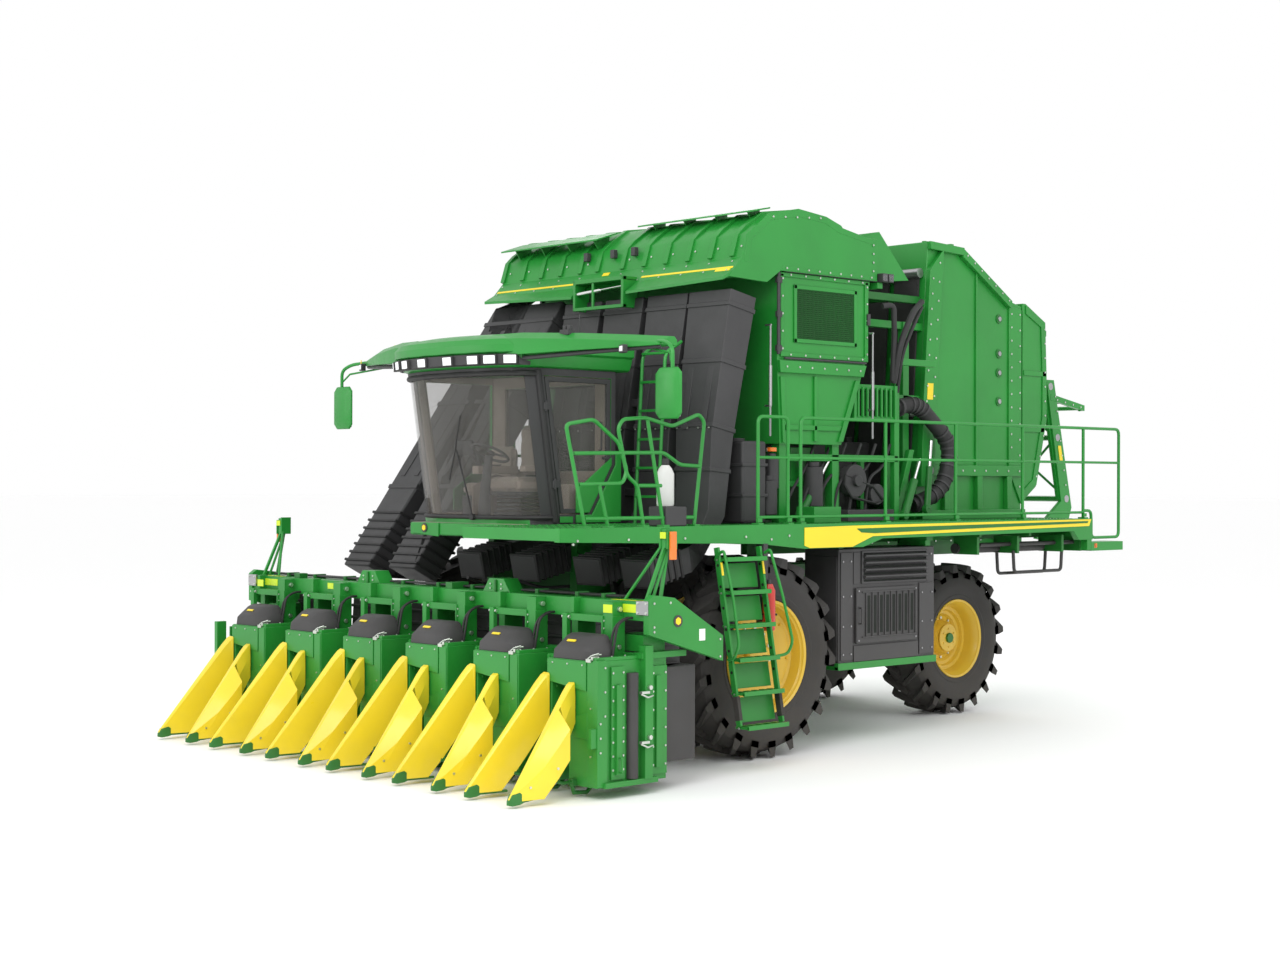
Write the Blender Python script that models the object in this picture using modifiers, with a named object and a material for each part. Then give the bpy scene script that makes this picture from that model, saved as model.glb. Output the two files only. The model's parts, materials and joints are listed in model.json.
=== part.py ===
"""Six-row cotton picker with an on-board round module builder.

Everything is drawn in the machine's own frame, in metres: +X is the machine's left side, +Y runs
from the row dividers back to the module handler, +Z is up, and the ground is z = 0.  The front
axle is y = 0 there; one empty shifts the whole machine so that the world origin is the middle of
its footprint.
"""
import math

import bmesh
import bpy
from mathutils import Matrix, Vector

# ---------------------------------------------------------------- driving dimensions
GAP = 0.0003                     # joint line between two pieces that touch
SWING_GAP = 0.008                # room round a piece that swings

ROW_SPACING = 1.016              # plant rows, and the track of every wheel
ROW_COUNT = 6

FRONT_TYRE_RADIUS = 0.97
REAR_TYRE_RADIUS = 0.86
TYRE_WIDTH = 0.52
FRONT_RIM_RADIUS = 0.53
REAR_RIM_RADIUS = 0.43
RIM_WIDTH = 0.46
RIM_WALL = 0.03
HUB_BORE = 0.07
WHEELBASE = 4.25
WHEEL_SEGMENTS = 20
KINGPIN_X = 0.62
STEERING_ARM = 0.32

TIP_REACH = 3.65                 # divider tips ahead of the front axle
HANDLER_REACH = 6.93             # module handler behind the front axle

TOOLBAR_HALF = (ROW_COUNT - 1) / 2 * ROW_SPACING + 0.60
TOOLBAR_FRONT = -2.37
TOOLBAR_BACK = -2.10
TOOLBAR_LOW = 1.47
TOOLBAR_HIGH = 1.63
LIFT_PIVOT_Y = -0.45
LIFT_PIVOT_Z = 1.25
LIFT_ARM_X = 0.17

UNIT_HALF = 0.46                 # picking unit, half of its width
UNIT_FRONT = -2.85
UNIT_BACK = -2.05
UNIT_LOW = 0.10
UNIT_HIGH = 1.15
THROAT_HALF = 0.11
THROAT_HIGH = 0.95
THROAT_WALL = 0.05
CORNER_FRONT = -2.60
STRAP_HIGH = 0.99                # mounting strap of the dividers, just above the throat
DIVIDER_OFFSET = 0.28            # divider tips each side of the row
DIVIDER_SPREAD = ((0.0, 0.0), (0.42, 0.60), (0.74, 1.0), (0.79, 0.25), (1.0, 0.08))
DOME_OFFSET = 0.11               # middle of the domed cover, left of the row
DOME_BACK = -2.56
DOME_LOW = 1.24
DOME_HIGH = 1.36
HUMP_X = 1.016                   # humps on the toolbar, each side of the middle
HUMP_HIGH = 1.75
DUCT_BOX_BACK = -1.68
DUCT_DOOR_HALF = 0.44
DUCT_DOOR_LOW = 0.24
DUCT_DOOR_HIGH = 1.06
BOOT_HALF = 0.26

RAIL_X = 0.65                    # chassis rails, middle
RAIL_WIDTH = 0.10
FRONT_RAIL_LOW = 1.45
FRONT_RAIL_HIGH = 1.75
REAR_RAIL_LOW = 1.80
REAR_RAIL_HIGH = 2.00
DECK_TOP = 2.24
PLATFORM_LOW = DECK_TOP - 0.22
DECK_THICKNESS = 0.04
DECK_EDGE = 2.35                 # outer face of the deck beams
DECK_FRONT = -2.70
DECK_BACK = 5.32
PLATFORM_BACK_OF_DOOR = -0.50
WALKWAY_INNER = 1.88

CAB_HALF = 0.95
CAB_FLOOR_LOW = DECK_TOP - 0.08
CAB_BACK = -0.78
CAB_TOP = 3.72
PILLAR_FOOT_Y = -1.53
PILLAR_HEAD_Y = -1.76
SCREEN_BOW = 0.395
CAB_WALL = 0.05
GLASS = 0.008
DOOR_SILL = 2.33
ROOF_HIGH = 4.05

HOOD_HALF = 1.85
HOOD_WALL = 0.04
BIN_HALF = 1.80
BIN_LOW = 3.03
CHAMBER_HALF = 1.50
CHAMBER_WALL = 0.06
CHAMBER_LOW = 2.30
GATE_FRONT = 5.15
HANDLER_HALF = 1.15
HANDLER_PIVOT_Y = 5.98
HANDLER_PIVOT_Z = 2.02

CABINET_INNER = 1.74
CABINET_OUTER = 2.20
CABINET_LOW = 0.80
CABINET_HIGH = 1.98

RAILING_X = 2.30
RAILING_BAR = 0.036

# ---------------------------------------------------------------- colours (linear RGB, roughness, metal)
GREEN = ((0.03, 0.27, 0.04), 0.35, 0.0)
YELLOW = ((0.86, 0.72, 0.03), 0.4, 0.0)
RIM_YELLOW = ((0.72, 0.48, 0.02), 0.4, 0.0)
CHARCOAL = ((0.035, 0.035, 0.037), 0.6, 0.0)
TYRE_BLACK = ((0.02, 0.02, 0.02), 0.85, 0.0)
SCREEN_GLASS = ((0.35, 0.36, 0.37), 0.05, 0.0)
STEEL = ((0.25, 0.25, 0.26), 0.45, 0.8)
BEIGE = ((0.30, 0.25, 0.21), 0.8, 0.0)

# ---------------------------------------------------------------- scene set-up
for old in list(bpy.data.objects):
    bpy.data.objects.remove(old, do_unlink=True)

MACHINE = bpy.data.collections.new("cotton_picker_machine")
TOOLS = bpy.data.collections.new("cutters_and_joined_shapes")
bpy.context.scene.collection.children.link(MACHINE)
bpy.context.scene.collection.children.link(TOOLS)

FRONT_AXLE_Y = (TIP_REACH - HANDLER_REACH) / 2
FRONT_AXLE_Z = FRONT_TYRE_RADIUS
REAR_AXLE_Z = REAR_TYRE_RADIUS


def empty(name, place, parent):
    """An empty at a place in the machine frame; parent None makes the machine's own frame."""
    mark = bpy.data.objects.new(name, None)
    MACHINE.objects.link(mark)
    mark["place"] = place
    if parent is None:
        mark.location = (0, FRONT_AXLE_Y, 0)
        mark["place"] = (0, 0, 0)
    else:
        mark.parent = parent
        mark.location = Vector(place) - Vector(parent["place"])
    return mark


def attach(shape, frame):
    """Hang a shape whose points are in the machine frame on an empty."""
    shape.parent = frame
    shape.location = Vector(shape.location) - Vector(frame["place"])


def mesh_object(name, mesh):
    shape = bpy.data.objects.new(name, mesh)
    TOOLS.objects.link(shape)
    return shape


def from_bmesh(name, bm):
    bmesh.ops.recalc_face_normals(bm, faces=bm.faces)
    mesh = bpy.data.meshes.new(name)
    bm.to_mesh(mesh)
    bm.free()
    return mesh_object(name, mesh)


# ---------------------------------------------------------------- simple shapes
def box(low, high):
    """A block between two opposite corners."""
    low, high = Vector(low), Vector(high)
    size = high - low
    bm = bmesh.new()
    place = Matrix.Translation((low + high) / 2) @ Matrix.Diagonal((*size, 1))
    bmesh.ops.create_cube(bm, size=1.0, matrix=place)
    return from_bmesh("box", bm)


def both_sides(make, low, high):
    """The same block on the left and on the right, as two shapes."""
    mirrored_low = (-high[0], low[1], low[2])
    mirrored_high = (-low[0], high[1], high[2])
    return [make(low, high), make(mirrored_low, mirrored_high)]


def rod(start, end, radius, sides=8):
    """A round bar between two points."""
    start, end = Vector(start), Vector(end)
    along = end - start
    turn = along.to_track_quat("Z", "Y").to_matrix().to_4x4()
    bm = bmesh.new()
    bmesh.ops.create_cone(bm, cap_ends=True, segments=sides, radius1=radius, radius2=radius,
                          depth=along.length, matrix=Matrix.Translation((start + end) / 2) @ turn)
    return from_bmesh("rod", bm)


def bar(start, end, width, depth=None):
    """A square or flat bar between two points, its ends run on by half its width."""
    start, end = Vector(start), Vector(end)
    along = end - start
    depth = depth or width
    turn = along.to_track_quat("Z", "X").to_matrix().to_4x4()
    stretch = Matrix.Diagonal((width, depth, along.length + width * 0.9, 1))
    bm = bmesh.new()
    bmesh.ops.create_cube(bm, size=1.0, matrix=Matrix.Translation((start + end) / 2) @ turn @ stretch)
    return from_bmesh("bar", bm)


def side_plate(outline, x_low, x_high):
    """A flat outline of (y, z) points, drawn as a filled curve and given its thickness along X."""
    curve = bpy.data.curves.new("side_plate", "CURVE")
    curve.dimensions = "2D"
    curve.fill_mode = "BOTH"
    curve.extrude = (x_high - x_low) / 2
    line = curve.splines.new("POLY")
    line.points.add(len(outline) - 1)
    for point, (y, z) in zip(line.points, outline):
        point.co = (y, z, 0, 1)
    line.use_cyclic_u = True
    drawn = bpy.data.objects.new("side_plate", curve)
    TOOLS.objects.link(drawn)
    bpy.context.view_layer.update()
    shown = drawn.evaluated_get(bpy.context.evaluated_depsgraph_get())
    mesh = bpy.data.meshes.new_from_object(shown)
    bpy.data.objects.remove(drawn, do_unlink=True)
    stand = Matrix(((0, 0, 1, (x_low + x_high) / 2), (1, 0, 0, 0), (0, 1, 0, 0), (0, 0, 0, 1)))
    bm = bmesh.new()
    bm.from_mesh(mesh)
    bmesh.ops.remove_doubles(bm, verts=bm.verts, dist=0.00001)
    bmesh.ops.transform(bm, matrix=stand, verts=bm.verts)
    bpy.data.meshes.remove(mesh)
    return from_bmesh("side_plate", bm)


def loft(rings):
    """A closed body through rings that all have the same number of points."""
    bm = bmesh.new()
    loops = [[bm.verts.new(point) for point in ring] for ring in rings]
    count = len(loops[0])
    for lower, upper in zip(loops, loops[1:]):
        for i in range(count):
            j = (i + 1) % count
            bm.faces.new((lower[i], lower[j], upper[j], upper[i]))
    bm.faces.new(list(reversed(loops[0])))
    bm.faces.new(loops[-1])
    return from_bmesh("loft", bm)


def inset_outline(outline, distance):
    """The outline moved inwards by a distance, with mitred corners (points run anticlockwise)."""
    moved = []
    count = len(outline)
    for i in range(count):
        before = Vector(outline[i - 1])
        here = Vector(outline[i])
        after = Vector(outline[(i + 1) % count])
        first = (here - before).normalized()
        second = (after - here).normalized()
        inward_first = Vector((-first.y, first.x))
        inward_second = Vector((-second.y, second.x))
        mitre = (inward_first + inward_second).normalized()
        reach = distance / max(0.2, mitre.dot(inward_first))
        moved.append(tuple(here + mitre * reach))
    return moved


# ---------------------------------------------------------------- nodes
def paint(shape, finish):
    colour, roughness, metallic = finish
    look = bpy.data.materials.new(shape.name + "_finish")
    look.use_nodes = True
    shader = look.node_tree.nodes["Principled BSDF"]
    shader.inputs["Base Color"].default_value = (*colour, 1)
    shader.inputs["Roughness"].default_value = roughness
    shader.inputs["Metallic"].default_value = metallic
    shape.data.materials.clear()
    shape.data.materials.append(look)


def operand_collection(name, shapes, frame):
    group = bpy.data.collections.new(name)
    TOOLS.children.link(group)
    for shape in shapes:
        TOOLS.objects.unlink(shape)
        group.objects.link(shape)
        shape.name = name
        shape.hide_render = True
        shape.display_type = "WIRE"
        attach(shape, frame)
    return group


def node(name, shapes, finish, frame, cuts=()):
    """One named piece: the first shape, the others joined to it, then the cuts taken out."""
    main = shapes[0]
    TOOLS.objects.unlink(main)
    MACHINE.objects.link(main)
    main.name = name
    main.data.name = name
    attach(main, frame)
    if len(shapes) > 1:
        join = main.modifiers.new("join", "BOOLEAN")
        join.operation = "UNION"
        join.operand_type = "COLLECTION"
        join.collection = operand_collection(name + "_joined", shapes[1:], frame)
    if cuts:
        cut = main.modifiers.new("cut", "BOOLEAN")
        cut.operation = "DIFFERENCE"
        cut.operand_type = "COLLECTION"
        cut.collection = operand_collection(name + "_cut", list(cuts), frame)
    paint(main, finish)
    return main


def turned(name, profile, axle, finish, frame, side=1):
    """A wheel part: a closed (x, radius) profile turned about the axle line."""
    half_step = math.pi / WHEEL_SEGMENTS
    grow = 1 / math.cos(half_step)
    points = [(side * x, 0, -radius * grow) for x, radius in profile]
    mesh = bpy.data.meshes.new(name)
    edges = [(i, (i + 1) % len(points)) for i in range(len(points))]
    mesh.from_pydata(points, edges, [])
    mesh.transform(Matrix.Rotation(half_step, 4, "X"))
    drawn = mesh_object(name, mesh)
    screw = drawn.modifiers.new("turn", "SCREW")
    screw.axis = "X"
    screw.steps = WHEEL_SEGMENTS
    screw.render_steps = WHEEL_SEGMENTS
    screw.use_merge_vertices = True
    screw.merge_threshold = 0.0001
    bpy.context.view_layer.update()
    swept = bpy.data.meshes.new_from_object(drawn.evaluated_get(bpy.context.evaluated_depsgraph_get()))
    bpy.data.objects.remove(drawn, do_unlink=True)
    bm = bmesh.new()
    bm.from_mesh(swept)
    wheel = from_bmesh(name, bm)
    TOOLS.objects.unlink(wheel)
    MACHINE.objects.link(wheel)
    wheel.name = name
    wheel.location = axle
    attach(wheel, frame)
    paint(wheel, finish)
    return wheel


# ---------------------------------------------------------------- frames: the machine and its joints
machine = empty("machine_frame", (0, 0, 0), None)
header = empty("header_lift_axis", (0, LIFT_PIVOT_Y, LIFT_PIVOT_Z), machine)
door_frame = empty("cab_door_axis", (CAB_HALF + 0.006, PILLAR_FOOT_Y, DECK_TOP), machine)
gate_frame = empty("tailgate_axis", (0, GATE_FRONT - 0.03, 4.84), machine)
handler_frame = empty("module_handler_axis", (0, HANDLER_PIVOT_Y, HANDLER_PIVOT_Z), machine)
ladder_frame = empty("ladder_axis", (2.45, -0.575, 1.98), machine)
service_frame = empty("service_door_axis", (CABINET_OUTER + 0.015, 1.34, 1.30), machine)
front_spin = {}
rear_spin = {}
kingpin = {}
for side_name, side in (("left", 1), ("right", -1)):
    front_spin[side] = empty(f"front_{side_name}_axle_line", (side * 1.5, 0, FRONT_AXLE_Z), machine)
    kingpin[side] = empty(f"rear_{side_name}_kingpin", (side * KINGPIN_X, WHEELBASE, REAR_AXLE_Z), machine)
    rear_spin[side] = empty(f"rear_{side_name}_axle_line", (side * ROW_SPACING, WHEELBASE, REAR_AXLE_Z),
                            kingpin[side])
tie_frame = empty("tie_rod_pin", (KINGPIN_X, WHEELBASE + STEERING_ARM, 0.675), kingpin[1])


# ---------------------------------------------------------------- wheels
def tyre_profile(centre, radius, rim_radius):
    """Half of the section each side of the middle, from bead to crown and back."""
    bead = RIM_WIDTH / 2 - 0.01
    half = TYRE_WIDTH / 2
    wall = radius - rim_radius
    seat = rim_radius + GAP
    right = [(bead, seat), (half, seat + 0.45 * wall), (half - 0.01, radius - 0.10),
             (half - 0.05, radius - 0.015), (0.12, radius)]
    loop = [(-x, r) for x, r in right] + [(x, r) for x, r in reversed(right)]
    return [(centre + x, r) for x, r in loop]


def rim_wall(centre, rim_radius):
    """The barrel of one rim, from its inner side out."""
    half = RIM_WIDTH / 2
    under = rim_radius - RIM_WALL
    return [(centre - half, under), (centre - half, rim_radius), (centre + half, rim_radius),
            (centre + half, under)]


def twin_rim_profile(inner, outer, rim_radius):
    under = rim_radius - RIM_WALL
    hub = 0.20
    inner_disc = inner + 0.08
    outer_disc = outer - 0.06
    loop = [(inner_disc, HUB_BORE), (inner_disc, under)] + rim_wall(inner, rim_radius)
    loop += [(inner_disc + RIM_WALL, under), (inner_disc + RIM_WALL, hub), (outer_disc, hub),
             (outer_disc, under)]
    loop += rim_wall(outer, rim_radius)
    loop += [(outer_disc + RIM_WALL, under), (outer_disc + RIM_WALL, hub), (outer_disc + 0.12, hub),
             (outer_disc + 0.12, HUB_BORE)]
    return loop


def single_rim_profile(centre, rim_radius):
    under = rim_radius - RIM_WALL
    disc = centre + 0.06
    loop = [(disc, HUB_BORE), (disc, under)] + rim_wall(centre, rim_radius)
    loop += [(disc + RIM_WALL, under), (disc + RIM_WALL, 0.18), (disc + 0.10, 0.18), (disc + 0.10, HUB_BORE)]
    return loop


def wheels():
    inner = ROW_SPACING
    outer = ROW_SPACING * 2
    for side_name, side in (("left", 1), ("right", -1)):
        front_axle = (0, 0, FRONT_AXLE_Z)
        turned(f"front_{side_name}_rims", twin_rim_profile(inner, outer, FRONT_RIM_RADIUS), front_axle,
               RIM_YELLOW, front_spin[side], side)
        for place, centre in (("inner", inner), ("outer", outer)):
            turned(f"front_{side_name}_{place}_tyre",
                   tyre_profile(centre, FRONT_TYRE_RADIUS, FRONT_RIM_RADIUS),
                   front_axle, TYRE_BLACK, front_spin[side], side)
        rear_axle = (0, WHEELBASE, REAR_AXLE_Z)
        turned(f"rear_{side_name}_rim", single_rim_profile(inner, REAR_RIM_RADIUS), rear_axle,
               RIM_YELLOW, rear_spin[side], side)
        turned(f"rear_{side_name}_tyre", tyre_profile(inner, REAR_TYRE_RADIUS, REAR_RIM_RADIUS), rear_axle,
               TYRE_BLACK, rear_spin[side], side)


# ---------------------------------------------------------------- axles, knuckles and steering
KNUCKLE_HALF_HEIGHT = 0.24
FORK_PLATE = 0.045
STUB_RADIUS = 0.058


def axles():
    z = FRONT_AXLE_Z
    housing_end = ROW_SPACING + 0.08 - 0.03
    beam = box((-0.72, -0.16, z - 0.17), (0.72, 0.16, z + 0.15))
    parts = [beam]
    for side in (1, -1):
        parts.append(rod((side * 0.5, 0, z), (side * housing_end, 0, z), 0.27, 14))
        parts.append(rod((side * 0.9, 0, z), (side * (2 * ROW_SPACING + 0.02), 0, z), STUB_RADIUS, 8))
        parts.append(box((side * RAIL_X - 0.06, -0.13, z + 0.10),
                         (side * RAIL_X + 0.06, 0.13, FRONT_RAIL_LOW - GAP)))
    node("front_axle", parts, GREEN, machine)

    z = REAR_AXLE_Z
    y = WHEELBASE
    beam = box((-0.47, y - 0.11, z - 0.12), (0.47, y + 0.11, z + 0.12))
    fork_in = KNUCKLE_HALF_HEIGHT + 0.006
    parts = [beam, box((-0.13, y - 0.14, z + 0.05), (0.13, y + 0.14, REAR_RAIL_LOW - GAP))]
    for side in (1, -1):
        inner_x = side * 0.49
        parts.append(box((min(side * 0.44, inner_x), y - 0.10, z - fork_in - FORK_PLATE),
                         (max(side * 0.44, inner_x), y + 0.10, z + fork_in + FORK_PLATE)))
        low_x, high_x = sorted((side * 0.45, side * (KINGPIN_X + 0.08)))
        parts.append(box((low_x, y - 0.08, z + fork_in),
                         (high_x, y + 0.08, z + fork_in + FORK_PLATE - 0.005)))
        parts.append(box((low_x, y - 0.08, z - fork_in - FORK_PLATE + 0.005),
                         (high_x, y + 0.08, z - fork_in)))
    node("rear_axle", parts, GREEN, machine)

    for side_name, side in (("left", 1), ("right", -1)):
        x = side * KINGPIN_X
        post = box((x - 0.065, y - 0.065, z - KNUCKLE_HALF_HEIGHT),
                   (x + 0.065, y + 0.065, z + KNUCKLE_HALF_HEIGHT))
        motor_end = side * (ROW_SPACING + 0.03)
        arm_low, arm_high = sorted((x - side * 0.02, x + side * 0.05))
        parts = [post, rod((x, y, z), (motor_end, y, z), 0.17, 12),
                 rod((x, y, z), (side * (ROW_SPACING + 0.14), y, z), STUB_RADIUS, 8),
                 box((arm_low, y, 0.70), (arm_high, y + STEERING_ARM + 0.05, 0.74))]
        node(f"rear_{side_name}_knuckle", parts, GREEN, kingpin[side])
    tie_y = y + STEERING_ARM
    parts = [bar((-KINGPIN_X, tie_y, 0.674), (KINGPIN_X, tie_y, 0.674), 0.034)]
    node("tie_rod", parts, STEEL, tie_frame)


# ---------------------------------------------------------------- chassis
def chassis():
    rail_in = RAIL_X - RAIL_WIDTH / 2
    rail_out = RAIL_X + RAIL_WIDTH / 2
    platform_half = WALKWAY_INNER - 0.05
    platform = box((-platform_half, 0.46, PLATFORM_LOW), (platform_half, DECK_BACK - 0.03, DECK_TOP))
    parts = [platform]
    for side in (1, -1):
        low_x, high_x = sorted((side * rail_in, side * rail_out))
        parts.append(box((low_x, -1.06, FRONT_RAIL_LOW), (high_x, 2.95, FRONT_RAIL_HIGH)))
        parts.append(box((low_x + 0.004, 2.80, FRONT_RAIL_LOW + 0.10),
                         (high_x - 0.004, 3.02, PLATFORM_LOW + 0.05)))
        parts.append(box((low_x, 2.70, REAR_RAIL_LOW), (high_x, 5.90, REAR_RAIL_HIGH)))
        parts.append(box((low_x + 0.003, 5.00, REAR_RAIL_HIGH - 0.05),
                         (high_x - 0.003, 5.20, PLATFORM_LOW + 0.05)))
        parts.append(box((low_x + 0.002, 0.52, FRONT_RAIL_LOW + 0.05),
                         (high_x - 0.002, 0.70, PLATFORM_LOW + 0.05)))
        # lugs for the header's lift arms, and posts under the cab
        parts.append(box((low_x - 0.002, LIFT_PIVOT_Y - 0.16, LIFT_PIVOT_Z - 0.15),
                         (high_x + 0.002, LIFT_PIVOT_Y + 0.12, FRONT_RAIL_LOW + 0.05)))
        parts.append(box((low_x + 0.005, -1.05, FRONT_RAIL_LOW + 0.06),
                         (high_x - 0.005, -0.86, CAB_FLOOR_LOW - GAP)))
        # outriggers to the decks
        for y in (1.35, 2.45, 5.05):
            in_x, out_x = sorted((side * (platform_half - 0.05), side * (DECK_EDGE - 0.075)))
            parts.append(box((in_x, y - 0.05, PLATFORM_LOW + 0.02),
                             (out_x, y + 0.05, DECK_TOP - DECK_THICKNESS - GAP)))
        # arms that carry the module handler
        low_x, high_x = sorted((side * 0.62, side * 0.98))
        parts.append(box((low_x, 5.72, REAR_RAIL_LOW + 0.02), (high_x, 5.86, REAR_RAIL_HIGH - 0.02)))
    parts.append(box((-0.66, 0.90, FRONT_RAIL_LOW + 0.04), (0.66, 1.05, FRONT_RAIL_HIGH - 0.04)))
    parts.append(box((-0.66, 2.75, FRONT_RAIL_LOW + 0.12), (0.66, 2.90, FRONT_RAIL_HIGH - 0.02)))
    parts.append(box((-0.66, WHEELBASE - 0.15, REAR_RAIL_LOW),
                     (0.66, WHEELBASE + 0.15, REAR_RAIL_HIGH - 0.03)))
    parts.append(box((-0.66, 5.74, REAR_RAIL_LOW + 0.03), (0.66, 5.84, REAR_RAIL_HIGH - 0.03)))
    node("chassis_frame", parts, GREEN, machine)

    engine_low = DECK_TOP + GAP
    node("engine_block", [box((-0.75, 2.10, engine_low), (0.95, 3.05, engine_low + 0.85))], CHARCOAL, machine)


# ---------------------------------------------------------------- cab
def cab_y(foot_y, head_y, z):
    """Where a line that leans with the pillars stands at height z."""
    share = (z - DECK_TOP) / (CAB_TOP - DECK_TOP)
    return foot_y + (head_y - foot_y) * share


def cab_ring(z, inset):
    """Plan outline of the cab at height z, moved inwards: straight sides, straight back, bowed front."""
    half = CAB_HALF - inset
    pillar = cab_y(PILLAR_FOOT_Y, PILLAR_HEAD_Y, z)
    ring = [Vector((half, CAB_BACK - inset, z))]
    for step in range(7):
        angle = math.pi * step / 6
        ring.append(Vector((half * math.cos(angle), pillar + inset - SCREEN_BOW * math.sin(angle) ** 0.8, z)))
    ring.append(Vector((-half, CAB_BACK - inset, z)))
    return ring


def cab_side_outline(sill, margin):
    """Door and side window outline (y, z), anticlockwise; margin moves it inwards."""
    def pillar(z):
        return cab_y(PILLAR_FOOT_Y, PILLAR_HEAD_Y, z) + 0.05
    top = CAB_TOP - 0.07
    back = CAB_BACK - 0.06
    outline = [(pillar(sill), sill), (-1.14, sill), (back, 2.80), (back, top), (pillar(top), top)]
    return inset_outline(outline, margin)


def cab():
    low, high = CAB_FLOOR_LOW, CAB_TOP
    outer = loft([cab_ring(low, 0), cab_ring(high, 0)])
    hollow = loft([cab_ring(DECK_TOP, CAB_WALL), cab_ring(high + 0.1, CAB_WALL)])
    front_low = DECK_TOP + 0.04
    front_high = CAB_TOP - 0.05
    screen_half = CAB_HALF - 0.075
    front_cut = box((-screen_half, -3.0, front_low), (screen_half, PILLAR_FOOT_Y + 0.05, front_high))
    opening = cab_side_outline(DOOR_SILL, 0)
    side_cuts = [side_plate(opening, CAB_HALF - 0.2, CAB_HALF + 0.1),
                 side_plate(opening, -CAB_HALF - 0.1, -CAB_HALF + 0.2)]
    rear_cut = box((-0.70, CAB_BACK - 0.2, 2.75), (0.70, CAB_BACK + 0.2, CAB_TOP - 0.12))
    front_bar = box((-0.80, PILLAR_FOOT_Y - 0.42, CAB_FLOOR_LOW - 0.05),
                    (0.80, PILLAR_FOOT_Y - 0.06, DECK_TOP - 0.002))
    node("cab_shell", [outer, front_bar], GREEN, machine, [hollow, front_cut, *side_cuts, rear_cut])

    glass_out = 0.012
    screen = loft([cab_ring(front_low + GAP, glass_out), cab_ring(front_high - GAP, glass_out)])
    behind = loft([cab_ring(front_low - 0.1, glass_out + GLASS),
                   cab_ring(front_high + 0.1, glass_out + GLASS)])
    left_off = box((screen_half - GAP, -3.0, low), (CAB_HALF + 0.1, 0, high + 0.2))
    right_off = box((-CAB_HALF - 0.1, -3.0, low), (-screen_half + GAP, 0, high + 0.2))
    back_off = box((-CAB_HALF - 0.1, PILLAR_FOOT_Y + 0.02, low), (CAB_HALF + 0.1, 0.1, high + 0.2))
    node("windshield", [screen], SCREEN_GLASS, machine, [behind, left_off, right_off, back_off])

    outline = cab_side_outline(DOOR_SILL, GAP)
    node("cab_right_window", [side_plate(outline, -CAB_HALF + 0.012, -CAB_HALF + 0.020)], SCREEN_GLASS,
         machine)
    node("cab_rear_window", [box((-0.70 + GAP, CAB_BACK - 0.03, 2.75 + GAP),
                                 (0.70 - GAP, CAB_BACK - 0.03 + GLASS,
                                  CAB_TOP - 0.12 - GAP))], SCREEN_GLASS, machine)

    door = side_plate(cab_side_outline(DOOR_SILL, SWING_GAP), CAB_HALF - 0.034, CAB_HALF + 0.004)
    window = cab_side_outline(DOOR_SILL, 0.055)
    door_cut = side_plate(window, CAB_HALF - 0.1, CAB_HALF + 0.1)
    node("cab_door", [door], CHARCOAL, door_frame, [door_cut])
    pane = side_plate(cab_side_outline(DOOR_SILL, 0.055 + GAP), CAB_HALF - 0.018, CAB_HALF - 0.010)
    node("cab_door_glass", [pane], SCREEN_GLASS, door_frame)

    floor = DECK_TOP + GAP
    seat_base = box((-0.24, -1.36, floor), (0.24, -0.98, floor + 0.30))
    cushion = box((-0.27, -1.46, floor + 0.29), (0.27, -0.94, floor + 0.46))
    backrest = side_plate([(-1.08, floor + 0.40), (-0.94, floor + 0.40), (-0.87, floor + 1.12),
                           (-0.97, floor + 1.12)],
                          -0.25, 0.25)
    node("operator_seat", [cushion, seat_base, backrest], BEIGE, machine)
    column = bar((0, -1.66, floor + 0.05), (0, -1.62, floor + 0.62), 0.09)
    foot = box((-0.12, -1.78, floor), (0.12, -1.58, floor + 0.10))
    wheel = rod((0, -1.63, floor + 0.62), (0, -1.60, floor + 0.66), 0.20, 12)
    node("steering_console", [column, foot, wheel], CHARCOAL, machine)


def roof():
    def ring(z, grow):
        half = CAB_HALF + grow
        points = [Vector((half, CAB_BACK + 0.16, z))]
        for step in range(7):
            angle = math.pi * step / 6
            bow = SCREEN_BOW * math.sin(angle) ** 0.8
            points.append(Vector((half * math.cos(angle), PILLAR_HEAD_Y - grow - bow, z)))
        points.append(Vector((-half, CAB_BACK + 0.16, z)))
        return points

    base = CAB_TOP + GAP
    body = loft([ring(base, 0.02), ring(base + 0.08, 0.07), ring(ROOF_HIGH - 0.10, 0.10),
                 ring(ROOF_HIGH, -0.10)])
    parts = [body]
    for side in (1, -1):
        sections = []
        for x, y_front, y_back, z_low, z_high in ((0.70, -2.12, -1.62, 3.80, 4.03),
                                                  (1.55, -1.86, -1.50, 3.84, 4.02),
                                                  (2.33, -1.48, -1.28, 3.88, 3.97)):
            sections.append([Vector((side * x, y_front, z_low)), Vector((side * x, y_back, z_low)),
                             Vector((side * x, y_back, z_high)), Vector((side * x, y_front, z_high))])
        parts.append(loft(sections))
        parts.append(bar((side * 2.22, -1.40, 3.92), (side * 2.58, -1.56, 3.86), 0.035))
        parts.append(bar((side * 2.58, -1.56, 3.86), (side * 2.56, -1.60, 3.60), 0.034))
        low_x, high_x = sorted((side * 2.37, side * 2.71))
        parts.append(box((low_x, -1.63, 3.20), (high_x, -1.57, 3.67)))
    node("cab_roof", parts, GREEN, machine)


# ---------------------------------------------------------------- decks, railings and ladders
def railing(points_top, posts, mid_heights, width=RAILING_BAR):
    """Square-tube railing: a top line, posts down to the deck, and level middle rails."""
    parts = []
    for start, end in zip(points_top, points_top[1:]):
        parts.append(bar(start, end, width))
    for top, foot in posts:
        parts.append(bar(top, foot, width))
    for start, end in mid_heights:
        parts.append(bar(start, end, width * 0.8))
    return parts


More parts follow.
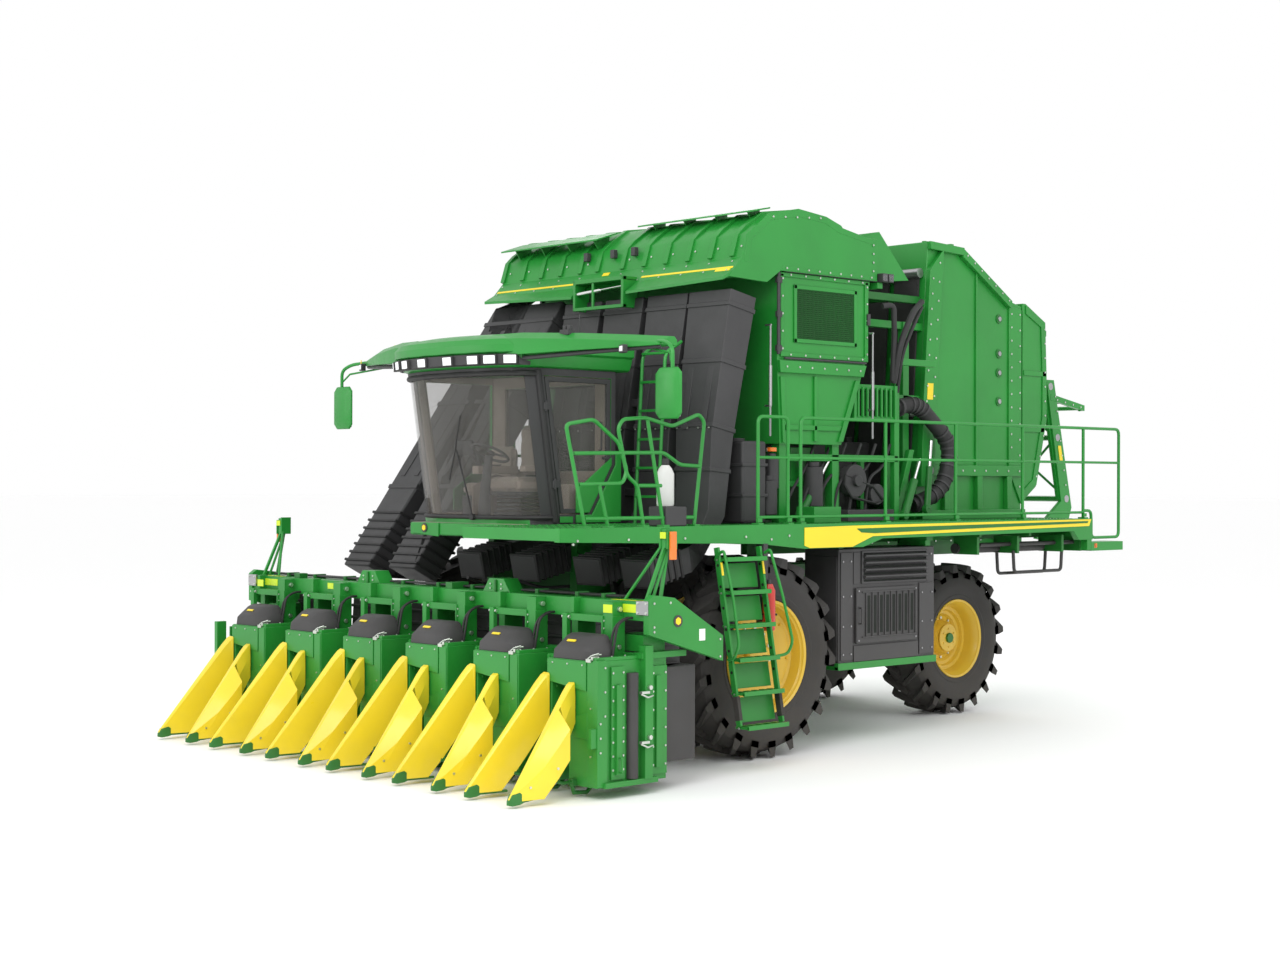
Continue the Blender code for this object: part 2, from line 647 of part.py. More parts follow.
def decks():
    plate_low = DECK_TOP - DECK_THICKNESS
    platform_inner = CAB_HALF + 0.05
    edge_in = DECK_EDGE - 0.07
    beam_low_front = DECK_TOP - 0.12
    front_plate = box((platform_inner, DECK_FRONT + 0.01, plate_low),
                      (edge_in + 0.02, PLATFORM_BACK_OF_DOOR, DECK_TOP - 0.002))
    walkway = box((WALKWAY_INNER, PLATFORM_BACK_OF_DOOR - 0.1, plate_low),
                  (edge_in + 0.02, DECK_BACK - 0.01, DECK_TOP - 0.003))
    beam_outline = [(DECK_FRONT, beam_low_front), (-0.20, 2.06), (0.43, 2.00), (1.30, 2.00), (1.60, 2.08),
                    (4.95, 2.10), (5.05, 2.00), (DECK_BACK, 2.00), (DECK_BACK, DECK_TOP),
                    (DECK_FRONT, DECK_TOP)]
    edge = side_plate(beam_outline, edge_in, DECK_EDGE)
    front_beam = box((platform_inner, DECK_FRONT, beam_low_front + 0.01),
                     (edge_in + 0.01, DECK_FRONT + 0.08, DECK_TOP - 0.004))
    bearer = box((platform_inner, -1.05, 2.09), (edge_in + 0.01, -0.95, plate_low + 0.01))
    stub = box((RAIL_X + RAIL_WIDTH / 2 + GAP, -1.04, 2.095), (platform_inner + 0.02, -0.96, 2.155))
    step_block = box((edge_in - 0.20, DECK_BACK - 0.02, 1.87), (DECK_EDGE - 0.004, 5.94, 1.97))
    hanger = box((edge_in - 0.02, DECK_BACK - 0.10, 1.88), (DECK_EDGE - 0.006, DECK_BACK - 0.012, 2.05))
    parts = [front_plate, walkway, edge, front_beam, bearer, stub, step_block, hanger]
    node("left_deck", parts, GREEN, machine)

    walkway = box((-edge_in - 0.02, 0.48, plate_low), (-WALKWAY_INNER, DECK_BACK - 0.01, DECK_TOP - 0.003))
    edge = side_plate([(0.45, 2.02), (4.95, 2.08), (5.05, 2.00), (DECK_BACK, 2.00), (DECK_BACK, DECK_TOP),
                       (0.45, DECK_TOP)], -DECK_EDGE, -edge_in)
    top, mid, low = DECK_TOP + 1.03, DECK_TOP + 0.70, DECK_TOP + 0.37
    x = -RAILING_X
    foot = DECK_TOP - 0.03
    posts = [((x, y, top), (x, y, foot)) for y in (0.60, 1.70, 2.80, 3.90, 5.20)]
    parts = railing([(x, 0.60, top), (x, 5.20, top)], posts,
                    [((x, 0.60, mid), (x, 5.20, mid)), ((x, 0.60, low), (x, 5.20, low))])
    node("right_deck", [walkway, edge, *parts], GREEN, machine)

    x = RAILING_X
    foot = DECK_TOP + GAP + RAILING_BAR * 0.6
    posts = [((x, y, top), (x, y, foot)) for y in (-0.18, 0.24, 0.42, 1.70, 2.85, 4.04, 5.20)]
    posts.append(((x, 5.92, top), (x, 5.92, 2.02)))
    parts = railing([(x, -0.18, top), (x, 5.92, top)], posts,
                    [((x, -0.18, mid - 0.06), (x, 5.92, mid - 0.06)),
                     ((x, -0.18, low - 0.30), (x, 5.20, low - 0.30))])
    parts.append(bar((x, 5.92, 2.02), (x, 5.36, 2.02), RAILING_BAR * 0.9))
    parts.append(bar((x, 5.36, 2.02), (x, 5.36, low - 0.30), RAILING_BAR * 0.9))
    parts.append(bar((x, 5.36, low - 0.30), (x, 5.20, low - 0.30), RAILING_BAR * 0.9))
    node("left_railing", parts, GREEN, machine)

    top = 3.17
    parts = railing([(x, -2.59, 3.12), (x, -2.38, top), (x, -1.75, 3.19), (x, -1.55, 2.98), (x, -1.30, 2.98),
                     (x, -0.98, 3.19)],
                    [((x, -2.59, 3.12), (x, -2.45, foot)), ((x, -1.75, 3.19), (x, -1.60, foot)),
                     ((x, -0.98, 3.19), (x, -1.06, foot))],
                    [((x, -2.53, 2.72), (x, -1.03, 2.72)), ((x, -2.45, foot), (x, -1.06, foot))])
    node("front_railing", parts, GREEN, machine)


def ladders():
    top = Vector((2.42, 0, 2.04))
    foot = Vector((2.72, 0, 0.42))
    width = 0.56
    middle_y = -0.575
    parts = []
    for y in (middle_y - width / 2, middle_y + width / 2):
        parts.append(bar((top.x, y, top.z), (foot.x, y, foot.z), 0.05, 0.025))
    for step in range(6):
        share = 0.06 + 0.94 * step / 5
        place = top.lerp(foot, share)
        parts.append(box((place.x - 0.07, middle_y - width / 2, place.z - 0.03),
                         (place.x + 0.11, middle_y + width / 2, place.z + 0.01)))
    node("ladder", parts, GREEN, ladder_frame)

    parts = []
    for x in (1.06, 1.38):
        parts.append(bar((x, -0.62, DECK_TOP + 0.03), (x, -0.52, 3.98), 0.032))
    for step in range(6):
        z = 2.50 + 0.28 * step
        y = -0.62 + 0.10 * (z - DECK_TOP) / 1.74
        parts.append(bar((1.06, y, z), (1.38, y, z), 0.026))
    node("roof_ladder", parts, GREEN, machine)


# ---------------------------------------------------------------- header
def row_positions():
    first = -(ROW_COUNT - 1) / 2 * ROW_SPACING
    return [first + i * ROW_SPACING for i in range(ROW_COUNT)]


def level_ring(x, half, y_front, y_back, z):
    """Four corners of a level rectangle, for a loft."""
    return [Vector((x - half, y_front, z)), Vector((x + half, y_front, z)),
            Vector((x + half, y_back, z)), Vector((x - half, y_back, z))]


def header_frame():
    toolbar = box((-TOOLBAR_HALF + 0.06, TOOLBAR_FRONT, TOOLBAR_LOW),
                  (TOOLBAR_HALF - 0.06, TOOLBAR_BACK, TOOLBAR_HIGH))
    parts = [toolbar]
    end_outline = [(-2.39, 1.36), (-1.50, 1.09), (-1.50, 1.31), (-2.09, 1.66), (-2.33, 1.69), (-2.39, 1.65)]
    for side in (1, -1):
        low_x, high_x = sorted((side * (TOOLBAR_HALF - 0.065), side * TOOLBAR_HALF))
        parts.append(side_plate(end_outline, low_x, high_x))
        arm = bar((side * LIFT_ARM_X, LIFT_PIVOT_Y, LIFT_PIVOT_Z), (side * LIFT_ARM_X, -2.16, 1.52), 0.16,
                  0.11)
        parts.append(arm)
        # hump over the lift arms' anchor, narrowing to its top
        low_ring = (side * HUMP_X, 0.21, TOOLBAR_HIGH - 0.02)
        high_ring = (side * HUMP_X, 0.105, HUMP_HIGH)
        parts.append(loft([level_ring(x, half, TOOLBAR_FRONT + 0.05, TOOLBAR_BACK - 0.05, z)
                           for x, half, z in (low_ring, high_ring)]))
        # marker stand
        foot_x = side * 3.00
        parts.append(bar((foot_x, -2.30, TOOLBAR_HIGH - 0.02), (foot_x, -2.05, 2.14), 0.026))
        parts.append(bar((foot_x, -2.13, TOOLBAR_HIGH - 0.02), (foot_x, -2.03, 2.13), 0.024))
        low_x, high_x = sorted((side * 2.97, side * 3.03))
        parts.append(box((low_x, -2.09, 2.08), (high_x, -1.99, 2.24)))
    parts.append(rod((-0.575, LIFT_PIVOT_Y, LIFT_PIVOT_Z), (0.575, LIFT_PIVOT_Y, LIFT_PIVOT_Z), 0.085, 10))
    for row in row_positions():
        # the two hangers of a picking unit
        parts.append(box((row + 0.14, TOOLBAR_FRONT - 0.12, UNIT_HIGH + GAP),
                         (row + 0.26, TOOLBAR_FRONT + 0.02, TOOLBAR_HIGH - 0.01)))
        parts.append(box((row - 0.44, TOOLBAR_FRONT + 0.03, UNIT_HIGH + GAP),
                         (row - 0.36, TOOLBAR_BACK - 0.03, TOOLBAR_LOW + 0.02)))
    node("header_frame", parts, GREEN, header)


def header_ducts():
    """Suction doors behind the picking units and the boots that lead up to the air ducts."""
    door_high = DUCT_DOOR_HIGH
    parts = [box((-2.80, -1.90, door_high - 0.02), (2.80, -1.86, door_high + 0.06))]
    for row in row_positions():
        parts.append(box((row - DUCT_DOOR_HALF, UNIT_BACK + GAP, DUCT_DOOR_LOW),
                         (row + DUCT_DOOR_HALF, DUCT_BOX_BACK, door_high)))
        boot = [(-2.00, door_high - 0.05), (DUCT_BOX_BACK - 0.01, door_high - 0.05), (-1.72, 1.60),
                (-1.96, 1.60)]
        parts.append(side_plate(boot, row - BOOT_HALF, row + BOOT_HALF))
    node("header_ducts", parts, CHARCOAL, header)


def row_units():
    for number, row in enumerate(row_positions(), start=1):
        body = box((row - UNIT_HALF, UNIT_FRONT, UNIT_LOW), (row + UNIT_HALF, UNIT_BACK, UNIT_HIGH))
        middle = row + DOME_OFFSET
        dome = loft([level_ring(middle, 0.255, UNIT_FRONT + 0.01, DOME_BACK, UNIT_HIGH - 0.02),
                     level_ring(middle, 0.240, UNIT_FRONT + 0.03, DOME_BACK, DOME_LOW),
                     level_ring(middle, 0.190, UNIT_FRONT + 0.12, DOME_BACK - 0.01, DOME_HIGH)])
        throat = box((row - THROAT_HALF, UNIT_FRONT - 0.1, UNIT_LOW - 0.1),
                     (row + THROAT_HALF, UNIT_BACK - 0.18, THROAT_HIGH))
        # the right-hand corner of the unit stands back behind the wide divider
        corner = box((row - UNIT_HALF - 0.1, UNIT_FRONT - 0.1, UNIT_LOW - 0.1),
                     (row - THROAT_HALF - THROAT_WALL, CORNER_FRONT, UNIT_HIGH + 0.1))
        node(f"row_unit_{number}", [body, dome], GREEN, header, [throat, corner])
        dividers(number, row)


def dividers(number, row):
    """The pair of pointed row dividers of one unit, on their mounting strap."""
    face = UNIT_FRONT - 0.004
    parts = []
    for side, inner, reach, high, shoulder in ((-1, 0.115, 0.245, 1.06, 0.40), (1, 0.115, 0.155, 1.00, 0.62)):
        tip_x = row + side * DIVIDER_OFFSET
        rings = []
        for share, spread in DIVIDER_SPREAD:
            y = -TIP_REACH + (face + TIP_REACH) * share
            x_in = tip_x + (row + side * inner - tip_x) * share - side * 0.010 * (1 - share)
            x_top = x_in + side * (0.014 + 0.066 * share)
            x_out = x_top + side * (0.010 + reach * spread)
            z_low = 0.05 + 0.57 * max(0.0, (share - 0.42) / 0.58) ** 1.1
            z_top = 0.09 + (high - 0.09) * share
            z_side = z_low + (z_top - z_low) * shoulder
            rings.append([Vector((x_in, y, z_low)), Vector((x_in, y, z_top - 0.02)),
                          Vector((x_top, y, z_top)), Vector((x_out, y, z_side)), Vector((x_out, y, z_low))])
        parts.append(loft(rings))
    strap = box((row - 0.30, face - 0.03, THROAT_HIGH + 0.005), (row + 0.30, face - 0.001, STRAP_HIGH))
    node(f"dividers_{number}", [*parts, strap], YELLOW, header)


# ---------------------------------------------------------------- air ducts
def duct(path, widths, depths):
    """A rectangular duct through (x, y, z) points; its section stays level across the machine."""
    rings = []
    for i, here in enumerate(path):
        before = Vector(path[max(0, i - 1)])
        after = Vector(path[min(len(path) - 1, i + 1)])
        along = after - before
        along.x = 0
        along.normalize()
        across = Vector((0, along.z, -along.y))
        half_w = Vector((widths[i] / 2, 0, 0))
        half_d = across * depths[i] / 2
        centre = Vector(here)
        rings.append([centre - half_w - half_d, centre + half_w - half_d, centre + half_w + half_d,
                      centre - half_w + half_d])
    return loft(rings)


def ducts():
    # outer pair on the right: straight slanted runs beside the cab
    parts = []
    for low_x, high_x in ((-2.36, -1.53), (-1.54, -0.97)):
        parts.append(duct([(low_x, -1.40, 1.66), (high_x, 0.10, 4.49)], (0.46, 0.585), (0.34, 0.36)))
    parts.append(box((-2.00, -0.36, 3.72), (-1.20, -0.20, 3.80)))
    node("right_ducts", parts, CHARCOAL, machine)
    # the other four run back under the cab and the platform, then rise behind them
    parts = []
    for low_x, mid_x, high_x in ((-0.42, -0.33, -0.33), (0.42, 0.33, 0.31), (1.36, 0.98, 0.95),
                                 (2.02, 1.58, 1.55)):
        path = [(low_x, -1.50, 1.80), (low_x, -0.98, 1.925), (mid_x, -0.46, 2.00), (mid_x, -0.24, 2.34),
                (mid_x, -0.18, 3.10), (high_x, 0.10, 4.49)]
        parts.append(duct(path, (0.36, 0.36, 0.44, 0.46, 0.50, 0.58), (0.24, 0.24, 0.20, 0.24, 0.30, 0.36)))
    parts.append(box((-0.30, -0.30, 2.50), (1.60, -0.16, 2.58)))
    parts.append(box((-0.30, -0.22, 3.40), (1.58, -0.04, 3.48)))
    node("left_ducts", parts, CHARCOAL, machine)


# ---------------------------------------------------------------- accumulator and module builder
def accumulator():
    outline = [(-0.12, 4.64), (0.42, 4.62), (0.62, 4.75), (2.10, 4.75), (2.10, 5.19), (1.62, 5.19),
               (1.53, 5.28),
               (1.30, 5.35), (0.88, 5.39), (0.46, 5.31), (0.127, 5.07), (0.06, 4.84)]
    hood = side_plate(outline, -HOOD_HALF, HOOD_HALF)
    inside = [(-0.04, 4.55), (0.40, 4.55), (0.64, 4.55), (2.06, 4.55), (2.06, 5.15), (1.60, 5.15),
              (1.51, 5.24),
              (1.29, 5.31), (0.88, 5.35), (0.49, 5.27), (0.17, 5.05), (0.10, 4.82)]
    hollow = side_plate(inside, -HOOD_HALF + HOOD_WALL, HOOD_HALF - HOOD_WALL)
    chute = side_plate([(1.66, 5.10), (2.60, 5.31), (2.60, 5.35), (1.64, 5.185)], -1.45, 1.45)
    cheek = [(2.05, 4.76), (3.10, 4.86), (2.60, 5.35), (2.05, 5.18)]
    cheeks = [side_plate(cheek, 1.42, 1.46), side_plate(cheek, -1.46, -1.42)]
    rear_wall = box((-1.46, 2.04, 4.76), (1.46, 2.11, 5.26))
    node("accumulator_hood", [hood, chute, *cheeks, rear_wall], GREEN, machine, [hollow])

    profile = [(0.62, 3.88), (0.66, BIN_LOW), (1.59, BIN_LOW), (1.97, 3.88), (2.03, 4.745), (0.62, 4.745)]
    outer = side_plate(profile, -BIN_HALF, BIN_HALF)
    inside = [(0.67, 3.88), (0.71, BIN_LOW + 0.05), (1.57, BIN_LOW + 0.05), (1.92, 3.88), (1.98, 4.90),
              (0.67, 4.90)]
    inner = side_plate(inside, -BIN_HALF + 0.05, BIN_HALF - 0.05)
    legs = []
    for y in (0.70, 1.50):
        legs += both_sides(box, (1.66, y, DECK_TOP + GAP), (1.76, y + 0.10, BIN_LOW + 0.02))
    node("accumulator_body", [outer, *legs], GREEN, machine, [inner])

    tank = box((1.30, 0.10, DECK_TOP + GAP), (1.83, 0.44, 3.05))
    node("water_tank", [tank], CHARCOAL, machine)


def module_builder():
    foot = DECK_TOP + GAP
    profile = [(3.16, foot), (5.12, foot), (5.12, 4.70), (4.86, 4.76), (3.96, 5.28), (3.39, 5.31),
               (3.36, 5.01)]
    outer = side_plate(profile, -CHAMBER_HALF, CHAMBER_HALF)
    wall = CHAMBER_WALL
    inner = side_plate([(3.24, foot + wall), (5.30, foot + wall), (5.30, 4.60), (4.83, 4.70), (3.94, 5.21),
                        (3.45, 5.24),
                        (3.43, 5.00)], -CHAMBER_HALF + wall, CHAMBER_HALF - wall)
    node("module_chamber", [outer], GREEN, machine, [inner])

    front = GATE_FRONT
    profile = [(front, 2.42), (5.42, 2.60), (5.62, 3.40), (5.62, 3.90), (5.59, 4.55), (5.21, 4.74),
               (front, 4.74)]
    outer = side_plate(profile, -CHAMBER_HALF, CHAMBER_HALF)
    inner = side_plate([(5.05, 2.52), (5.38, 2.66), (5.56, 3.42), (5.56, 3.90), (5.53, 4.51), (5.20, 4.68),
                        (5.05, 4.68)],
                       -CHAMBER_HALF + wall, CHAMBER_HALF - wall)
    lugs = []
    for x in (-1.25, 1.19):
        lugs.append(side_plate([(5.08, 4.80), (5.15, 4.71), (5.30, 4.69), (5.16, 4.88), (5.09, 4.88)], x,
                               x + 0.06))
    node("tailgate", [outer, *lugs], GREEN, gate_frame, [inner])

    parts = []
    for side in (1, -1):
        low_x, high_x = sorted((side * (HANDLER_HALF - 0.05), side * HANDLER_HALF))
        parts.append(side_plate([(5.93, 1.97), (6.06, 1.95), (6.60, 2.20), (6.66, 2.34), (6.28, 3.90),
                                 (6.13, 3.90),
                                 (6.44, 2.42), (5.96, 2.09)], low_x, high_x))
        parts.append(side_plate([(6.20, 3.66), (HANDLER_REACH, 3.54), (HANDLER_REACH, 3.61), (6.22, 3.73)],
                                low_x + 0.002, high_x + 0.004))
    for y, z in ((6.00, 2.02), (6.55, 2.45), (6.36, 3.20), (6.21, 3.82)):
        parts.append(rod((-HANDLER_HALF + 0.02, y, z), (HANDLER_HALF - 0.02, y, z), 0.035, 8))
    node("module_handler", parts, GREEN, handler_frame)


def side_panels():
    cabinet = box((CABINET_INNER, 1.10, CABINET_LOW), (CABINET_OUTER, 2.62, CABINET_HIGH))
    node("side_cabinet", [cabinet], CHARCOAL, machine)
    node("service_door", [box((CABINET_OUTER + 0.006, 1.34, 1.02), (CABINET_OUTER + 0.032, 2.30, 1.58))],
         CHARCOAL, service_frame)
    tank = box((-CABINET_OUTER, 1.10, CABINET_LOW), (-CABINET_INNER, 2.62, CABINET_HIGH))
    node("fuel_tank", [tank], CHARCOAL, machine)


wheels()
axles()
chassis()
cab()
roof()
decks()
ladders()
header_frame()
header_ducts()
row_units()
ducts()
accumulator()
module_builder()
side_panels()
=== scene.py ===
"""Cotton picker machine: the finished surfaces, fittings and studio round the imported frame."""
import json
import math

import bmesh
import bpy
from bpy.props import FloatProperty, FloatVectorProperty, IntProperty, PointerProperty
from mathutils import Matrix, Vector

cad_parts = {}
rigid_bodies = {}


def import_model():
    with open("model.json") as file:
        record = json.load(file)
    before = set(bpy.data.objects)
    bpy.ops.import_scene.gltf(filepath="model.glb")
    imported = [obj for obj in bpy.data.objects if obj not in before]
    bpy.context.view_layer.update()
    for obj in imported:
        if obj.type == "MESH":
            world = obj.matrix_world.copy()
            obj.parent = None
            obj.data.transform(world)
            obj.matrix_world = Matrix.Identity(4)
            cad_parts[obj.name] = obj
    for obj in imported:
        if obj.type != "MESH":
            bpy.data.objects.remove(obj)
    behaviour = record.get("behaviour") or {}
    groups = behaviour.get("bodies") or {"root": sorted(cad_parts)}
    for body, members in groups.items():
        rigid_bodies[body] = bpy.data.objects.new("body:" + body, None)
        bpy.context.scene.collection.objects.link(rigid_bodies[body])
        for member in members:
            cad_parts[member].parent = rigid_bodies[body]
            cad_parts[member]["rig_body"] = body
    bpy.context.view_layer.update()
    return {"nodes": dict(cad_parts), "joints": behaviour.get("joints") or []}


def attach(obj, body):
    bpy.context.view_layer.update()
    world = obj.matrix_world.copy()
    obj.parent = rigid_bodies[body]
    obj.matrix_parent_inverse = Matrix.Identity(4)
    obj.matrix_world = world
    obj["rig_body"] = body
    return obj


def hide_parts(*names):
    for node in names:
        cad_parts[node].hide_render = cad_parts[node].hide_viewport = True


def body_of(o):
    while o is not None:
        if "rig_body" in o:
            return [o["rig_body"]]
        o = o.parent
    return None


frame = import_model()

bl_info = {
    "name": "Cotton Picker Machine",
    "version": (1, 0, 0),
    "blender": (4, 5, 0),
    "location": "3D View > Sidebar > Picker",
    "description": "Finished surfaces, fittings and studio for a six-row cotton picker with a module builder",
    "category": "Object",
}

JOINTS = {joint["name"]: joint for joint in frame["joints"]}
AXLE_Y = JOINTS["front_left_wheel_spin"]["pos_m"][1]
ROWS = 6
ROW_SPACING = 1.016
DOOR_BACK = -1.680


def here(x, y, z):
    """A place given from the front axle line, on the ground, in the frame's own metres."""
    return Vector((x, y + AXLE_Y, z))


def row_places():
    return [(i - (ROWS - 1) / 2) * ROW_SPACING for i in range(ROWS)]


# ---------------------------------------------------------------- properties
class CottonPickerPaints(bpy.types.PropertyGroup):
    """Colours of the machine's finishes."""

    green: FloatVectorProperty(name="Body green", description="Paint of the sheet metal and frames",
                               subtype="COLOR", size=3, min=0, max=1, default=(0.012, 0.245, 0.028))
    yellow: FloatVectorProperty(name="Divider yellow", description="Row dividers and stripes",
                                subtype="COLOR", size=3, min=0, max=1, default=(0.88, 0.67, 0.02))
    rim: FloatVectorProperty(name="Rim yellow", description="Wheel rims and hubs", subtype="COLOR",
                             size=3, min=0, max=1, default=(0.72, 0.47, 0.03))
    charcoal: FloatVectorProperty(name="Charcoal", description="Ducts, covers and cabinets", subtype="COLOR",
                                  size=3, min=0, max=1, default=(0.036, 0.036, 0.038))
    tyre: FloatVectorProperty(name="Tyre rubber", description="Tyres and hoses", subtype="COLOR",
                              size=3, min=0, max=1, default=(0.022, 0.022, 0.023))
    trim: FloatVectorProperty(name="Cab trim", description="Seat cloth and cab lining", subtype="COLOR",
                              size=3, min=0, max=1, default=(0.36, 0.30, 0.25))


class CottonPickerSizes(bpy.types.PropertyGroup):
    """Sizes a user may want to change."""

    lug_height: FloatProperty(name="Lug height", description="Height of the tyre lugs", unit="LENGTH",
                              min=0.02, max=0.07, default=0.048)
    front_lugs: IntProperty(name="Front lugs", description="Lugs on each side of a front tyre", min=12,
                            max=40, default=22)
    rear_lugs: IntProperty(name="Rear lugs", description="Lugs on each side of a rear tyre", min=12, max=40,
                           default=20)
    rail_radius: FloatProperty(name="Rail radius", description="Radius of the railing tubes", unit="LENGTH",
                               min=0.01, max=0.02, default=0.0175)


# ---------------------------------------------------------------- materials
LOOKS = {}
DRIFT_SCALE = 1.2                       # size of the slow patches of tone in a coat
DUST_HIGH = 2.2                         # height in metres at which the road dust has thinned out
DUST_COLOUR = (0.30, 0.25, 0.18, 1)


def node_of(tree, kind, **values):
    made = tree.nodes.new(kind)
    for name, value in values.items():
        setattr(made, name, value)
    return made


def coat(name, colour, roughness, metallic=0.0, grain=60.0, bump=0.03, tone=0.10, dust=0.10,
         coat_weight=0.0):
    """A painted or moulded surface: slow drift of tone, fine grain, patchy gloss and road dust low down."""
    look = bpy.data.materials.new(name)
    look.use_nodes = True
    tree = look.node_tree
    shader = tree.nodes["Principled BSDF"]
    shader.inputs["Metallic"].default_value = metallic
    shader.inputs["Coat Weight"].default_value = coat_weight
    shader.inputs["Coat Roughness"].default_value = 0.12
    place = node_of(tree, "ShaderNodeTexCoord")
    drift = node_of(tree, "ShaderNodeTexNoise")
    drift.inputs["Scale"].default_value = DRIFT_SCALE
    drift.inputs["Detail"].default_value = 4
    tree.links.new(place.outputs["Object"], drift.inputs["Vector"])
    ramp = node_of(tree, "ShaderNodeValToRGB")
    dark = [max(0.0, c * (1 - tone)) for c in colour]
    light = [min(1.0, c * (1 + tone)) for c in colour]
    ramp.color_ramp.elements[0].position = 0.35
    ramp.color_ramp.elements[0].color = (*dark, 1)
    ramp.color_ramp.elements[1].position = 0.65
    ramp.color_ramp.elements[1].color = (*light, 1)
    tree.links.new(drift.outputs["Fac"], ramp.inputs["Fac"])
    # dust that thins out with height
    height = node_of(tree, "ShaderNodeSeparateXYZ")
    tree.links.new(place.outputs["Object"], height.inputs["Vector"])
    low = node_of(tree, "ShaderNodeMapRange")
    low.inputs["From Min"].default_value = 0.0
    low.inputs["From Max"].default_value = DUST_HIGH
    low.inputs["To Min"].default_value = dust
    low.inputs["To Max"].default_value = dust * 0.12
    tree.links.new(height.outputs["Z"], low.inputs["Value"])
    speck = node_of(tree, "ShaderNodeTexNoise")
    speck.inputs["Scale"].default_value = 7.0
    speck.inputs["Detail"].default_value = 8
    speck.inputs["Roughness"].default_value = 0.7
    tree.links.new(place.outputs["Object"], speck.inputs["Vector"])
    amount = node_of(tree, "ShaderNodeMath", operation="MULTIPLY")
    tree.links.new(low.outputs["Result"], amount.inputs[0])
    tree.links.new(speck.outputs["Fac"], amount.inputs[1])
    mix = node_of(tree, "ShaderNodeMix", data_type="RGBA")
    tree.links.new(amount.outputs["Value"], mix.inputs["Factor"])
    tree.links.new(ramp.outputs["Color"], mix.inputs[6])
    mix.inputs[7].default_value = DUST_COLOUR
    tree.links.new(mix.outputs[2], shader.inputs["Base Color"])
    # gloss varies a little
    gloss = node_of(tree, "ShaderNodeMapRange")
    gloss.inputs["From Min"].default_value = 0.3
    gloss.inputs["From Max"].default_value = 0.7
    gloss.inputs["To Min"].default_value = max(0.02, roughness - 0.06)
    gloss.inputs["To Max"].default_value = min(1.0, roughness + 0.08)
    tree.links.new(speck.outputs["Fac"], gloss.inputs["Value"])
    tree.links.new(gloss.outputs["Result"], shader.inputs["Roughness"])
    fine = node_of(tree, "ShaderNodeTexNoise")
    fine.inputs["Scale"].default_value = grain
    fine.inputs["Detail"].default_value = 3
    tree.links.new(place.outputs["Object"], fine.inputs["Vector"])
    relief = node_of(tree, "ShaderNodeBump")
    relief.inputs["Strength"].default_value = bump * 4
    relief.inputs["Distance"].default_value = 0.002
    tree.links.new(fine.outputs["Fac"], relief.inputs["Height"])
    tree.links.new(relief.outputs["Normal"], shader.inputs["Normal"])
    LOOKS[name] = look
    return look


def woven(name, colour):
    """Seat cloth: a fine two-way weave with a soft sheen."""
    look = coat(name, colour, 0.85, grain=240.0, bump=0.10, tone=0.12, dust=0.0)
    tree = look.node_tree
    shader = tree.nodes["Principled BSDF"]
    shader.inputs["Sheen Weight"].default_value = 0.25
    relief = next(n for n in tree.nodes if n.type == "BUMP")
    place = next(n for n in tree.nodes if n.type == "TEX_COORD")
    across = node_of(tree, "ShaderNodeTexWave", bands_direction="X")
    along = node_of(tree, "ShaderNodeTexWave", bands_direction="Z")
    for wave in (across, along):
        wave.inputs["Scale"].default_value = 60.0
        tree.links.new(place.outputs["Object"], wave.inputs["Vector"])
    both = node_of(tree, "ShaderNodeMath", operation="MULTIPLY")
    tree.links.new(across.outputs["Fac"], both.inputs[0])
    tree.links.new(along.outputs["Fac"], both.inputs[1])
    tree.links.new(both.outputs["Value"], relief.inputs["Height"])
    return look


def clear_glass(name, tint, roughness=0.02, alpha=0.42):
    """Tinted cab glass, see-through, with a faint smear in its gloss."""
    look = bpy.data.materials.new(name)
    look.use_nodes = True
    tree = look.node_tree
    shader = tree.nodes["Principled BSDF"]
    shader.inputs["Base Color"].default_value = (*tint, 1)
    shader.inputs["IOR"].default_value = 1.5
    shader.inputs["Specular IOR Level"].default_value = 0.5
    shader.inputs["Alpha"].default_value = alpha
    place = node_of(tree, "ShaderNodeTexCoord")
    smear = node_of(tree, "ShaderNodeTexNoise")
    smear.inputs["Scale"].default_value = 2.5
    smear.inputs["Detail"].default_value = 5
    tree.links.new(place.outputs["Object"], smear.inputs["Vector"])
    gloss = node_of(tree, "ShaderNodeMapRange")
    gloss.inputs["To Min"].default_value = roughness
    gloss.inputs["To Max"].default_value = roughness + 0.03
    tree.links.new(smear.outputs["Fac"], gloss.inputs["Value"])
    tree.links.new(gloss.outputs["Result"], shader.inputs["Roughness"])
    LOOKS[name] = look
    return look


def glow_lens(name, colour, strength):
    """A lamp lens with small prisms and a little light of its own."""
    look = coat(name, colour, 0.12, grain=90.0, bump=0.3, dust=0.0, coat_weight=0.5)
    shader = look.node_tree.nodes["Principled BSDF"]
    shader.inputs["Emission Color"].default_value = (*colour, 1)
    shader.inputs["Emission Strength"].default_value = strength
    return look


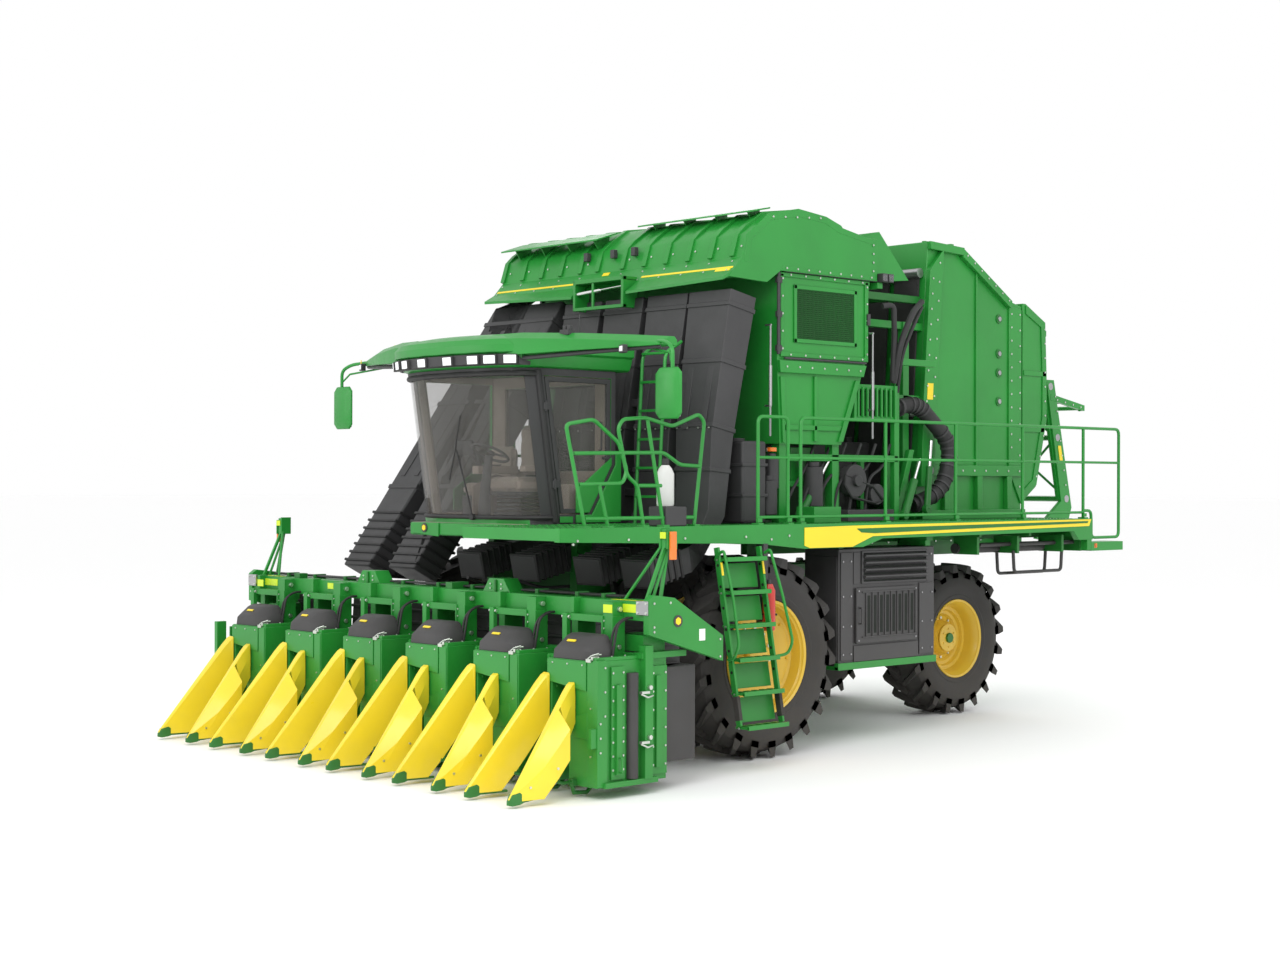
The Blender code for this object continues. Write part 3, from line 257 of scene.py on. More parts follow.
def mix_looks(paints):
    """Every finish on the machine, by name."""
    green = tuple(paints.green)
    coat("green_paint", green, 0.40, coat_weight=0.06, bump=0.015, tone=0.07)
    # Painted shade: the body green darkened to 0.62, a shaded copy given to frames, shoes and fittings that
    # sit in shade.
    coat("green_painted_shade", tuple(c * 0.62 for c in green), 0.42, bump=0.02, tone=0.10)
    coat("yellow_moulding", tuple(paints.yellow), 0.33, coat_weight=0.2, grain=90.0, bump=0.02, tone=0.06,
         dust=0.14)
    coat("stripe_yellow", tuple(paints.yellow), 0.4, bump=0.01, tone=0.03, dust=0.04)
    coat("reflector_strip", (0.62, 0.80, 0.03), 0.22, grain=220.0, bump=0.10, dust=0.02)
    coat("rim_paint", tuple(paints.rim), 0.36, coat_weight=0.2, bump=0.02, tone=0.08, dust=0.22)
    coat("charcoal_moulding", tuple(paints.charcoal), 0.55, grain=140.0, bump=0.10, tone=0.16, dust=0.10)
    coat("charcoal_paint", tuple(c * 1.15 for c in paints.charcoal), 0.42, bump=0.02, tone=0.12, dust=0.12)
    coat("black_rubber", tuple(paints.tyre), 0.78, grain=180.0, bump=0.14, tone=0.22, dust=0.20)
    coat("hose_rubber", tuple(c * 0.8 for c in paints.tyre), 0.6, grain=260.0, bump=0.10, tone=0.2,
         dust=0.05)
    coat("zinc_bolts", (0.62, 0.66, 0.60), 0.32, metallic=0.9, bump=0.03, dust=0.05)
    coat("bare_steel", (0.42, 0.42, 0.43), 0.34, metallic=0.95, grain=200.0, bump=0.05, dust=0.08)
    coat("chromed_rod", (0.80, 0.80, 0.80), 0.10, metallic=1.0, bump=0.0, dust=0.0)
    coat("dark_iron", (0.05, 0.05, 0.05), 0.55, metallic=0.4, grain=80.0, bump=0.14, dust=0.10)
    coat("white_moulding", (0.78, 0.78, 0.76), 0.4, bump=0.02, tone=0.03, dust=0.03)
    coat("blank_decal", (0.86, 0.86, 0.84), 0.35, bump=0.01, tone=0.02, dust=0.0)
    coat("amber_lens", (0.85, 0.20, 0.02), 0.18, grain=90.0, bump=0.12, dust=0.02, coat_weight=0.5)
    coat("red_paint", (0.55, 0.03, 0.02), 0.3, coat_weight=0.3, dust=0.06)
    glow_lens("lamp_lens", (0.86, 0.88, 0.90), 0.25)
    coat("mirror_face", (0.75, 0.77, 0.78), 0.04, metallic=1.0, bump=0.0, dust=0.0)
    coat("cab_lining", tuple(c * 0.9 for c in paints.trim), 0.7, grain=160.0, bump=0.08, dust=0.0)
    woven("seat_cloth", tuple(paints.trim))
    clear_glass("tinted_glass", (0.15, 0.145, 0.135), 0.0, 0.22)
    coat("screen_wire", tuple(c * 0.45 for c in green), 0.5, metallic=0.2, bump=0.03, dust=0.04)
    coat("deep_shadow", (0.006, 0.010, 0.006), 0.8, bump=0.02, dust=0.0)


# ---------------------------------------------------------------- mesh tools
def block(bm, low, high):
    """A box between two opposite corners given from the front axle."""
    low, high = here(*low), here(*high)
    size = high - low
    place = Matrix.Translation((low + high) / 2) @ Matrix.Diagonal((*size, 1))
    return bmesh.ops.create_cube(bm, size=1.0, matrix=place)


def ring_faces(bm, rings):
    """Skin a row of like rings and close both ends."""
    loops = [[bm.verts.new(point) for point in ring] for ring in rings]
    count = len(loops[0])
    for first, second in zip(loops, loops[1:]):
        for i in range(count):
            j = (i + 1) % count
            bm.faces.new((first[i], first[j], second[j], second[i]))
    bm.faces.new(list(reversed(loops[0])))
    bm.faces.new(loops[-1])


def tube(bm, points, radius, sides=10, spread=None):
    """A round bar along points given from the front axle; spread gives another radius at each point."""
    path = [here(*p) for p in points]
    rings = []
    turn = None
    for i, spot in enumerate(path):
        before = path[max(0, i - 1)]
        after = path[min(len(path) - 1, i + 1)]
        along = (after - before).normalized()
        if turn is None:
            helper = Vector((0, 0, 1)) if abs(along.z) < 0.9 else Vector((0, 1, 0))
            turn = along.cross(helper).normalized()
        else:
            turn = (turn - along * turn.dot(along)).normalized()
        other = along.cross(turn)
        stretch = 1.0
        if 0 < i < len(path) - 1:
            bend = (spot - before).normalized().dot((after - spot).normalized())
            stretch = 1 / max(0.6, math.sqrt((1 + bend) / 2))
        reach = (spread[i] if spread else radius) * stretch
        rings.append([spot + (turn * math.cos(a) + other * math.sin(a)) * reach
                      for a in (2 * math.pi * k / sides for k in range(sides))])
    ring_faces(bm, rings)


def rounded(points, radius, steps=4):
    """The same path with its corners rounded."""
    path = [Vector(p) for p in points]
    made = [path[0]]
    for before, corner, after in zip(path, path[1:], path[2:]):
        into = before - corner
        out = after - corner
        reach = min(radius, into.length * 0.45, out.length * 0.45)
        start = corner + into.normalized() * reach
        end = corner + out.normalized() * reach
        for k in range(steps + 1):
            t = k / steps
            made.append(start * (1 - t) ** 2 + corner * 2 * t * (1 - t) + end * t ** 2)
    made.append(path[-1])
    return [tuple(p) for p in made]


def side_sheet(bm, outline, x_low, x_high):
    """A flat outline of (y, z) points with its thickness along X."""
    rings = [[here(x, y, z) for y, z in outline] for x in (x_low, x_high)]
    ring_faces(bm, rings)


def front_sheet(bm, outline, y_low, y_high):
    """A flat outline of (x, z) points with its thickness along Y."""
    rings = [[here(x, y, z) for x, z in outline] for y in (y_low, y_high)]
    ring_faces(bm, rings)


def disc(bm, centre, facing, radius, depth, sides=24):
    """A round plate or drum whose axis is the facing direction; the place is from the front axle."""
    facing = Vector(facing).normalized()
    turn = facing.to_track_quat("Z", "Y").to_matrix().to_4x4()
    place = Matrix.Translation(here(*centre)) @ turn
    bmesh.ops.create_cone(bm, cap_ends=True, segments=sides, radius1=radius, radius2=radius,
                          depth=depth, matrix=place)


def lathe(bm, profile, axle, sides=64, side=1):
    """A closed (x, radius) profile turned about a line along X through the axle place."""
    centre = here(*axle)
    rings = []
    for k in range(sides):
        angle = 2 * math.pi * k / sides
        rings.append([bm.verts.new(centre + Vector((side * x, r * math.cos(angle), r * math.sin(angle))))
                      for x, r in profile])
    count = len(profile)
    for k in range(sides):
        first, second = rings[k], rings[(k + 1) % sides]
        for i in range(count):
            j = (i + 1) % count
            bm.faces.new((first[i], first[j], second[j], second[i]))


def piece(name, bm, look, bevel=0.0, body="chassis", smooth=35, replaces=(), segments=2):
    """Close a mesh into a named piece that rides on a body and wears the given look."""
    bmesh.ops.recalc_face_normals(bm, faces=bm.faces)
    mesh = bpy.data.meshes.new(name)
    bm.to_mesh(mesh)
    bm.free()
    return mesh_piece(name, mesh, look, body, bevel, smooth, replaces, segments)


def mesh_piece(name, mesh, look, body, bevel=0.0, smooth=35, replaces=(), segments=2):
    made = bpy.data.objects.new(name, mesh)
    bpy.context.scene.collection.objects.link(made)
    mesh.materials.clear()
    mesh.materials.append(LOOKS[look])
    mesh.shade_smooth()
    mesh.set_sharp_from_angle(angle=math.radians(smooth))
    if bevel:
        edge = made.modifiers.new("edges", "BEVEL")
        edge.width = bevel
        edge.segments = segments
        edge.limit_method = "ANGLE"
        edge.angle_limit = math.radians(40)
        edge.use_clamp_overlap = True
        edge.harden_normals = False
    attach(made, body)
    if replaces:
        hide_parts(*replaces)
    return made


def dressed(node, look, bevel=0.004, name=None, smooth=30, segments=2):
    """A CAD node's own shape with its faces merged and its edges rounded, in place of the plain node."""
    source = frame["nodes"][node]
    body = body_of(source)[0]
    bm = bmesh.new()
    bm.from_mesh(source.data)
    bmesh.ops.remove_doubles(bm, verts=bm.verts, dist=0.00005)
    bmesh.ops.dissolve_limit(bm, angle_limit=math.radians(0.6), verts=bm.verts, edges=bm.edges)
    bmesh.ops.recalc_face_normals(bm, faces=bm.faces)
    mesh = bpy.data.meshes.new(name or node + "_finished")
    bm.to_mesh(mesh)
    bm.free()
    return mesh_piece(name or node + "_finished", mesh, look, body, bevel, smooth, (node,), segments)


# ---------------------------------------------------------------- repeating things, by Geometry Nodes
def tree_with(name, inputs):
    """A Geometry Nodes tree with named inputs and one geometry out."""
    tree = bpy.data.node_groups.new(name, "GeometryNodeTree")
    tree.interface.new_socket("Geometry", in_out="INPUT", socket_type="NodeSocketGeometry")
    for label, kind, default in inputs:
        socket = tree.interface.new_socket(label, in_out="INPUT", socket_type=kind)
        if default is not None:
            socket.default_value = default
    tree.interface.new_socket("Geometry", in_out="OUTPUT", socket_type="NodeSocketGeometry")
    return tree, tree.nodes.new("NodeGroupInput"), tree.nodes.new("NodeGroupOutput")


def finish_tree(tree, given, out, instances):
    """Ends a tree with its instances made real and given their material."""
    real = tree.nodes.new("GeometryNodeRealizeInstances")
    dye = tree.nodes.new("GeometryNodeSetMaterial")
    tree.links.new(instances, real.inputs[0])
    tree.links.new(real.outputs[0], dye.inputs["Geometry"])
    tree.links.new(given.outputs["Material"], dye.inputs["Material"])
    tree.links.new(dye.outputs[0], out.inputs[0])


def heads_tree():
    """Bolt heads, rivets or studs: one short prism on each point, turned to face along 'facing'."""
    tree, given, out = tree_with("bolt_heads",
                                 [("Radius", "NodeSocketFloat", 0.01), ("Height", "NodeSocketFloat", 0.01),
                                  ("Sides", "NodeSocketInt", 6), ("Material", "NodeSocketMaterial", None)])
    prism = tree.nodes.new("GeometryNodeMeshCylinder")
    tree.links.new(given.outputs["Radius"], prism.inputs["Radius"])
    tree.links.new(given.outputs["Height"], prism.inputs["Depth"])
    tree.links.new(given.outputs["Sides"], prism.inputs["Vertices"])
    facing = node_of(tree, "GeometryNodeInputNamedAttribute", data_type="FLOAT_VECTOR")
    facing.inputs["Name"].default_value = "facing"
    turn = node_of(tree, "FunctionNodeAlignRotationToVector", axis="Z")
    tree.links.new(facing.outputs["Attribute"], turn.inputs["Vector"])
    spread = tree.nodes.new("GeometryNodeInstanceOnPoints")
    tree.links.new(given.outputs["Geometry"], spread.inputs["Points"])
    tree.links.new(prism.outputs["Mesh"], spread.inputs["Instance"])
    tree.links.new(turn.outputs["Rotation"], spread.inputs["Rotation"])
    finish_tree(tree, given, out, spread.outputs["Instances"])
    return tree


def wheel_tree():
    """Copies of one shape turned evenly about the X axis through the origin, with a starting angle."""
    tree, given, out = tree_with("round_the_wheel",
                                 [("Count", "NodeSocketInt", 20), ("Start", "NodeSocketFloat", 0.0),
                                  ("Material", "NodeSocketMaterial", None)])
    line = tree.nodes.new("GeometryNodeMeshLine")
    line.inputs["Offset"].default_value = (0, 0, 0)
    tree.links.new(given.outputs["Count"], line.inputs["Count"])
    index = tree.nodes.new("GeometryNodeInputIndex")
    share = node_of(tree, "ShaderNodeMath", operation="DIVIDE")
    tree.links.new(index.outputs[0], share.inputs[0])
    tree.links.new(given.outputs["Count"], share.inputs[1])
    angle = node_of(tree, "ShaderNodeMath", operation="MULTIPLY_ADD")
    tree.links.new(share.outputs[0], angle.inputs[0])
    angle.inputs[1].default_value = 2 * math.pi
    tree.links.new(given.outputs["Start"], angle.inputs[2])
    turn = tree.nodes.new("ShaderNodeCombineXYZ")
    tree.links.new(angle.outputs[0], turn.inputs["X"])
    spread = tree.nodes.new("GeometryNodeInstanceOnPoints")
    tree.links.new(line.outputs["Mesh"], spread.inputs["Points"])
    tree.links.new(given.outputs["Geometry"], spread.inputs["Instance"])
    tree.links.new(turn.outputs[0], spread.inputs["Rotation"])
    finish_tree(tree, given, out, spread.outputs["Instances"])
    return tree


def row_tree():
    """Copies of one shape stepped along a line."""
    tree, given, out = tree_with("stepped_row",
                                 [("Count", "NodeSocketInt", 4), ("Step", "NodeSocketVector", (0, 0, 0.1)),
                                  ("Material", "NodeSocketMaterial", None)])
    line = tree.nodes.new("GeometryNodeMeshLine")
    tree.links.new(given.outputs["Count"], line.inputs["Count"])
    tree.links.new(given.outputs["Step"], line.inputs["Offset"])
    spread = tree.nodes.new("GeometryNodeInstanceOnPoints")
    tree.links.new(line.outputs["Mesh"], spread.inputs["Points"])
    tree.links.new(given.outputs["Geometry"], spread.inputs["Instance"])
    finish_tree(tree, given, out, spread.outputs["Instances"])
    return tree


TREES = {}


def grown(name, mesh, tree_name, values, look):
    """Runs a tree on a mesh and returns the plain mesh that comes out."""
    if tree_name not in TREES:
        TREES[tree_name] = {"heads": heads_tree, "wheel": wheel_tree, "row": row_tree}[tree_name]()
    tree = TREES[tree_name]
    seed = bpy.data.objects.new(name + "_seed", mesh)
    bpy.context.scene.collection.objects.link(seed)
    growth = seed.modifiers.new("growth", "NODES")
    growth.node_group = tree
    for socket in tree.interface.items_tree:
        if getattr(socket, "in_out", "") != "INPUT":
            continue
        if socket.name == "Material":
            growth[socket.identifier] = LOOKS[look]
        elif socket.name in values:
            growth[socket.identifier] = values[socket.name]
    bpy.context.view_layer.update()
    result = bpy.data.meshes.new_from_object(seed.evaluated_get(bpy.context.evaluated_depsgraph_get()))
    bpy.data.objects.remove(seed, do_unlink=True)
    return result


def heads(name, spots, body, radius=0.010, height=0.010, sides=6, look="zinc_bolts"):
    """Bolt heads at (place from the front axle, facing) spots."""
    mesh = bpy.data.meshes.new(name)
    mesh.from_pydata([here(*place) for place, _ in spots], [], [])
    facing = mesh.attributes.new("facing", "FLOAT_VECTOR", "POINT")
    for i, (_, direction) in enumerate(spots):
        facing.data[i].vector = Vector(direction).normalized()
    grown_mesh = grown(name, mesh, "heads", {"Radius": radius, "Height": height, "Sides": sides}, look)
    return mesh_piece(name, grown_mesh, look, body, 0, 30)


def line_spots(start, end, count, facing):
    """Evenly spaced spots from start to end."""
    start, end = Vector(start), Vector(end)
    return [(tuple(start.lerp(end, i / max(1, count - 1))), facing) for i in range(count)]


def stepped(name, bm, count, step, look, body):
    """One shape repeated along a line."""
    bmesh.ops.recalc_face_normals(bm, faces=bm.faces)
    mesh = bpy.data.meshes.new(name)
    bm.to_mesh(mesh)
    bm.free()
    result = grown(name, mesh, "row", {"Count": count, "Step": step}, look)
    return mesh_piece(name, result, look, body)


def slab(bm, centre, along, across, out):
    """A small block given by its middle and three half-length vectors."""
    centre = here(*centre)
    along, across, out = Vector(along), Vector(across), Vector(out)
    rings = []
    for side in (-1, 1):
        middle = centre + out * side
        rings.append([middle - along - across, middle + along - across, middle + along + across,
                      middle - along + across])
    ring_faces(bm, rings)


def two_tone(made, look, test):
    """Faces whose middle passes the test take a further finish."""
    made.data.materials.append(LOOKS[look])
    for face in made.data.polygons:
        if test(face.center - Vector((0, AXLE_Y, 0)), face.normal):
            face.material_index = len(made.data.materials) - 1


# ---------------------------------------------------------------- wheels
def tread_mesh(centre_x, radius, width, lugs, lug_height, axle):
    """Carcass and chevron lugs of one tyre, as one mesh."""
    half = width / 2
    base = radius - lug_height
    rim = base - 0.385
    outer = [(half - 0.055, rim), (half - 0.028, rim + 0.035), (half - 0.016, rim + 0.07),
             (half - 0.020, rim + 0.082), (half - 0.002, rim + 0.16), (half, rim + 0.20),
             (half - 0.004, rim + 0.255), (half - 0.020, rim + 0.30), (half - 0.050, rim + 0.345),
             (half - 0.12, rim + 0.375), (0.0, rim + 0.385)]
    profile = outer + [(-x, r) for x, r in reversed(outer[:-1])]
    carcass = bmesh.new()
    lathe(carcass, [(centre_x + x, r) for x, r in profile], axle, 72)
    lug = bmesh.new()
    rings = []
    reach = half - 0.004
    for step in range(8):
        share = step / 7
        x = 0.012 + (reach - 0.012) * min(1.0, share * 1.18)
        angle = 0.235 * (x / reach) ** 1.15
        crown = radius - 0.012 * (x / reach) ** 2
        if share > 0.86:
            crown -= (share - 0.86) * 0.55
        foot = base - 0.012 - 0.02 * (x / reach) ** 2 - max(0.0, share - 0.80) * 0.42
        thick = (0.040 + 0.014 * share) / base
        slant = 0.55
        rings.append([Vector((x, foot * math.sin(angle - thick), foot * math.cos(angle - thick))),
                      Vector((x, crown * math.sin(angle - thick * slant),
                              crown * math.cos(angle - thick * slant))),
                      Vector((x, crown * math.sin(angle + thick * slant),
                              crown * math.cos(angle + thick * slant))),
                      Vector((x, foot * math.sin(angle + thick), foot * math.cos(angle + thick)))])
    ring_faces(lug, rings)
    bmesh.ops.recalc_face_normals(lug, faces=lug.faces)
    whole = bmesh.new()
    for side in (1, -1):
        one = lug.copy()
        if side < 0:
            bmesh.ops.scale(one, vec=(-1, 1, 1), verts=one.verts)
            bmesh.ops.reverse_faces(one, faces=one.faces)
        seed = bpy.data.meshes.new("lug")
        one.to_mesh(seed)
        one.free()
        start = math.pi / lugs if side < 0 else 0.0
        grown_mesh = grown("lugs", seed, "wheel", {"Count": lugs, "Start": start}, "black_rubber")
        grown_mesh.transform(Matrix.Translation(here(*axle) + Vector((centre_x, 0, 0))))
        whole.from_mesh(grown_mesh)
    lug.free()
    bmesh.ops.recalc_face_normals(carcass, faces=carcass.faces)
    shell = bpy.data.meshes.new("carcass")
    carcass.to_mesh(shell)
    carcass.free()
    whole.from_mesh(shell)
    return whole


def tyre(node, centre_x, radius, lugs, lug_height, axle_y):
    body = body_of(frame["nodes"][node])[0]
    whole = tread_mesh(centre_x, radius, 0.52, lugs, lug_height, (0, axle_y, radius))
    mesh = bpy.data.meshes.new(node + "_tread")
    whole.to_mesh(mesh)
    whole.free()
    mesh_piece(node + "_tread", mesh, "black_rubber", body, 0, 28, (node,))


def front_dish(centre):
    """Closed profile of one dished front rim; the lathe mirrors it for the right side."""
    face = [(0.06, 0.08), (0.06, 0.16), (0.035, 0.19), (0.0, 0.235), (-0.005, 0.30), (0.02, 0.37),
            (0.055, 0.42), (0.065, 0.47), (0.085, 0.492), (0.14, 0.500), (0.19, 0.506), (0.205, 0.520),
            (0.222, 0.524), (0.236, 0.545)]
    back = [(0.226, 0.550), (0.208, 0.532), (0.12, 0.522), (-0.12, 0.520), (-0.208, 0.532), (-0.226, 0.550),
            (-0.236, 0.545), (-0.222, 0.524), (-0.19, 0.506), (-0.06, 0.492), (0.02, 0.480), (0.03, 0.43),
            (-0.01, 0.37), (-0.035, 0.30), (-0.03, 0.23), (0.0, 0.08)]
    return [(centre + x, r) for x, r in face + back]


def rear_dish(centre):
    """Closed profile of one dished rear rim."""
    face = [(0.085, 0.06), (0.085, 0.165), (0.060, 0.175), (0.045, 0.19), (-0.01, 0.205), (-0.02, 0.25),
            (0.01, 0.275), (0.015, 0.31), (0.05, 0.325), (0.055, 0.362), (0.12, 0.380), (0.185, 0.398),
            (0.205, 0.418), (0.222, 0.424), (0.236, 0.445)]
    back = [(0.226, 0.450), (0.208, 0.432), (0.12, 0.422), (-0.12, 0.420), (-0.208, 0.432), (-0.226, 0.450),
            (-0.236, 0.445), (-0.222, 0.424), (-0.19, 0.405), (-0.05, 0.370), (0.02, 0.355), (0.02, 0.33),
            (-0.02, 0.31), (-0.05, 0.25), (-0.04, 0.19), (0.02, 0.06)]
    return [(centre + x, r) for x, r in face + back]


def ring_spots(centre, radius, count, side, start=0.0):
    spots = []
    for k in range(count):
        angle = start + 2 * math.pi * k / count
        spots.append(((centre[0], centre[1] + radius * math.sin(angle),
                       centre[2] + radius * math.cos(angle)), (side, 0, 0)))
    return spots


def make_wheels(sizes):
    for side_name, side in (("left", 1), ("right", -1)):
        axle = (0, 0, 0.97)
        for place, centre in (("inner", ROW_SPACING), ("outer", ROW_SPACING * 2)):
            tyre(f"front_{side_name}_{place}_tyre", side * centre, 0.97, sizes.front_lugs, sizes.lug_height,
                 0)
        body = f"front_{side_name}_wheels"
        bm = bmesh.new()
        for centre in (ROW_SPACING, ROW_SPACING * 2):
            lathe(bm, front_dish(centre), axle, 72, side)
        lathe(bm, [(1.10, 0.075), (1.10, 0.20), (1.30, 0.215), (1.50, 0.215), (1.52, 0.24), (1.56, 0.24),
                   (1.58, 0.215), (1.98, 0.20), (1.98, 0.075)], axle, 48, side)
        lathe(bm, [(2.05, 0.075), (2.05, 0.15), (2.13, 0.145), (2.15, 0.125), (2.17, 0.05), (2.165, 0.0005),
                   (2.05, 0.0005)], axle, 48, side)
        piece(f"front_{side_name}_dished_rims", bm, "rim_paint", 0, body, smooth=30,
              replaces=(f"front_{side_name}_rims",))
        outer = ROW_SPACING * 2
        spots = ring_spots((side * (outer + 0.068), 0, 0.97), 0.118, 10, side)
        heads(f"front_{side_name}_hub_nuts", spots, body, 0.016, 0.03)
        spots = ring_spots((side * (outer + 0.002), 0, 0.97), 0.262, 12, side, 0.2)
        heads(f"front_{side_name}_disc_nuts", spots, body, 0.019, 0.03)
        spots = ring_spots((side * (outer + 0.07), 0, 0.97), 0.445, 8, side, 0.1)
        heads(f"front_{side_name}_clamp_bolts", spots, body, 0.014, 0.024, look="rim_paint")
        bm = bmesh.new()
        tube(bm, [(side * (outer + 0.06), 0.20, 1.36), (side * (outer + 0.16), 0.205, 1.365)], 0.011, 8)
        piece(f"front_{side_name}_valve", bm, "hose_rubber", 0.002, body)

        body = f"rear_{side_name}_wheel"
        tyre(f"rear_{side_name}_tyre", side * ROW_SPACING, 0.86, sizes.rear_lugs, sizes.lug_height, 4.25)
        axle = (0, 4.25, 0.86)
        bm = bmesh.new()
        lathe(bm, rear_dish(ROW_SPACING), axle, 72, side)
        piece(f"rear_{side_name}_dished_rim", bm, "rim_paint", 0, body, smooth=30,
              replaces=(f"rear_{side_name}_rim",))
        bm = bmesh.new()
        lathe(bm, [(1.105, 0.0005), (1.105, 0.150), (1.112, 0.160), (1.122, 0.156), (1.126, 0.14),
                   (1.130, 0.05), (1.130, 0.0005)], axle, 48, side)
        piece(f"rear_{side_name}_hub_cover", bm, "rim_paint", 0, body, smooth=30)
        spots = ring_spots((side * 1.130, 4.25, 0.86), 0.105, 6, side)
        heads(f"rear_{side_name}_cover_bolts", spots, body, 0.010, 0.014, look="rim_paint")
        spots = ring_spots((side * 1.003, 4.25, 0.86), 0.228, 10, side)
        heads(f"rear_{side_name}_disc_nuts", spots, body, 0.016, 0.03)


# ---------------------------------------------------------------- header
def dome(bm, row):
    """Soft-cornered cover over the drums' drive, at the front of a unit."""
    left, right = row + 0.362, row - 0.142
    rings = []
    for z, front, back, inset, chamfer in ((1.145, -2.846, -2.56, 0.0, 0.07),
                                           (1.225, -2.842, -2.56, 0.004, 0.08),
                                           (1.262, -2.815, -2.56, 0.022, 0.09),
                                           (1.335, -2.735, -2.57, 0.055, 0.06),
                                           (1.358, -2.695, -2.58, 0.080, 0.05)):
        lo, hi = right + inset, left - inset
        rings.append([here(lo + chamfer * 0.6, front, z), here(hi - chamfer * 1.5, front, z),
                      here(hi - chamfer * 0.5, front + chamfer * 0.5, z), here(hi, front + chamfer * 1.5, z),
                      here(hi, back, z), here(lo, back, z), here(lo, front + chamfer * 0.6, z)])
    ring_faces(bm, rings)


SPREAD = ((0.0, 0.0), (0.05, 0.07), (0.22, 0.32), (0.42, 0.60), (0.60, 0.84), (0.74, 1.0), (0.775, 0.30),
          (0.88, 0.16), (0.96, 0.09), (1.0, 0.06))


def divider(bm, row, side, reach, high, shoulder):
    """One pointed divider: a folded blade that narrows to an arm where it meets the picking unit."""
    tip_x = row + side * 0.28
    rings = []
    for share, spread in SPREAD:
        y = -3.642 + (3.642 - 2.866) * share
        x_in = tip_x + (row + side * 0.118 - tip_x) * share - side * 0.010 * (1 - share)
        x_top = x_in + side * (0.014 + 0.062 * share)
        x_out = x_top + side * (0.010 + reach * spread)
        low = 0.055 + 0.57 * max(0.0, (share - 0.42) / 0.58) ** 1.1
        top = 0.088 + (high - 0.092) * share - 0.5 * max(0.0, share - 0.94)
        edge = low + (top - low) * shoulder
        rings.append([here(x_in, y, low), here(x_in, y, top - 0.018),
                      here(x_in + side * 0.012, y, top - 0.003), here(x_top, y, top),
                      here(x_top + side * 0.012, y, top - 0.008), here(x_out, y, edge), here(x_out, y, low)])
    ring_faces(bm, rings)


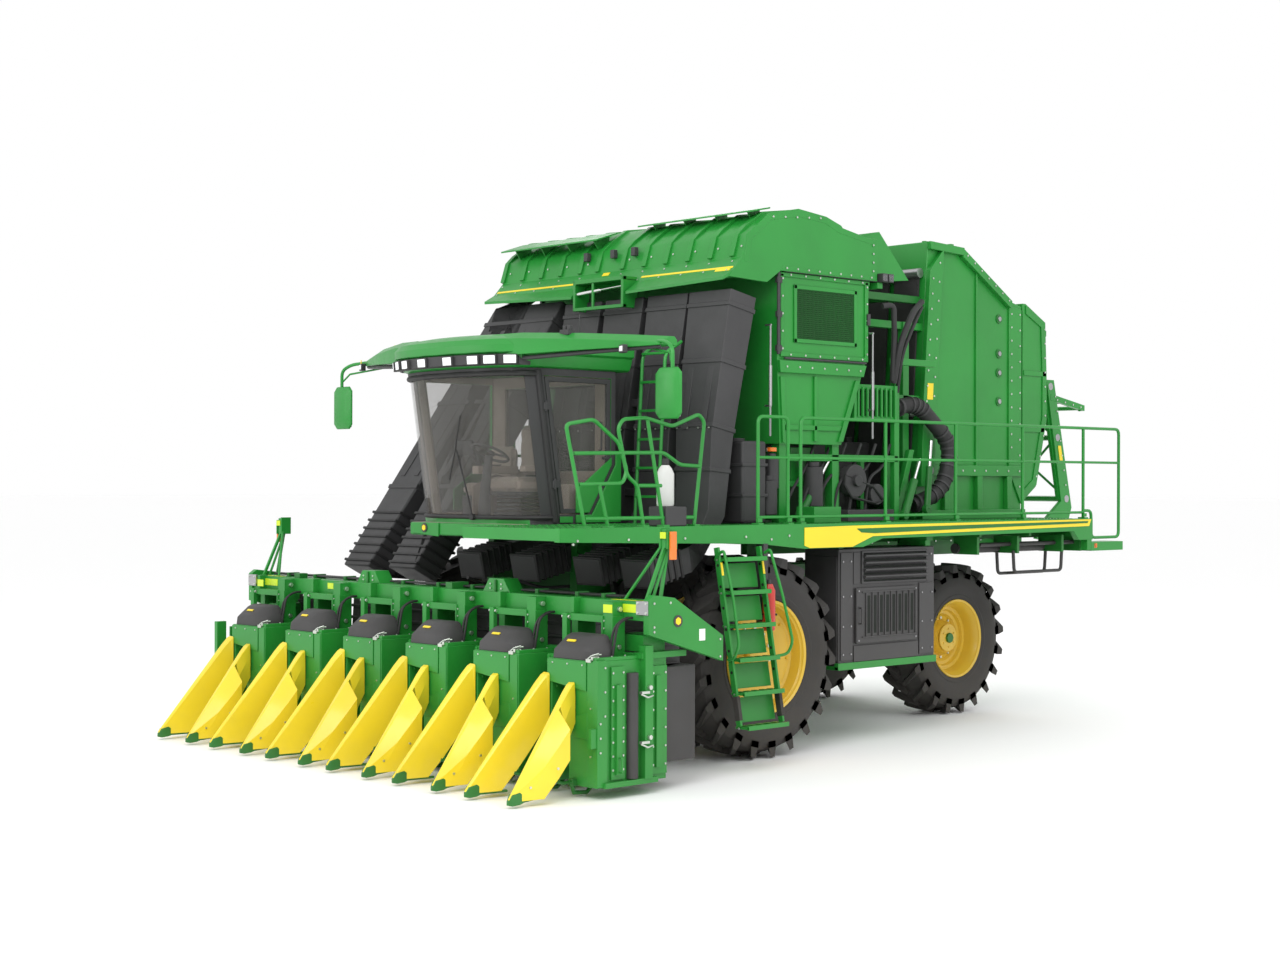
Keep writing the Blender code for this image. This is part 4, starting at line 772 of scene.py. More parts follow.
def picking_unit(number, row):
    body = "header"
    bm = bmesh.new()
    front_sheet(bm, [(row - 0.16, 0.10), (row - 0.11, 0.10), (row - 0.11, 0.95), (row + 0.11, 0.95),
                     (row + 0.11, 0.10), (row + 0.46, 0.10), (row + 0.46, 1.15), (row - 0.16, 1.15)], -2.85,
                -2.23)
    block(bm, (row - 0.46, -2.60, 0.10), (row - 0.155, -2.23, 1.149))
    block(bm, (row - 0.459, -2.232, 0.11), (row + 0.459, -2.05, 1.149))
    piece(f"picking_unit_{number}_cabinet", bm, "green_paint", 0.005, body, replaces=(f"row_unit_{number}",))
    # folded front panels, a top tray behind the cover and ribs inside the throat
    bm = bmesh.new()
    front_sheet(bm, [(row - 0.155, 0.955), (row + 0.10, 0.925), (row + 0.34, 0.90), (row + 0.34, 1.143),
                     (row - 0.155, 1.143)], -2.864, -2.850)
    front_sheet(bm, [(row + 0.35, 0.12), (row + 0.452, 0.12), (row + 0.452, 1.14), (row + 0.35, 1.14)],
                -2.858, -2.850)
    front_sheet(bm, [(row + 0.13, 0.50), (row + 0.35, 0.50), (row + 0.35, 0.72), (row + 0.13, 0.66)],
                -2.858, -2.850)
    block(bm, (row + 0.40, -2.84, 1.150), (row + 0.455, -2.10, 1.180))
    block(bm, (row - 0.42, -2.38, 1.150), (row + 0.42, -2.30, 1.19))
    for z in (0.34, 0.74, 1.06):
        block(bm, (row - 0.455, -2.616, z), (row - 0.17, -2.600, z + 0.035))
        block(bm, (row - 0.472, -2.50, z), (row - 0.46, -2.12, z + 0.035))
    for x in (row - 0.455, row - 0.27):
        block(bm, (x, -2.612, 0.13), (x + 0.03, -2.600, 1.14))
    for z in (0.30, 0.62, 0.90):
        block(bm, (row - 0.125, -2.80, z), (row - 0.10, -2.25, z + 0.02))
        block(bm, (row + 0.10, -2.80, z), (row + 0.125, -2.25, z + 0.02))
    piece(f"picking_unit_{number}_panels", bm, "green_paint", 0.003, body)
    # spindle drums seen in the throat
    bm = bmesh.new()
    for x in (row - 0.085, row + 0.085):
        for k in range(9):
            disc(bm, (x, -2.46, 0.20 + 0.085 * k), (0, 0, 1), 0.022, 0.05, 12)
        tube(bm, [(x, -2.46, 0.13), (x, -2.46, 0.93)], 0.012, 8)
    piece(f"picking_unit_{number}_spindles", bm, "bare_steel", 0, body)
    bm = bmesh.new()
    dome(bm, row)
    piece(f"picking_unit_{number}_cover", bm, "charcoal_moulding", 0.012, body, segments=3)
    bm = bmesh.new()
    slope = Vector((0, 0.115, 0.083)).normalized()
    slab(bm, (row + 0.06, -2.778, 1.302), (0.052, 0, 0), slope * 0.012,
         slope.cross(Vector((1, 0, 0))) * 0.004)
    piece(f"picking_unit_{number}_cover_plate", bm, "stripe_yellow", 0.001, body)
    bm = bmesh.new()
    block(bm, (row + 0.335, -2.862, 1.140), (row + 0.395, -2.835, 1.170))
    block(bm, (row + 0.385, -2.850, 1.160), (row + 0.410, -2.780, 1.190))
    tube(bm, [(row + 0.33, -2.855, 1.155), (row + 0.37, -2.830, 1.195), (row + 0.41, -2.78, 1.215)], 0.006,
         8)
    tube(bm, [(row + 0.355, -2.80, 1.20), (row + 0.42, -2.76, 1.205)], 0.007, 8)
    piece(f"picking_unit_{number}_latch", bm, "zinc_bolts", 0.002, body)
    front = (0, -1, 0)
    spots = line_spots((row - 0.08, -2.868, 1.115), (row + 0.30, -2.868, 1.115), 3, front)
    spots += line_spots((row + 0.40, -2.862, 0.76), (row + 0.40, -2.862, 0.36), 3, front)
    spots += line_spots((row + 0.425, -2.80, 1.184), (row + 0.425, -2.20, 1.184), 5, (0, 0, 1))
    spots += line_spots((row - 0.44, -2.616, 1.08), (row - 0.44, -2.616, 0.18), 7, front)
    spots += line_spots((row + 0.155, -2.494, 1.20), (row + 0.155, -2.494, 1.46), 5, front)
    heads(f"picking_unit_{number}_bolts", spots, body, 0.008, 0.008)
    # hangers, pins and hoses between unit and toolbar
    bm = bmesh.new()
    block(bm, (row - 0.385, -2.50, 1.155), (row - 0.325, -2.455, 1.50))
    block(bm, (row - 0.385, -2.47, 1.44), (row + 0.15, -2.40, 1.50))
    block(bm, (row - 0.34, -2.44, 1.50), (row - 0.30, -2.34, 1.64))
    block(bm, (row + 0.128, -2.505, 1.16), (row + 0.146, -2.36, 1.50))
    block(bm, (row + 0.254, -2.505, 1.16), (row + 0.272, -2.36, 1.50))
    side_sheet(bm, [(-2.50, 1.16), (-2.36, 1.16), (-2.36, 1.30), (-2.44, 1.30)], row - 0.43, row - 0.415)
    piece(f"picking_unit_{number}_hanger", bm, "green_paint", 0.003, body)
    bm = bmesh.new()
    disc(bm, (row + 0.20, -2.42, 1.56), (1, 0, 0), 0.022, 0.17, 16)
    disc(bm, (row + 0.20, -2.43, 1.24), (1, 0, 0), 0.022, 0.17, 16)
    disc(bm, (row - 0.355, -2.478, 1.47), (1, 0, 0), 0.016, 0.10, 16)
    piece(f"picking_unit_{number}_pins", bm, "zinc_bolts", 0.002, body)
    bm = bmesh.new()
    for k, x in enumerate((row + 0.33, row + 0.375)):
        path = rounded([(x, -2.60, 1.16), (x + 0.01, -2.55, 1.42 + 0.03 * k), (x, -2.40, 1.50),
                        (x, -2.10, 1.44)], 0.12)
        tube(bm, path, 0.011, 8)
    piece(f"picking_unit_{number}_hoses", bm, "hose_rubber", 0, body)
    # dividers, their tips and skids
    bm = bmesh.new()
    divider(bm, row, -1, 0.245, 1.06, 0.40)
    divider(bm, row, 1, 0.155, 1.00, 0.62)
    piece(f"row_{number}_dividers", bm, "yellow_moulding", 0.007, body, smooth=14,
          replaces=(f"dividers_{number}",), segments=3)
    bm = bmesh.new()
    for side in (-1, 1):
        x = row + side * 0.28
        rings = []
        for y, half, low, high in ((-3.650, 0.012, 0.030, 0.062), (-3.615, 0.028, 0.022, 0.112),
                                   (-3.545, 0.036, 0.028, 0.128), (-3.50, 0.032, 0.040, 0.10)):
            rings.append([here(x - half, y, low), here(x + half, y, low), here(x + half, y, high),
                          here(x - half, y, high)])
        ring_faces(bm, rings)
        inner_edge = row + side * 0.21
        slab(bm, ((x + inner_edge) / 2 + side * 0.01, -3.40, 0.047), ((inner_edge - x) / 2, 0.15, 0.003),
             (0.014, 0, 0), (0, 0, 0.010))
        back = row + side * 0.19
        tube(bm, [(back, -3.20, 0.20), (back, -2.98, 0.13), (back, -2.86, 0.14)], 0.016, 8)
        tube(bm, [(back, -2.90, 0.14), (back, -2.86, 0.04), (back, -2.72, 0.030), (back, -2.62, 0.11)],
             0.018, 8)
        block(bm, (back - 0.03, -2.90, 0.10), (back + 0.03, -2.60, 0.16))
    # shoes and skids in painted shade: the darkened copy of the body green
    piece(f"row_{number}_shoes", bm, "green_painted_shade", 0.004, body)
    spots = [((row - 0.37, -3.27, 0.30), (-0.75, -0.35, 0.6)), ((row + 0.405, -3.22, 0.30), (1, 0, 0)),
             ((row + 0.33, -3.45, 0.16), (1, 0, 0))]
    heads(f"row_{number}_divider_bolts", spots, body, 0.011, 0.012, 12)


def header_ends():
    """Outer faces of the end units and the ends of the toolbar."""
    edge = (ROWS - 1) / 2 * ROW_SPACING + 0.46
    for name, side in (("left", 1), ("right", -1)):
        body = "header"

        def at(x, y, z):
            return (side * x, y, z)

        def pair(bm, low, high):
            xs = sorted((side * low[0], side * high[0]))
            block(bm, (xs[0], low[1], low[2]), (xs[1], high[1], high[2]))

        bm = bmesh.new()
        # column at the front corner with its foot, and the hinge post
        pair(bm, (edge - 0.02, -2.87, 0.11), (edge + 0.035, -2.76, 1.16))
        pair(bm, (edge - 0.01, -2.93, 0.44), (edge + 0.025, -2.80, 0.60))
        pair(bm, (edge, -2.70, 0.16), (edge + 0.020, -2.55, 1.10))
        pair(bm, (edge, -2.66, 0.20), (edge + 0.045, -2.60, 0.95))
        pair(bm, (edge - 0.01, -2.36, 0.14), (edge + 0.070, -2.27, 1.26))
        pair(bm, (edge, -2.25, 0.16), (edge + 0.018, -2.06, 1.08))
        pair(bm, (edge, -2.20, 0.22), (edge + 0.040, -2.14, 1.00))
        pair(bm, (edge - 0.03, -2.80, 0.10), (edge + 0.060, -2.20, 0.145))
        pair(bm, (edge - 0.05, -2.38, 1.15), (edge + 0.05, -1.86, 1.20))
        pair(bm, (edge - 0.35, -2.30, 1.20), (edge - 0.02, -2.05, 1.34))
        tube(bm, rounded([at(edge + 0.05, -2.63, 0.34), at(edge + 0.075, -2.63, 0.34),
                          at(edge + 0.075, -2.63, 0.22), at(edge + 0.05, -2.63, 0.22)], 0.02), 0.009, 8)
        piece(f"header_{name}_end_panels", bm, "green_paint", 0.004, body)
        bm = bmesh.new()
        tube(bm, [at(edge + 0.01, -2.46, 0.15), at(edge + 0.01, -2.46, 1.04)], 0.055, 24)
        piece(f"header_{name}_end_roller", bm, "charcoal_moulding", 0.004, body)
        bm = bmesh.new()
        for z in (0.44, 0.86):
            pair(bm, (edge + 0.06, -2.42, z), (edge + 0.095, -2.33, z + 0.022))
            disc(bm, at(edge + 0.085, -2.32, z + 0.05), (side, 0, 0), 0.020, 0.03, 16)
            tube(bm, [at(edge + 0.08, -2.42, z), at(edge + 0.10, -2.36, z - 0.03),
                      at(edge + 0.08, -2.28, z - 0.02)], 0.008, 8)
        piece(f"header_{name}_latches", bm, "zinc_bolts", 0.002, body)
        out = (side, 0, 0)
        spots = line_spots(at(edge + 0.022, -2.685, 1.05), at(edge + 0.022, -2.685, 0.24), 8, out)
        spots += line_spots(at(edge + 0.022, -2.57, 1.05), at(edge + 0.022, -2.57, 0.24), 8, out)
        spots += line_spots(at(edge + 0.021, -2.225, 1.02), at(edge + 0.021, -2.225, 0.24), 6, out)
        spots += line_spots(at(edge + 0.021, -2.08, 1.02), at(edge + 0.021, -2.08, 0.24), 6, out)
        spots += line_spots(at(edge + 0.038, -2.84, 0.64), at(edge + 0.038, -2.84, 0.40), 3, out)
        spots += line_spots(at(edge + 0.038, -2.79, 1.10), at(edge + 0.038, -2.79, 0.70), 3, out)
        heads(f"header_{name}_end_bolts", spots, body, 0.010, 0.010)
        # blank badge and decal on the end plate, its bolts, and the grey clamp block
        bm = bmesh.new()
        disc(bm, at(3.143, -2.05, 1.46), out, 0.052, 0.006, 32)
        piece(f"header_{name}_badge", bm, "charcoal_paint", 0.001, body)
        bm = bmesh.new()
        disc(bm, at(3.146, -2.05, 1.46), out, 0.034, 0.005, 6)
        piece(f"header_{name}_badge_face", bm, "stripe_yellow", 0.001, body)
        bm = bmesh.new()
        slab(bm, at(3.142, -1.76, 1.33), (0, 0.035, 0), (0, 0, 0.05), (0.003, 0, 0))
        piece(f"header_{name}_decal", bm, "blank_decal", 0.001, body)
        bm = bmesh.new()
        pair(bm, (3.02, -2.392, 1.52), (3.05, -2.372, 1.62))
        pair(bm, (2.99, -2.40, 1.52), (3.135, -2.372, 1.64))
        piece(f"header_{name}_clamp", bm, "bare_steel", 0.004, body)
        spots = [(at(x, -2.402, z), (0, -1, 0)) for x in (3.01, 3.115) for z in (1.54, 1.62)]
        spots += [(at(3.142, y, z), out) for y, z in ((-2.33, 1.42), (-2.33, 1.62), (-2.14, 1.62),
                                                      (-1.54, 1.28), (-1.54, 1.13), (-2.33, 1.38))]
        heads(f"header_{name}_plate_bolts", spots, body, 0.011, 0.010)
        # stripes on the toolbar
        bm = bmesh.new()
        pair(bm, (2.60, -2.374, 1.535), (2.98, -2.370, 1.605))
        pair(bm, (2.685, -2.496, 1.530), (2.795, -2.490, 1.600))
        pair(bm, (1.56, -2.374, 1.545), (1.66, -2.370, 1.605))
        pair(bm, (2.98, -2.33, 1.632), (2.60, -2.27, 1.634))
        piece(f"header_{name}_reflectors", bm, "reflector_strip", 0, body)
        # marker stand
        bm = bmesh.new()
        tube(bm, [at(2.72, -2.28, 1.63), at(3.00, -2.05, 2.16)], 0.014, 8)
        tube(bm, [at(3.00, -2.22, 1.63), at(3.00, -2.02, 2.12)], 0.014, 8)
        pair(bm, (2.955, -2.10, 2.07), (2.975, -1.98, 2.25))
        pair(bm, (3.045, -2.10, 2.07), (3.060, -1.98, 2.22))
        piece(f"header_{name}_marker_stand", bm, "green_paint", 0.003, body)
        bm = bmesh.new()
        pair(bm, (2.976, -2.108, 2.16), (3.044, -2.100, 2.215))
        piece(f"header_{name}_marker_stripe", bm, "reflector_strip", 0.001, body)
        bm = bmesh.new()
        pair(bm, (3.062, -2.08, 1.98), (3.085, -2.01, 2.22))
        piece(f"header_{name}_marker_reflector", bm, "amber_lens", 0.004, body)


def make_header():
    dressed("header_frame", "green_paint", 0.005)
    for number, row in enumerate(row_places(), start=1):
        picking_unit(number, row)
    header_ends()
    dressed("header_ducts", "charcoal_moulding", 0.010)
    bm = bmesh.new()
    for row in row_places():
        for z in (0.34, 0.52, 0.70, 0.88):
            block(bm, (row - 0.40, DOOR_BACK, z), (row + 0.40, DOOR_BACK + 0.014, z + 0.05))
        for y, z in ((-1.90, 1.22), (-1.87, 1.34), (-1.85, 1.46)):
            block(bm, (row - 0.275, y - 0.115, z), (row + 0.275, y + 0.155, z + 0.03))
    piece("header_duct_ribs", bm, "charcoal_moulding", 0.006, "header")
    # toolbar fittings: valve blocks, hose bundle and pipe clips
    bm = bmesh.new()
    for k in range(4):
        path = [(-2.90, -2.22 + 0.028 * k, 1.652), (-1.26, -2.22 + 0.028 * k, 1.652)]
        tube(bm, path, 0.010, 8)
        tube(bm, [(1.26, -2.22 + 0.028 * k, 1.652), (2.60, -2.22 + 0.028 * k, 1.652)], 0.010, 8)
        tube(bm, [(-0.78, -2.22 + 0.028 * k, 1.652), (0.78, -2.22 + 0.028 * k, 1.652)], 0.010, 8)
    piece("toolbar_hoses", bm, "hose_rubber", 0, "header")
    bm = bmesh.new()
    for x in (-2.6, -2.1, -1.55, -0.55, 0.02, 0.55, 1.5, 2.05, 2.4):
        block(bm, (x - 0.02, -2.245, 1.63), (x + 0.02, -2.11, 1.672))
    for x in (-1.016, 1.016):
        block(bm, (x - 0.012, -2.34, 1.47), (x + 0.012, -2.32, 1.74))
    block(bm, (0.30, -2.36, 1.63), (0.40, -2.16, 1.69))
    block(bm, (-2.30, -2.36, 1.63), (-2.20, -2.26, 1.68))
    piece("toolbar_clips", bm, "green_painted_shade", 0.002, "header")
    spots = []
    for x in (-1.016, 1.016):
        spots += [((x + dx, -2.325, z), (0, -1, 0)) for dx in (-0.08, 0.08) for z in (1.66, 1.70)]
    heads("toolbar_hump_bolts", spots, "header", 0.009, 0.010)


# ---------------------------------------------------------------- cab
CAB_FLOOR = 2.24
CAB_TALL = 1.48                         # from the cab floor to the heads of its pillars


def pillar_y(foot, head, z):
    """How far back a leaning pillar stands at a height."""
    return foot + (head - foot) * (z - CAB_FLOOR) / CAB_TALL


def bow_points(z, inset, steps=12, span=1.0):
    """The bowed front edge of the cab at a height, from left to right."""
    half = 0.95 - inset
    base = pillar_y(-1.53, -1.76, z) + inset
    made = []
    for step in range(steps + 1):
        angle = math.pi * (0.5 + span * (step / steps - 0.5))
        made.append((half * math.cos(angle), base - 0.395 * abs(math.sin(angle)) ** 0.8, z))
    return made


def outer_pillar(spot, facing):
    """True on the outer sides of the cab, and on its front pillars above the floor."""
    if abs(facing.x) > 0.9 and abs(spot.x) > 0.94:
        return True
    return spot.y < -1.3 and facing.y < 0.3 and spot.z > 2.27


def inner_wall(spot, facing):
    """True on the floor and walls inside the cab."""
    inside = abs(spot.x) < 0.905 and spot.y > -2.15 and spot.z > 2.22
    on_floor = facing.z > 0.5 and spot.z < 2.3
    on_side = facing.x * spot.x < -0.3
    on_front = spot.y < -1.5 and facing.y > 0.3
    on_back = spot.y > -1.0 and facing.y < -0.5
    return inside and (on_floor or on_side or on_front or on_back)


def make_cab():
    shell = dressed("cab_shell", "green_paint", 0.004)
    two_tone(shell, "charcoal_moulding", outer_pillar)
    two_tone(shell, "cab_lining", inner_wall)
    for node, name in (("windshield", "windshield_pane"), ("cab_right_window", "right_window_pane"),
                       ("cab_rear_window", "rear_window_pane")):
        dressed(node, "tinted_glass", 0, name, 40)
    dressed("cab_door_glass", "tinted_glass", 0, "door_pane")
    dressed("cab_door", "charcoal_moulding", 0.006, "door_frame_moulding")
    # black surrounds of the side and rear windows, the pillars and the screen's top and bottom bands
    bm = bmesh.new()
    for side in (1, -1):
        def path(x, margin):
            pillar_low = pillar_y(-1.53, -1.76, 2.36) + 0.03 - margin
            pillar_high = pillar_y(-1.53, -1.76, 3.66) + 0.03 - margin
            return [(side * x, pillar_low, 2.33 - margin), (side * x, pillar_high, 3.67 + margin * 0.4),
                    (side * x, -0.82 + margin, 3.67 + margin * 0.4), (side * x, -0.82 + margin, 2.80),
                    (side * x, -1.12, 2.33 - margin), (side * x, pillar_low, 2.33 - margin)]
        if side < 0:
            tube(bm, rounded(path(0.952, 0.0), 0.06), 0.014, 6)
        lean = [(side * 0.945, pillar_y(-1.53, -1.76, z) - 0.012, z) for z in (2.26, 2.7, 3.2, 3.70)]
        tube(bm, lean, 0.034, 10)
    for z in (2.30, 3.665):
        tube(bm, bow_points(z, 0.004, 16), 0.020 if z < 3 else 0.026, 8)
    tube(bm, [(-0.70, -0.775, 2.76), (0.70, -0.775, 2.76)], 0.012, 6)
    tube(bm, [(-0.70, -0.775, 3.59), (0.70, -0.775, 3.59)], 0.012, 6)
    piece("cab_window_seals", bm, "hose_rubber", 0)
    bm = bmesh.new()
    for z in (2.62, 3.36):
        y = pillar_y(-1.53, -1.76, z)
        block(bm, (0.955, y - 0.02, z - 0.035), (0.992, y + 0.05, z + 0.035))
        tube(bm, [(0.985, y + 0.005, z - 0.05), (0.985, y + 0.005, z + 0.05)], 0.012, 10)
    piece("cab_hinge_brackets", bm, "charcoal_moulding", 0.004)
    bm = bmesh.new()
    block(bm, (0.958, -0.97, 2.86), (0.985, -0.90, 2.885))
    tube(bm, rounded([(0.955, -1.00, 2.95), (0.99, -1.00, 2.95), (0.99, -1.00, 3.22), (0.955, -1.00, 3.22)],
                     0.03), 0.010, 8)
    piece("door_handle", bm, "charcoal_moulding", 0.003, "cab_door")
    # wiper, and the grab rod on the right pillar, clear of the door
    bm = bmesh.new()
    tube(bm, [(0.18, -1.945, 2.30), (0.12, -1.985, 2.60), (0.05, -2.045, 2.95)], 0.008, 8)
    tube(bm, [(-0.10, -2.010, 2.66), (0.05, -2.058, 2.95), (0.18, -2.098, 3.28)], 0.007, 8)
    disc(bm, (0.18, -1.945, 2.30), (0, -1, 0), 0.03, 0.04, 16)
    tube(bm, rounded([(-1.02, -1.585, 2.55), (-1.05, -1.605, 2.58), (-1.05, -1.675, 3.05),
                      (-1.02, -1.685, 3.10)], 0.03), 0.010, 8)
    piece("cab_wiper_and_rods", bm, "hose_rubber", 0)
    # steps of the front bar, its corner plate and the blank badge
    bm = bmesh.new()
    block(bm, (-0.78, -1.98, 2.118), (0.78, -1.952, 2.232))
    block(bm, (-0.80, -1.60, 2.17), (-0.70, -0.80, 2.20))
    front_sheet(bm, [(0.30, 2.10), (0.62, 2.10), (0.70, 2.17), (0.70, 2.236), (0.30, 2.236)], -1.996, -1.98)
    front_sheet(bm, [(-0.72, 2.13), (-0.30, 2.10), (-0.30, 2.236), (-0.72, 2.236)], -1.996, -1.98)
    piece("cab_front_bar", bm, "green_paint", 0.006)
    bm = bmesh.new()
    disc(bm, (-0.52, -2.00, 2.185), (0, -1, 0), 0.045, 0.012, 28)
    piece("cab_front_badge", bm, "charcoal_paint", 0.002)
    bm = bmesh.new()
    disc(bm, (-0.52, -2.008, 2.185), (0, -1, 0), 0.030, 0.006, 6)
    piece("cab_front_badge_face", bm, "stripe_yellow", 0.001)
    bm = bmesh.new()
    for low, high in ((0.952, 0.970), (-0.970, -0.952)):
        side_sheet(bm, [(-1.30, 2.25), (-0.72, 2.25), (-0.72, 2.94), (-0.79, 2.94), (-0.79, 2.81),
                        (-1.095, 2.325), (-1.30, 2.325)], low, high)
    side_sheet(bm, [(-1.50, 2.25), (-1.34, 2.25), (-1.34, 2.31), (-1.50, 2.31)], 0.952, 0.966)
    side_sheet(bm, [(-1.30, 2.345), (-1.135, 2.345), (-0.845, 2.81), (-0.845, 2.88), (-1.30, 2.56)], -0.970,
               -0.952)
    piece("cab_side_panels", bm, "green_paint", 0.004)
    bm = bmesh.new()
    side_sheet(bm, [(-1.30, 2.345), (-1.135, 2.345), (-0.845, 2.81), (-0.845, 2.88), (-1.30, 2.56)], 0.952,
               0.970)
    piece("cab_door_corner_panel", bm, "green_paint", 0.004, "cab_door")
    dressed_roof()
    cab_inside()


def dressed_roof():
    # roof dome, wings, lamp band, mirrors
    bm = bmesh.new()

    def ring(z, grow, steps=24):
        half = 0.95 + grow
        points = [here(half, -0.62, z)]
        for step in range(steps + 1):
            angle = math.pi * step / steps
            points.append(here(half * math.cos(angle), -1.76 - grow - 0.395 * math.sin(angle) ** 0.8, z))
        points.append(here(-half, -0.62, z))
        return points
    ring_faces(bm, [ring(3.7205, 0.0), ring(3.735, 0.03), ring(3.80, 0.06), ring(3.845, 0.070),
                    ring(3.86, 0.098), ring(3.93, 0.10), ring(3.985, 0.07), ring(4.02, 0.0),
                    ring(4.045, -0.12), ring(4.05, -0.22)])
    for side in (1, -1):
        rings = []
        for x, y_front, y_back, z_low, z_high in ((0.60, -2.13, -1.60, 3.815, 4.035),
                                                  (0.95, -2.06, -1.57, 3.83, 4.04),
                                                  (1.55, -1.86, -1.50, 3.85, 4.015),
                                                  (2.05, -1.62, -1.38, 3.87, 3.985),
                                                  (2.33, -1.48, -1.28, 3.885, 3.965)):
            lip = 0.03
            rings.append([here(side * x, y_front, z_low), here(side * x, y_back, z_low),
                          here(side * x, y_back, z_high - lip), here(side * x, y_back - lip, z_high),
                          here(side * x, y_front + 0.10, z_high), here(side * x, y_front, z_high - 0.06)])
        ring_faces(bm, rings)
    piece("cab_roof_panels", bm, "green_paint", 0.008, smooth=28, replaces=("cab_roof",), segments=3)
    bm = bmesh.new()
    rings = []
    for x, y, _ in bow_points(3.79, -0.045, 20, 0.92):
        rings.append([here(x, y, 3.735), here(x * 0.985, y - 0.045, 3.75), here(x * 0.985, y - 0.050, 3.84),
                      here(x, y, 3.85)])
    ring_faces(bm, rings)
    for side in (1, -1):
        tube(bm, [(side * 0.98, -1.98, 3.80), (side * 1.60, -1.78, 3.83), (side * 2.28, -1.44, 3.875)],
             0.022, 8)
    piece("cab_roof_lamp_band", bm, "charcoal_moulding", 0.004)
    # lamps
    bowls, lenses = bmesh.new(), bmesh.new()
    for x in (-0.88, -0.70, -0.52, -0.20, 0.20, 0.52, 0.70, 0.88):
        z = 3.795
        y = -1.816 - 0.395 * (1 - (x / 0.995) ** 2) ** 0.4
        face = Vector((x * 0.9 * abs(x), -1, -0.10)).normalized()
        wide = face.cross(Vector((0, 0, 1))).normalized()
        high = wide.cross(face)
        place = Vector((x, y, z)) + face * 0.045
        slab(bowls, tuple(place), wide * 0.072, high * 0.048, face * 0.030)
        slab(lenses, tuple(place + face * 0.030), wide * 0.060, high * 0.038, face * 0.005)
    for x, y, z in ((-2.18, -1.56, 3.89), (2.03, -1.64, 3.88)):
        slab(bowls, (x, y - 0.03, z - 0.03), (0.05, -0.02, 0), (0, 0, 0.038), (0, 0.03, 0))
        slab(lenses, (x, y - 0.062, z - 0.03), (0.036, -0.015, 0), (0, 0, 0.024), (0, 0.004, 0))
    piece("work_lamp_housings", bowls, "charcoal_moulding", 0.008)
    piece("work_lamp_lenses", lenses, "lamp_lens", 0.004)
    # mirrors and their arms
    bm = bmesh.new()
    for side in (1, -1):
        tube(bm, rounded([(side * 2.16, -1.42, 3.93), (side * 2.46, -1.54, 3.90), (side * 2.58, -1.58, 3.84),
                          (side * 2.58, -1.58, 3.66)], 0.07), 0.018, 10)
        tube(bm, [(side * 2.10, -1.36, 3.86), (side * 2.50, -1.53, 3.80), (side * 2.56, -1.58, 3.72)],
             0.010, 8)
    piece("mirror_arms", bm, "green_paint", 0)
    backs, faces = bmesh.new(), bmesh.new()
    for side in (1, -1):
        x = side * 2.54
        rings = []
        for y, w, h in ((-1.625, 0.115, 0.17), (-1.600, 0.160, 0.225), (-1.580, 0.165, 0.232)):
            c = 0.05
            z0 = 3.435
            rings.append([here(x - w + c, y, z0 - h), here(x + w - c, y, z0 - h), here(x + w, y, z0 - h + c),
                          here(x + w, y, z0 + h - c), here(x + w - c, y, z0 + h), here(x - w + c, y, z0 + h),
                          here(x - w, y, z0 + h - c), here(x - w, y, z0 - h + c)])
        ring_faces(backs, rings)
        slab(faces, (x, -1.576, 3.50), (0.135, 0, 0), (0, 0, 0.135), (0, 0.003, 0))
        slab(faces, (x, -1.576, 3.28), (0.135, 0, 0), (0, 0, 0.055), (0, 0.003, 0))
    piece("mirror_backs", backs, "green_paint", 0.006)
    piece("mirror_glasses", faces, "mirror_face", 0)
    bm = bmesh.new()
    block(bm, (1.34, -1.84, 4.00), (1.46, -1.76, 4.05))
    block(bm, (1.36, -1.82, 4.05), (1.40, -1.78, 4.09))
    block(bm, (1.42, -1.82, 4.05), (1.46, -1.78, 4.09))
    disc(bm, (0.0, -1.30, 4.075), (0, 0, 1), 0.11, 0.05, 24)
    tube(bm, [(0.55, -0.90, 4.04), (0.55, -0.90, 4.30)], 0.006, 6)
    piece("roof_aerials", bm, "charcoal_moulding", 0.004)
    bm = bmesh.new()
    slab(bm, (-1.20, -1.70, 4.036), (0.10, 0.03, -0.001), (-0.03, 0.10, 0), (0, 0, 0.002))
    slab(bm, (-2.25, -1.56, 3.92), (0.035, -0.02, 0), (0, 0, 0.02), (0, 0.003, 0))
    piece("roof_wing_marks", bm, "stripe_yellow", 0)


